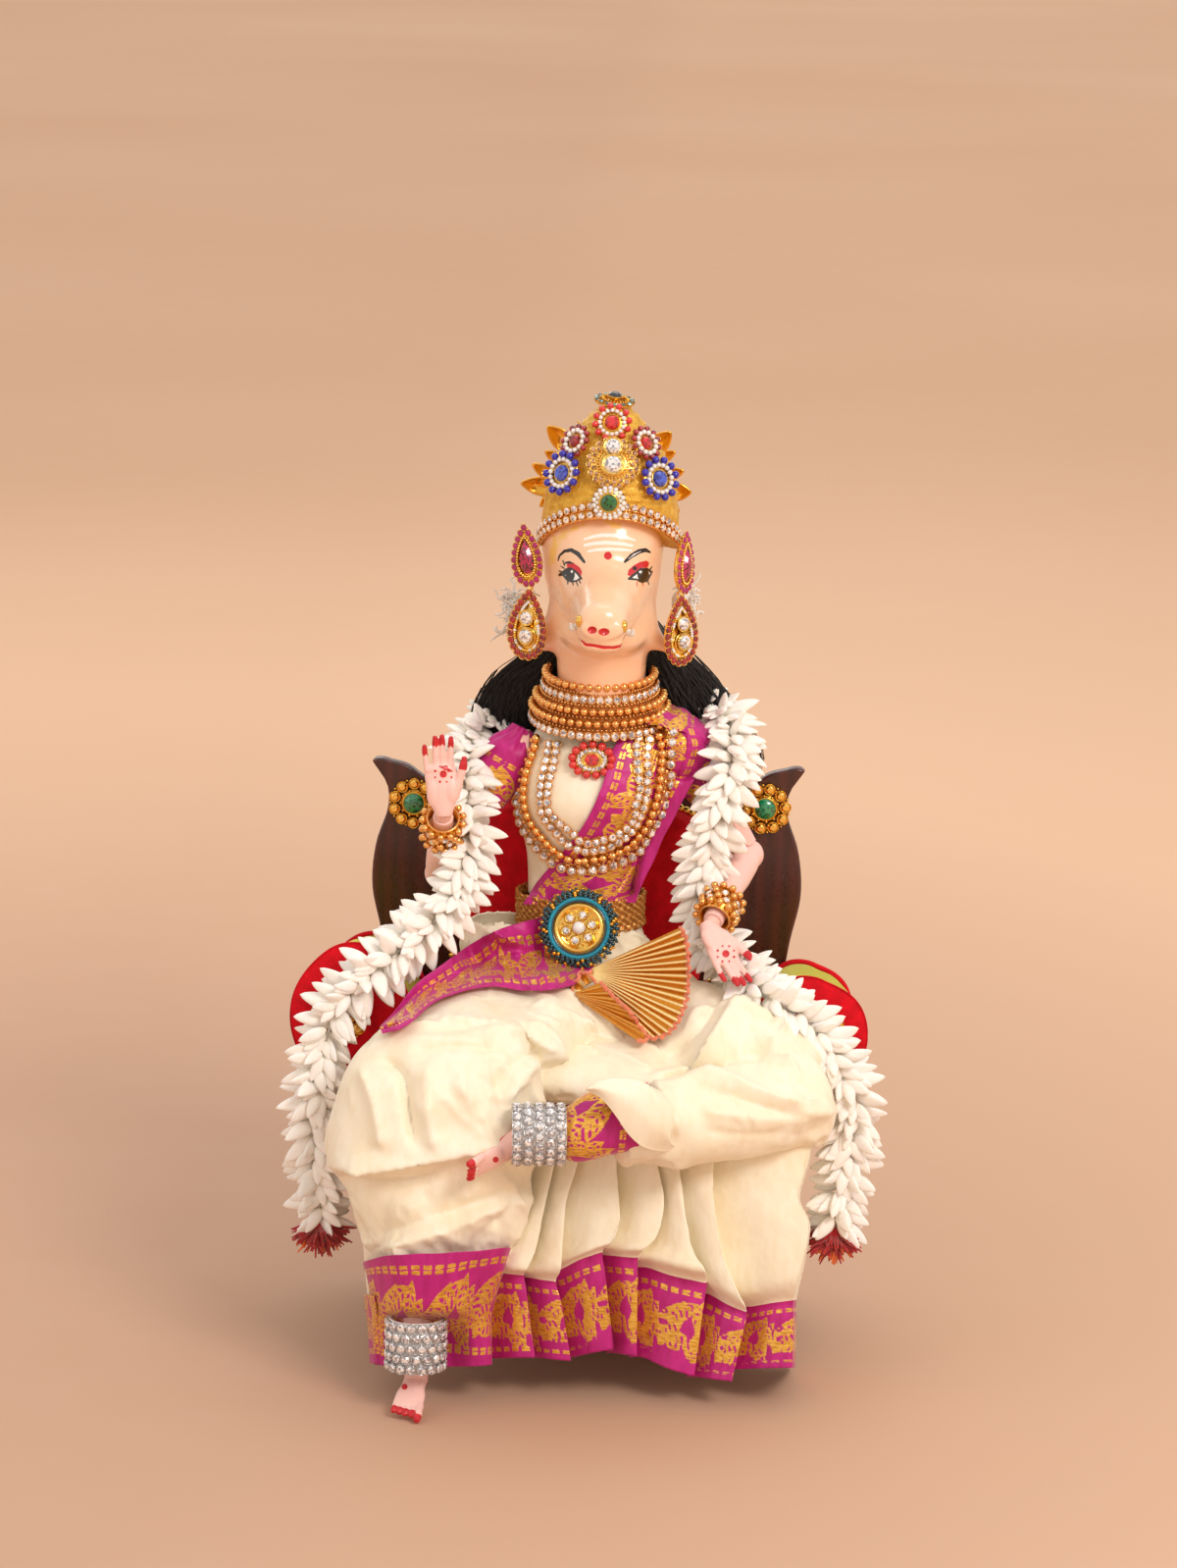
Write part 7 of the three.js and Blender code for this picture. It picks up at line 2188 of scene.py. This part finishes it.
# sash of woven border from under the belt brooch over the right thigh
upper = [(388, 1047), (404, 1028), (425, 1002), (451, 983), (484, 960), (512, 946), (540, 938), (565, 932), (592, 930)]
lower = [(390, 1053), (412, 1047), (443, 1022), (475, 1009), (505, 1004), (535, 1009), (565, 1008), (590, 1002), (606, 990)]
us, vs = between(lower, upper, 200, 80)
rv, rf = arrays(right_cloth.data)
tree = BVHTree.FromPolygons([Vector(p) for p in np.concatenate([rv, lap_v])], rf + [tuple(i + len(rv) for i in q) for q in lap_f])
g = laid(tree, us, vs, 2.0, np.interp(us, [385, 450, 520, 560, 606], [-50, -36, -25, -17, -14.5]), 90, 70)
t01 = np.linspace(0, 1, 80)[:, None]
s01 = np.linspace(0, 1, 200)[None, :]
g = relief_grid(g, 0.8 * np.exp(-((t01 - 0.62 + 0.3 * s01) / 0.1) ** 2) + 0.3 * np.sin(t01 * 7 + s01 * 8) + 0.25 * fbm(g, 9, 71))
g = finer(g, 2, 1)
T_ = arc(g, 0)
S_ = arc(g[30:50], 1).mean(0)[None, :] + 0 * g[..., 0]
w_ = 20.0
border, zari = weave(S_, T_ * w_ / np.maximum(T_[-1:], 9.0), w_, 8.0)
border = np.full(zari.shape, 4.0)
sash = cloth_piece("silk_sash", [(g, border, zari)], "sash", thick=0.4)

# belt: gold braid round the waist
n_a, n_t = 460, 17
v = []
for i in range(n_a):
    a = 2 * math.pi * i / n_a
    for j in range(n_t):
        t = j / (n_t - 1)
        z = 132.0 + 9.8 * t + 1.3 * math.cos(a - 0.1) * 0 + 0.35 * math.sin(a * 29) * (1 if t in (0.0, 1.0) else 0.2)
        s_ = a * 18.5
        plait = math.sin(2 * math.pi * (s_ / 2.6 + abs(((t * 3) % 1) - 0.5) * 1.3)) * math.sin(math.pi * min(1, 1.3 * (((t * 3) % 1) if t < 1 else 1)))
        r_ = 0.42 * plait + (0.5 if j in (0, 1, n_t - 2, n_t - 1) else 0.2) + 0.25 * math.sin(s_ * 5.1 + t * 40)
        v.append((-2 + (20.0 + r_) * math.cos(a), 4 + (16.4 + r_) * math.sin(a), z))
v = np.array(v)
f = grid_faces(n_a, n_t, False) + [((n_a - 1) * n_t + j, j, j + 1, (n_a - 1) * n_t + j + 1) for j in range(n_t - 1)]
f = [tuple(reversed(q)) for q in f]
b = Build().add(v, f, pleat=0.5 + 0.5 * np.sin(v[:, 2] * 3.1 + np.arctan2(v[:, 1] - 4, v[:, 0] + 2) * 36))
me = modify(b.mesh("gold_belt_braid"), ("SOLIDIFY", {"thickness": 0.8 * MM, "offset": -1.0}))
for q in me.polygons:
    q.use_smooth = True
belt = place("gold_belt_braid", me, m_belt, ROOT, "belt")

# belt brooch
b = Build()
m = facing((-1.5, -18.0, 134.9), (0.0, -1.0, 0.32))
R = 12.5
b.put(lathe([(0, -0.9), (R * 0.84, -0.9), (R * 0.86, 0.2), (R * 0.7, 0.9), (0, 1.0)], 60), m, 0)
for ring_, (rr, nn, zz, br) in enumerate([(R * 0.93, 46, -0.5, 0.74), (R * 0.875, 42, 0.35, 0.74), (R * 0.815, 40, 0.9, 0.66)]):
    for k, q in enumerate(around(m, rr, nn, ring_ * 0.07, zz)):
        bead(b, q, br, 4 if (k + ring_) % 5 == 2 else 1)
for k, q in enumerate(around(m, R * 0.985, 38, 0.02, -0.6)):
    bead(b, q, 0.52, 4 if k % 2 else 1)
for k in range(64):
    a = 2 * math.pi * k / 64
    e = scaled(facing(at(m, R * 0.735 * math.cos(a), R * 0.735 * math.sin(a), 1.1), m[:, 2]), 1)
    q = np.column_stack([m[:, 0] * math.cos(a + 0.9) + m[:, 1] * math.sin(a + 0.9), m[:, 1] * math.cos(a + 0.9) - m[:, 0] * math.sin(a + 0.9), m[:, 2], at(m, R * 0.735 * math.cos(a), R * 0.735 * math.sin(a), 1.15)])
    b.put(BALL, scaled(q, 1.05, 0.52, 0.8), 2)
b.put(_torus(R * 0.665, 0.42, 80, 8), np.column_stack([m[:, :3], at(m, 0, 0, 1.15)]), 3)
b.put(lathe([(R * 0.62, 0.6), (R * 0.62, 1.5), (R * 0.585, 1.95), (R * 0.545, 1.85), (R * 0.50, 1.45), (R * 0.46, 1.25), (R * 0.2, 1.3), (0, 1.35)], 72), m, 0)
for k, q in enumerate(around(m, R * 0.33, 6, 0.26, 1.35)):
    b.put(lathe([(R * 0.135, 0), (R * 0.14, 0.35), (R * 0.115, 0.6), (R * 0.08, 0.55), (0, 0.5)], 18), q, 0)
    q2 = np.array(q)
    q2[:, 3] = at(q, 0, 0, 0.25)
    stone(b, q2, 1.35, 5, 0, 4, True)
for k, q in enumerate(around(m, R * 0.40, 6, 0.26 + math.pi / 6, 1.35)):
    bead(b, q, 0.45, 0)
b.put(lathe([(R * 0.17, 1.3), (R * 0.18, 1.8), (R * 0.15, 2.0), (0, 2.0)], 30), m, 0)
bead(b, np.column_stack([m[:, :3], at(m, 0, 0, 1.7)]), 1.95, 6, 0.8, True)
b.make("belt_brooch_beads", [m_gold, m_teal_bead, m_turquoise, m_dark_stone, m_gold_deep, m_clear, m_pearl], ROOT, "belt_brooch", "teal_bead")

# pleated gold fan tucked under the belt, with a coral edging
b = Build()


lv, lf = arrays(left_cloth.data)
fan_over = BVHTree.FromPolygons([Vector(q) for q in np.concatenate([lv, lap_v])], lf + [tuple(i + len(lv) for i in q) for q in lap_f])


def fan(apex, edge, count, y0, y1, amp, r0=0.06, wave=1.2, ns=None, nt=34, back=0.0):
    ns = ns or count * 12 + 1
    e = spline(np.column_stack([edge, np.zeros(len(edge))]), ns)[:, :2]
    s = np.linspace(0, 1, ns)
    ph = (s * count) % 1.0
    tri = 1 - 4 * np.abs(ph - 0.5)
    deep = []
    for i in range(0, ns, 6):
        h = on_sight(fan_over, e[i][0], e[i][1], 1.6 + amp)
        deep.append(min(y1, h[0][1] - 4.5 * max(0.0, h[1][2])) if h is not None else y1)
    deep = np.interp(np.arange(ns), np.arange(0, ns, 6), np.convolve(np.pad(deep, 3, mode="edge"), np.ones(7) / 7, "valid") - 0.8)
    rows = []
    for r in np.linspace(r0, 1, nt):
        line = []
        for i in range(ns):
            q = np.array(apex) + (e[i] - np.array(apex)) * r * (1 + 0.012 * wave * tri[i] * r)
            p = at_y(q[0], q[1], y0 + (deep[i] - y0) * r)
            line.append(p + BACK * (amp * (0.12 + 0.88 * r) * tri[i] * (0.75 + 0.25 * math.sin(i * 0.37)) + back))
        rows.append(line)
    g = np.array(rows)
    # the second value is high on the pleat crests, which the gold lurex paints brighter: a painted highlight
    return g, np.broadcast_to(np.clip(0.5 + 0.5 * tri, 0, 1), g.shape[:2])


edge = [(694, 945), (699, 957), (701, 976), (701.5, 997), (699.5, 1018), (690, 1042), (677, 1055), (663, 1058)]
g1, p1 = fan((597, 990), edge, 17, -34.5, -40, 1.15)
g1 = g1 + BACK * 1.7
b.add(g1.reshape(-1, 3), grid_faces(*g1.shape[:2]), 0, pleat=p1.ravel())
g2, p2 = fan((583, 1013), [(612, 1001), (628, 1018), (643, 1032), (655, 1050), (661, 1058), (651, 1061)], 9, -37.5, -38.5, 0.7, 0.1)
g2 = g2 + BACK * 2.3
b.add(g2.reshape(-1, 3), grid_faces(*g2.shape[:2]), 0, pleat=p2.ravel() * 0.7)
fr_o = spline(np.array([(602, 990, 0), (592, 993, 0), (585, 1002, 0), (581, 1010, 0), (576, 1018, 0), (573, 1027, 0), (577, 1034, 0), (583, 1038, 0), (580, 1043, 0)]), 120)[:, :2]
fr_i = spline(np.array([(606, 1000, 0), (600, 1003, 0), (594, 1008, 0), (590, 1014, 0), (587, 1020, 0), (586, 1026, 0), (587, 1031, 0), (589, 1034, 0), (590, 1037, 0)]), 120)[:, :2]
g3 = np.empty((16, 120, 3))
p3 = np.empty((16, 120))
for i, t in enumerate(np.linspace(0, 1, 16)):
    for j in range(120):
        q = fr_o[j] * (1 - t) + fr_i[j] * t
        w3 = math.sin(j / 119 * 2 * math.pi * 5.5)
        g3[i, j] = at_y(q[0] + 1.6 * w3 * (1 - t), q[1] + 1.0 * w3 * (1 - t), -36.5) + BACK * (1.5 * w3 * (1 - t))
        # the frill's wave crests get the lurex's painted highlight
        p3[i, j] = 0.5 + 0.5 * w3
b.add(g3.reshape(-1, 3), grid_faces(16, 120), 0, pleat=p3.ravel())
me = modify(b.mesh("gold_fan_cloth"), ("SOLIDIFY", {"thickness": 0.3 * MM, "offset": 0.0}))
for q in me.polygons:
    q.use_smooth = True
fan_cloth = place("gold_fan_cloth", me, m_lurex, ROOT, "waist_fan")
b = Build()
for line in (g1[-1], g1[:, -1], g2[-1], g3[0]):
    line = np.array(line)
    k = max(2, len(line))
    wob = np.sin(np.linspace(0, len(line) * 0.9, len(line)))[:, None] * np.array([0.18, -0.1, 0.22])
    b.add(*tube(line + wob + BACK * 0.15, [0.55, 0.55], 8, k * 2, (0.1, -1, 0.2)), 0)
fan_edge = b.make("coral_edging", [m_coral], ROOT, (), "gold_fabric")
fan_tree_v = g1.reshape(-1, 3)


# ---- beads and stones on the neck and chest ----------------------------------------
all_v = np.concatenate([blouse_v, pallu_v])
neck_tree = BVHTree.FromPolygons([Vector(q) for q in all_v], list(blouse_f) + [tuple(i + len(blouse_v) for i in q) for q in pallu_f])

CH = np.array([2.9, 5.0, 205.0])
TILT = 0.16


def collar(a, h, lift=0.0, k=0.92):
    r = np.interp(h, [-9, -2, 7.5], [21.4, 19.2, 15.3]) + lift
    x, y = r * math.cos(a), k * r * math.sin(a)
    return CH + (x, y * math.cos(TILT) - h * math.sin(TILT), y * math.sin(TILT) + h * math.cos(TILT))


def collar_h(v):
    hs = np.linspace(-10, 9, 60)
    vs_ = [px(collar(-math.pi / 2, h, 1.4)[None])[0, 1] for h in hs]
    return float(np.interp(-v, [-x for x in vs_], hs))


b = Build()
band = []
for h in np.linspace(-8.2, 6.8, 12):
    band.append([collar(a, h, -0.35 + 0.15 * math.sin(h * 5)) for a in np.linspace(0, 2 * math.pi, 97)[:-1]])
band = np.array(band)
b.add(band.reshape(-1, 3), [tuple(reversed(q)) for q in grid_faces(12, 96, True)], 0)
me = modify(b.mesh("choker_band"), ("SOLIDIFY", {"thickness": 0.7 * MM, "offset": -1.0}))
for q in me.polygons:
    q.use_smooth = True
band_ob = place("choker_band", me, m_braid, ROOT, ())
b = Build()
for v_, kind, n_ in ((702, "g", 40), (715, "s", 43), (727, "g", 46), (739, "g", 48), (752, "s", 50)):
    h = collar_h(v_)
    for k in range(n_):
        a = 2 * math.pi * (k + (0.5 if kind == "s" else 0)) / n_
        p = collar(a, h, 0.35)
        q = facing(p, (math.cos(a), 0.92 * math.sin(a), 0.06))
        if kind == "g":
            bead(b, q, 1.3, 0, 1.0)
        else:
            stone(b, q, 1.27, 2, 0, 4, True)
    # the wire that each row is strung on
    line = [collar(a, h, 0.5) for a in np.linspace(0, 2 * math.pi, 121)]
    b.add(*tube(line, [0.34, 0.34], 8, 240, (0, 0, 1), False), 1)
for h in (collar_h(708.5), collar_h(721), collar_h(733), collar_h(745.5)):
    for k in range(96):
        a = 2 * math.pi * k / 96
        bead(b, facing(collar(a, h, 0.35), (math.cos(a), 0.92 * math.sin(a), 0.06)), 0.42, 0)
choker = b.make("choker_beads", [m_rose, m_gold_deep, m_clear], ROOT, "choker", "gold_bead")

ROWS = {
    "A": [(460, 620), (445, 670), (440, 725), (430, 775), (415, 825), (400, 880), (390, 950), (385, 1025), (395, 1090), (445, 1145), (495, 1185), (545, 1225), (585, 1270), (635, 1290), (700, 1290), (765, 1270), (820, 1250), (880, 1215), (935, 1160), (965, 1080), (980, 1010), (990, 940), (985, 875), (980, 810), (975, 750), (970, 690), (975, 630), (990, 575)],
    "B": [(400, 615), (392, 675), (380, 730), (370, 785), (355, 840), (345, 895), (338, 955), (340, 1030), (352, 1110), (400, 1180), (445, 1230), (490, 1280), (550, 1325), (620, 1345), (695, 1345), (775, 1325), (840, 1290), (905, 1245), (960, 1180), (1000, 1100), (1025, 1030), (1040, 960), (1046, 895), (1044, 830), (1040, 765), (1042, 705), (1050, 645), (1062, 585)],
    "C": [(325, 585), (312, 660), (292, 730), (268, 800), (250, 875), (240, 960), (242, 1045), (262, 1125), (305, 1200), (368, 1275), (430, 1340), (495, 1390), (570, 1408), (655, 1408), (750, 1390), (835, 1360), (910, 1315), (975, 1250), (1035, 1175), (1075, 1085), (1100, 1000), (1115, 910), (1122, 830), (1130, 745), (1138, 655), (1145, 575), (1150, 505)],
    "D": [(262, 590), (250, 660), (222, 730), (192, 805), (172, 890), (170, 975), (182, 1070), (208, 1165), (250, 1245), (305, 1318), (370, 1390), (460, 1455), (565, 1483), (665, 1480), (762, 1458), (862, 1425), (955, 1375), (1028, 1300), (1085, 1205), (1130, 1120), (1162, 1030), (1185, 940), (1200, 850), (1208, 765), (1214, 680), (1218, 600), (1225, 530)],
}


def strung(b, row, step, lift, make, first=0.5):
    q = spline(np.array([c6(x, y) + (0.0,) for x, y in row]), 400)
    d = np.concatenate([[0], np.cumsum(np.linalg.norm(np.diff(q, axis=0), axis=1))])
    n_ = int(d[-1] / step)
    y_last = -8.0
    line, places = [], []
    for k in range(n_ + 1):
        s = (k + first) * d[-1] / (n_ + 1)
        u, v = np.interp(s, d, q[:, 0]), np.interp(s, d, q[:, 1])
        h = on_sight(neck_tree, u, v, lift)
        if h is None:
            h = (at_y(u, v, y_last), np.array([0, -1.0, 0.1]))
        y_last = 0.5 * y_last + 0.5 * h[0][1] if k else h[0][1]
        places.append(h)
    ys = np.array([p[0][1] for p in places])
    pad_ = np.pad(ys, 2, mode="edge")
    soft_y = (pad_[:-4] + pad_[1:-3] + pad_[2:-2] + pad_[3:-1] + pad_[4:]) / 5
    for k, (p, n_2) in enumerate(places):
        p = p + np.array([0, min(0.0, soft_y[k] - ys[k]) * 0.7, 0])
        line.append(p)
        n_2 = unit(n_2 + np.array([0, -0.8, 0.1]))
        make(facing(p, n_2), k)
    b.add(*tube(np.array(line) + np.array([0, 0.1, 0]), [0.3, 0.3], 7, len(line) * 3, (0.05, -1, 0.1)), 1)
    return line


b = Build()
strung(b, ROWS["A"], 8.7, 0.3, lambda m, k: stone(b, m, 1.34, 2, 0, 4))
strung(b, ROWS["B"], 8.9, 0.3, lambda m, k: stone(b, m, 1.34, 2, 0, 4))
strung(b, ROWS["C"], 8.9, 0.15, lambda m, k: bead(b, m, 1.5, 0))
strung(b, ROWS["D"], 10.8, 0.25, lambda m, k: stone(b, m, 1.45, 2, 0, 4))
mid_row = [tuple((np.array(p) + np.array(q)) / 2) for p, q in zip(ROWS["C"], ROWS["D"])]
strung(b, mid_row, 10.6, 0.1, lambda m, k: bead(b, m, 0.85, 0))
necklace = b.make("long_necklace_beads", [m_rose, m_gold_deep, m_clear], ROOT, "long_necklace", "gold_bead")

# flower pendant
b = Build()
m = facing((1.4, -13.2, 187.4), (0, -0.98, 0.2))
b.put(lathe([(0, -1.0), (5.4, -1.0), (5.6, -0.2), (4.4, 0.1), (0, 0.2)], 48), scaled(m, 1, 0.76, 1), 0)
for k in range(13):
    a = 2 * math.pi * k / 13 + 0.1
    bead(b, facing(at(m, 6.25 * math.cos(a), 4.8 * math.sin(a), -0.9), m[:, 2]), 1.33, 1, 1.0, True)
for k in range(18):
    a = 2 * math.pi * k / 18
    stone(b, facing(at(m, 4.1 * math.cos(a), 2.95 * math.sin(a), 0.0), m[:, 2]), 0.78, 2, 0, 0)
b.put(_torus(2.45, 0.28, 40, 8), scaled(np.column_stack([m[:, :3], at(m, 0, 0, 0.5)]), 1, 0.84, 1), 0)
g_ = np.column_stack([m[:, 0] * 2.4, m[:, 1] * 2.0, m[:, 2] * 1.9, at(m, 0, 0, 0.55)])
b.put(GEM_FINE, g_, 3, smooth=False)
b.put(_torus(0.9, 0.22, 18, 7), np.column_stack([m[:, 0], m[:, 2], m[:, 1], at(m, 0, 5.6, -0.4)]), 0)
b.make("flower_pendant", [m_gold, m_red_bead, m_clear, m_red_stone], ROOT, "pendant", "red_stone")


# ---- garlands ----------------------------------------------------------------------
def bud_shape(nu=13, nv=10):
    """A folded pointed bud along +X, length 1, half width 0.2."""
    v, tip = [], []
    for i in range(nu):
        u = i / (nu - 1)
        w = 0.19 * max(0.0, math.sin(math.pi * u ** 0.86)) ** 0.66 * (1 - 0.1 * u) + 0.008
        h = w * (0.7 - 0.12 * u)
        bend = 0.05 * math.sin(u * math.pi)
        for j in range(nv):
            a = 2 * math.pi * j / nv
            y, z = w * math.cos(a), h * math.sin(a)
            crease = 0.07 * math.exp(-((math.cos(a)) / 0.3) ** 2) * math.sin(math.pi * u) if math.sin(a) > 0 else 0
            v.append((u, y, z + bend - crease * 1.1))
            tip.append(u)
    f = [tuple(reversed(q)) for q in grid_faces(nu, nv, True)]
    f.append(tuple(reversed(range(nv))) if False else tuple(range(nv)))
    f.append(tuple((nu - 1) * nv + j for j in reversed(range(nv))))
    return np.array(v), f, np.array(tip)


BUD, BUD_F, BUD_TIP = bud_shape()
BUD, BUD_F = oriented(BUD, BUD_F)
BASE_RING = _torus(0.16, 0.06, 10, 6)


def garland(side, path, node):
    rng = np.random.default_rng(5 if side == "right" else 8)
    line = spline(np.array(path, float), 700)
    d = np.concatenate([[0], np.cumsum(np.linalg.norm(np.diff(line, axis=0), axis=1))])
    total = d[-1]
    b = Build()
    count = int(total / 4.1)
    for k in range(count):
        s = (k + 0.5) * total / count
        p = np.array([np.interp(s, d, line[:, j]) for j in range(3)])
        p2 = np.array([np.interp(min(total, s + 2), d, line[:, j]) for j in range(3)])
        p1 = np.array([np.interp(max(0, s - 2), d, line[:, j]) for j in range(3)])
        t = unit(p2 - p1)
        ahead = unit(BACK - t * (BACK @ t))
        across = np.cross(t, ahead)
        spots = [(0.0, 1), (0.75, 0.95), (-0.7, 0.95), (math.pi, 1), (math.pi - 0.75, 0.95), (math.pi + 0.7, 0.95), (-math.pi / 2 + rng.uniform(-0.4, 0.4), 0.85)]
        behind = p[1] > 14
        for a0, size in spots:
            a = a0 + rng.uniform(-0.28, 0.28) + 0.2 * math.sin(k * 1.7)
            radial = across * math.cos(a) + ahead * math.sin(a)
            L = rng.uniform(9.6, 12.8) * size * (0.86 if behind else 1.0)
            lean = rng.uniform(0.1, 0.8)
            x = unit(radial + t * lean + rng.uniform(-0.09, 0.09, 3))
            z = unit(ahead + 0.5 * rng.uniform(-1, 1) * t - x * ((ahead + 0.0) @ x) + 1e-3)
            y = unit(np.cross(z, x))
            z = np.cross(x, y)
            start = p + x * rng.uniform(0.0, 0.8) + t * rng.uniform(-0.9, 0.9)
            W_ = rng.uniform(0.92, 1.2)
            m = np.column_stack([x * L, y * L * W_, z * L * W_, start])
            b.add(BUD @ m[:, :3].T + m[:, 3], BUD_F, 0, True, tip=BUD_TIP * 1.0 + rng.uniform(-0.06, 0.1))
        for _ in range(2):
            x = unit(t * rng.uniform(0.5, 1.0) + across * rng.uniform(-1.0, 1.0) + ahead * rng.uniform(0.25, 0.6))
            z = unit(ahead - x * (ahead @ x))
            y = unit(np.cross(z, x))
            L = rng.uniform(7.5, 9.6)
            m = np.column_stack([x * L, y * L * 1.15, np.cross(x, y) * L * 1.15, p + ahead * rng.uniform(2.0, 3.4) - t * 2.0 + across * rng.uniform(-1.4, 1.4)])
            b.add(BUD @ m[:, :3].T + m[:, 3], BUD_F, 0, True, tip=BUD_TIP * 1.0 + rng.uniform(0.0, 0.1))
    flowers = b.make("white_buds_" + side, [m_flower], ROOT, (), "white_flower")
    # the thread that it is strung on
    cu = bpy.data.curves.new("garland_thread_" + side, "CURVE")
    cu.dimensions = "3D"
    sp = cu.splines.new("POLY")
    pts = evenly(line, 150)
    sp.points.add(len(pts) - 1)
    for q, o in zip(pts, sp.points):
        o.co = (*(q * MM), 1.0)
    cu.bevel_depth = 0.5 * MM
    cu.bevel_resolution = 3
    cu.use_fill_caps = True
    cu.materials.append(m_thread)
    o = bpy.data.objects.new("garland_thread_" + side, cu)
    bpy.context.scene.collection.objects.link(o)
    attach(o, ROOT)
    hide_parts(node)
    # red wool tassel
    end = line[-1]
    t = unit(line[-1] - line[-8])
    b = Build()
    b.add(*ellipsoid(end + t * 3.0, (4.6, 4.2, 3.6), 18, 12), 0)
    for k in range(420):
        a, e = rng.uniform(0, 2 * math.pi), rng.uniform(0, 1) ** 0.6 * 1.25
        dr = unit(np.array([math.cos(a) * math.sin(e), math.sin(a) * math.sin(e), -math.cos(e) * 0.8]))
        L = rng.uniform(6.0, 9.6)
        p = end + t * 2 + rng.uniform(-1.2, 1.2, 3)
        bend_ = rng.uniform(-1.4, 1.4, 3)
        low = dr[2] < -0.55 and rng.uniform() < (0.55 if side == "left" else 0.25)
        b.add(*tube([p, p + dr * L * 0.5 + bend_ * 0.5, p + dr * L + bend_], [0.42, 0.5, 0.26], 5, 5, (0.3, 0.2, 1)), 1 if low else 0)
    tassel = b.make("wool_tassel_" + side, [m_wool, m_orange], ROOT, (), "white_flower")
    return float(total)


garland_mm = {
    "right": garland("right", [[2.6, 35.4, 201.2], [-17, 32, 199], [-30, 23, 193], [-37, 10, 188], [-38.5, -4, 182], [-37, -13, 173], [-35.5, -19, 161], [-40.5, -25.5, 145], [-50, -32, 135], [-62, -38, 126.5], [-73.5, -41, 114.5], [-79.5, -41.5, 97], [-81, -41, 74], [-79.5, -41, 46]], "garland_right"),
    "left": garland("left", [[4.4, 35.4, 201.2], [24, 32, 200.5], [37, 22, 198.5], [43.5, 8, 195], [44.5, -5, 187], [41, -11, 171], [36.5, -10, 150], [38, -12, 133], [45.5, -23, 127.5], [53.5, -37, 122.5], [63.5, -42, 117], [75.5, -42, 106], [84, -42, 90.5], [83.5, -41.5, 71], [80, -41, 48]], "garland_left"),
}

# ---- hair --------------------------------------------------------------------------
hair_rows = [[10, 24.5, 170, 30, 4], [9.5, 24, 178, 41, 6], [7.5, 22.5, 187, 42, 8], [4.5, 20.5, 197, 39, 9], [4, 18.5, 206, 34, 9.5], [4.5, 17, 213, 27, 10], [5, 16, 220, 20, 9], [5, 15, 227, 14, 7]]
v, f = stacked(hair_rows, 72, 10)
n = normals(v, f)
v = v + n * (0.9 * fbm(v * (1, 1, 0.35), 5, 81) + 0.6 * fbm(v, 2.4, 82))[:, None]
b = Build().add(v, f)
rng = np.random.default_rng(11)


def hair_row(t):
    return stack_row(hair_rows, t)


for k in range(2300):
    a = rng.uniform(0, 2 * math.pi)
    t0 = rng.uniform(0.0, 0.55) if rng.uniform() < 0.5 else rng.uniform(0.0, 0.25)
    t1 = min(1.0, t0 + rng.uniform(0.25, 0.55))
    out_ = rng.uniform(-0.4, 1.6) + (rng.uniform(0, 2.0) if rng.uniform() < 0.3 else 0)
    pts = []
    w0, w1 = rng.uniform(0, 6), rng.uniform(3, 7)
    for s in np.linspace(0, 1, 6):
        t = (t1 + (t0 - t1) * s) * (len(hair_rows) - 1)
        r = hair_row(t)
        da = 0.06 * math.sin(w0 + s * w1)
        grow_ = out_ + 0.5 * math.sin(w0 * 2 + s * w1 * 1.4) + 0.5 * s * (out_ > 1.4)
        pts.append((r[0] + (r[3] + grow_) * math.cos(a + da), r[1] + (r[4] + grow_) * math.sin(a + da), r[2]))
    b.add(*tube(pts, [0.2, 0.17, 0.07], 3, 9, (0.2, 1, 0.1)))
hair_ob = b.make("black_hair_strands", [m_hair], ROOT, "hair_fall", "black_hair")


# ---- what is cloth, and how large it was cut ---------------------------------------
flat_of(pleats, pleat_size[1])
flat_of(pallu, pallu_size[0])
for s_ in sleeves:
    flat_of(s_, 25.0)
sheet_sizes = {o.name: [round(x / MM, 1) for x in flat_of(o, w_mm)] for o, w_mm in ((right_cloth, 120.0), (left_cloth, 92.0), (lap_cloth, 80.0), (pleats, pleat_size[1]), (blouse, 57.0), (pallu, pallu_size[0]), (sleeves[0], 25.0), (sleeves[1], 25.0), (sash, 20.0), (belt, 11.2), (fan_cloth, 34.0), (cuff_right, flat_cuff[1]), (cuff_left, cuff2_size[1]))}
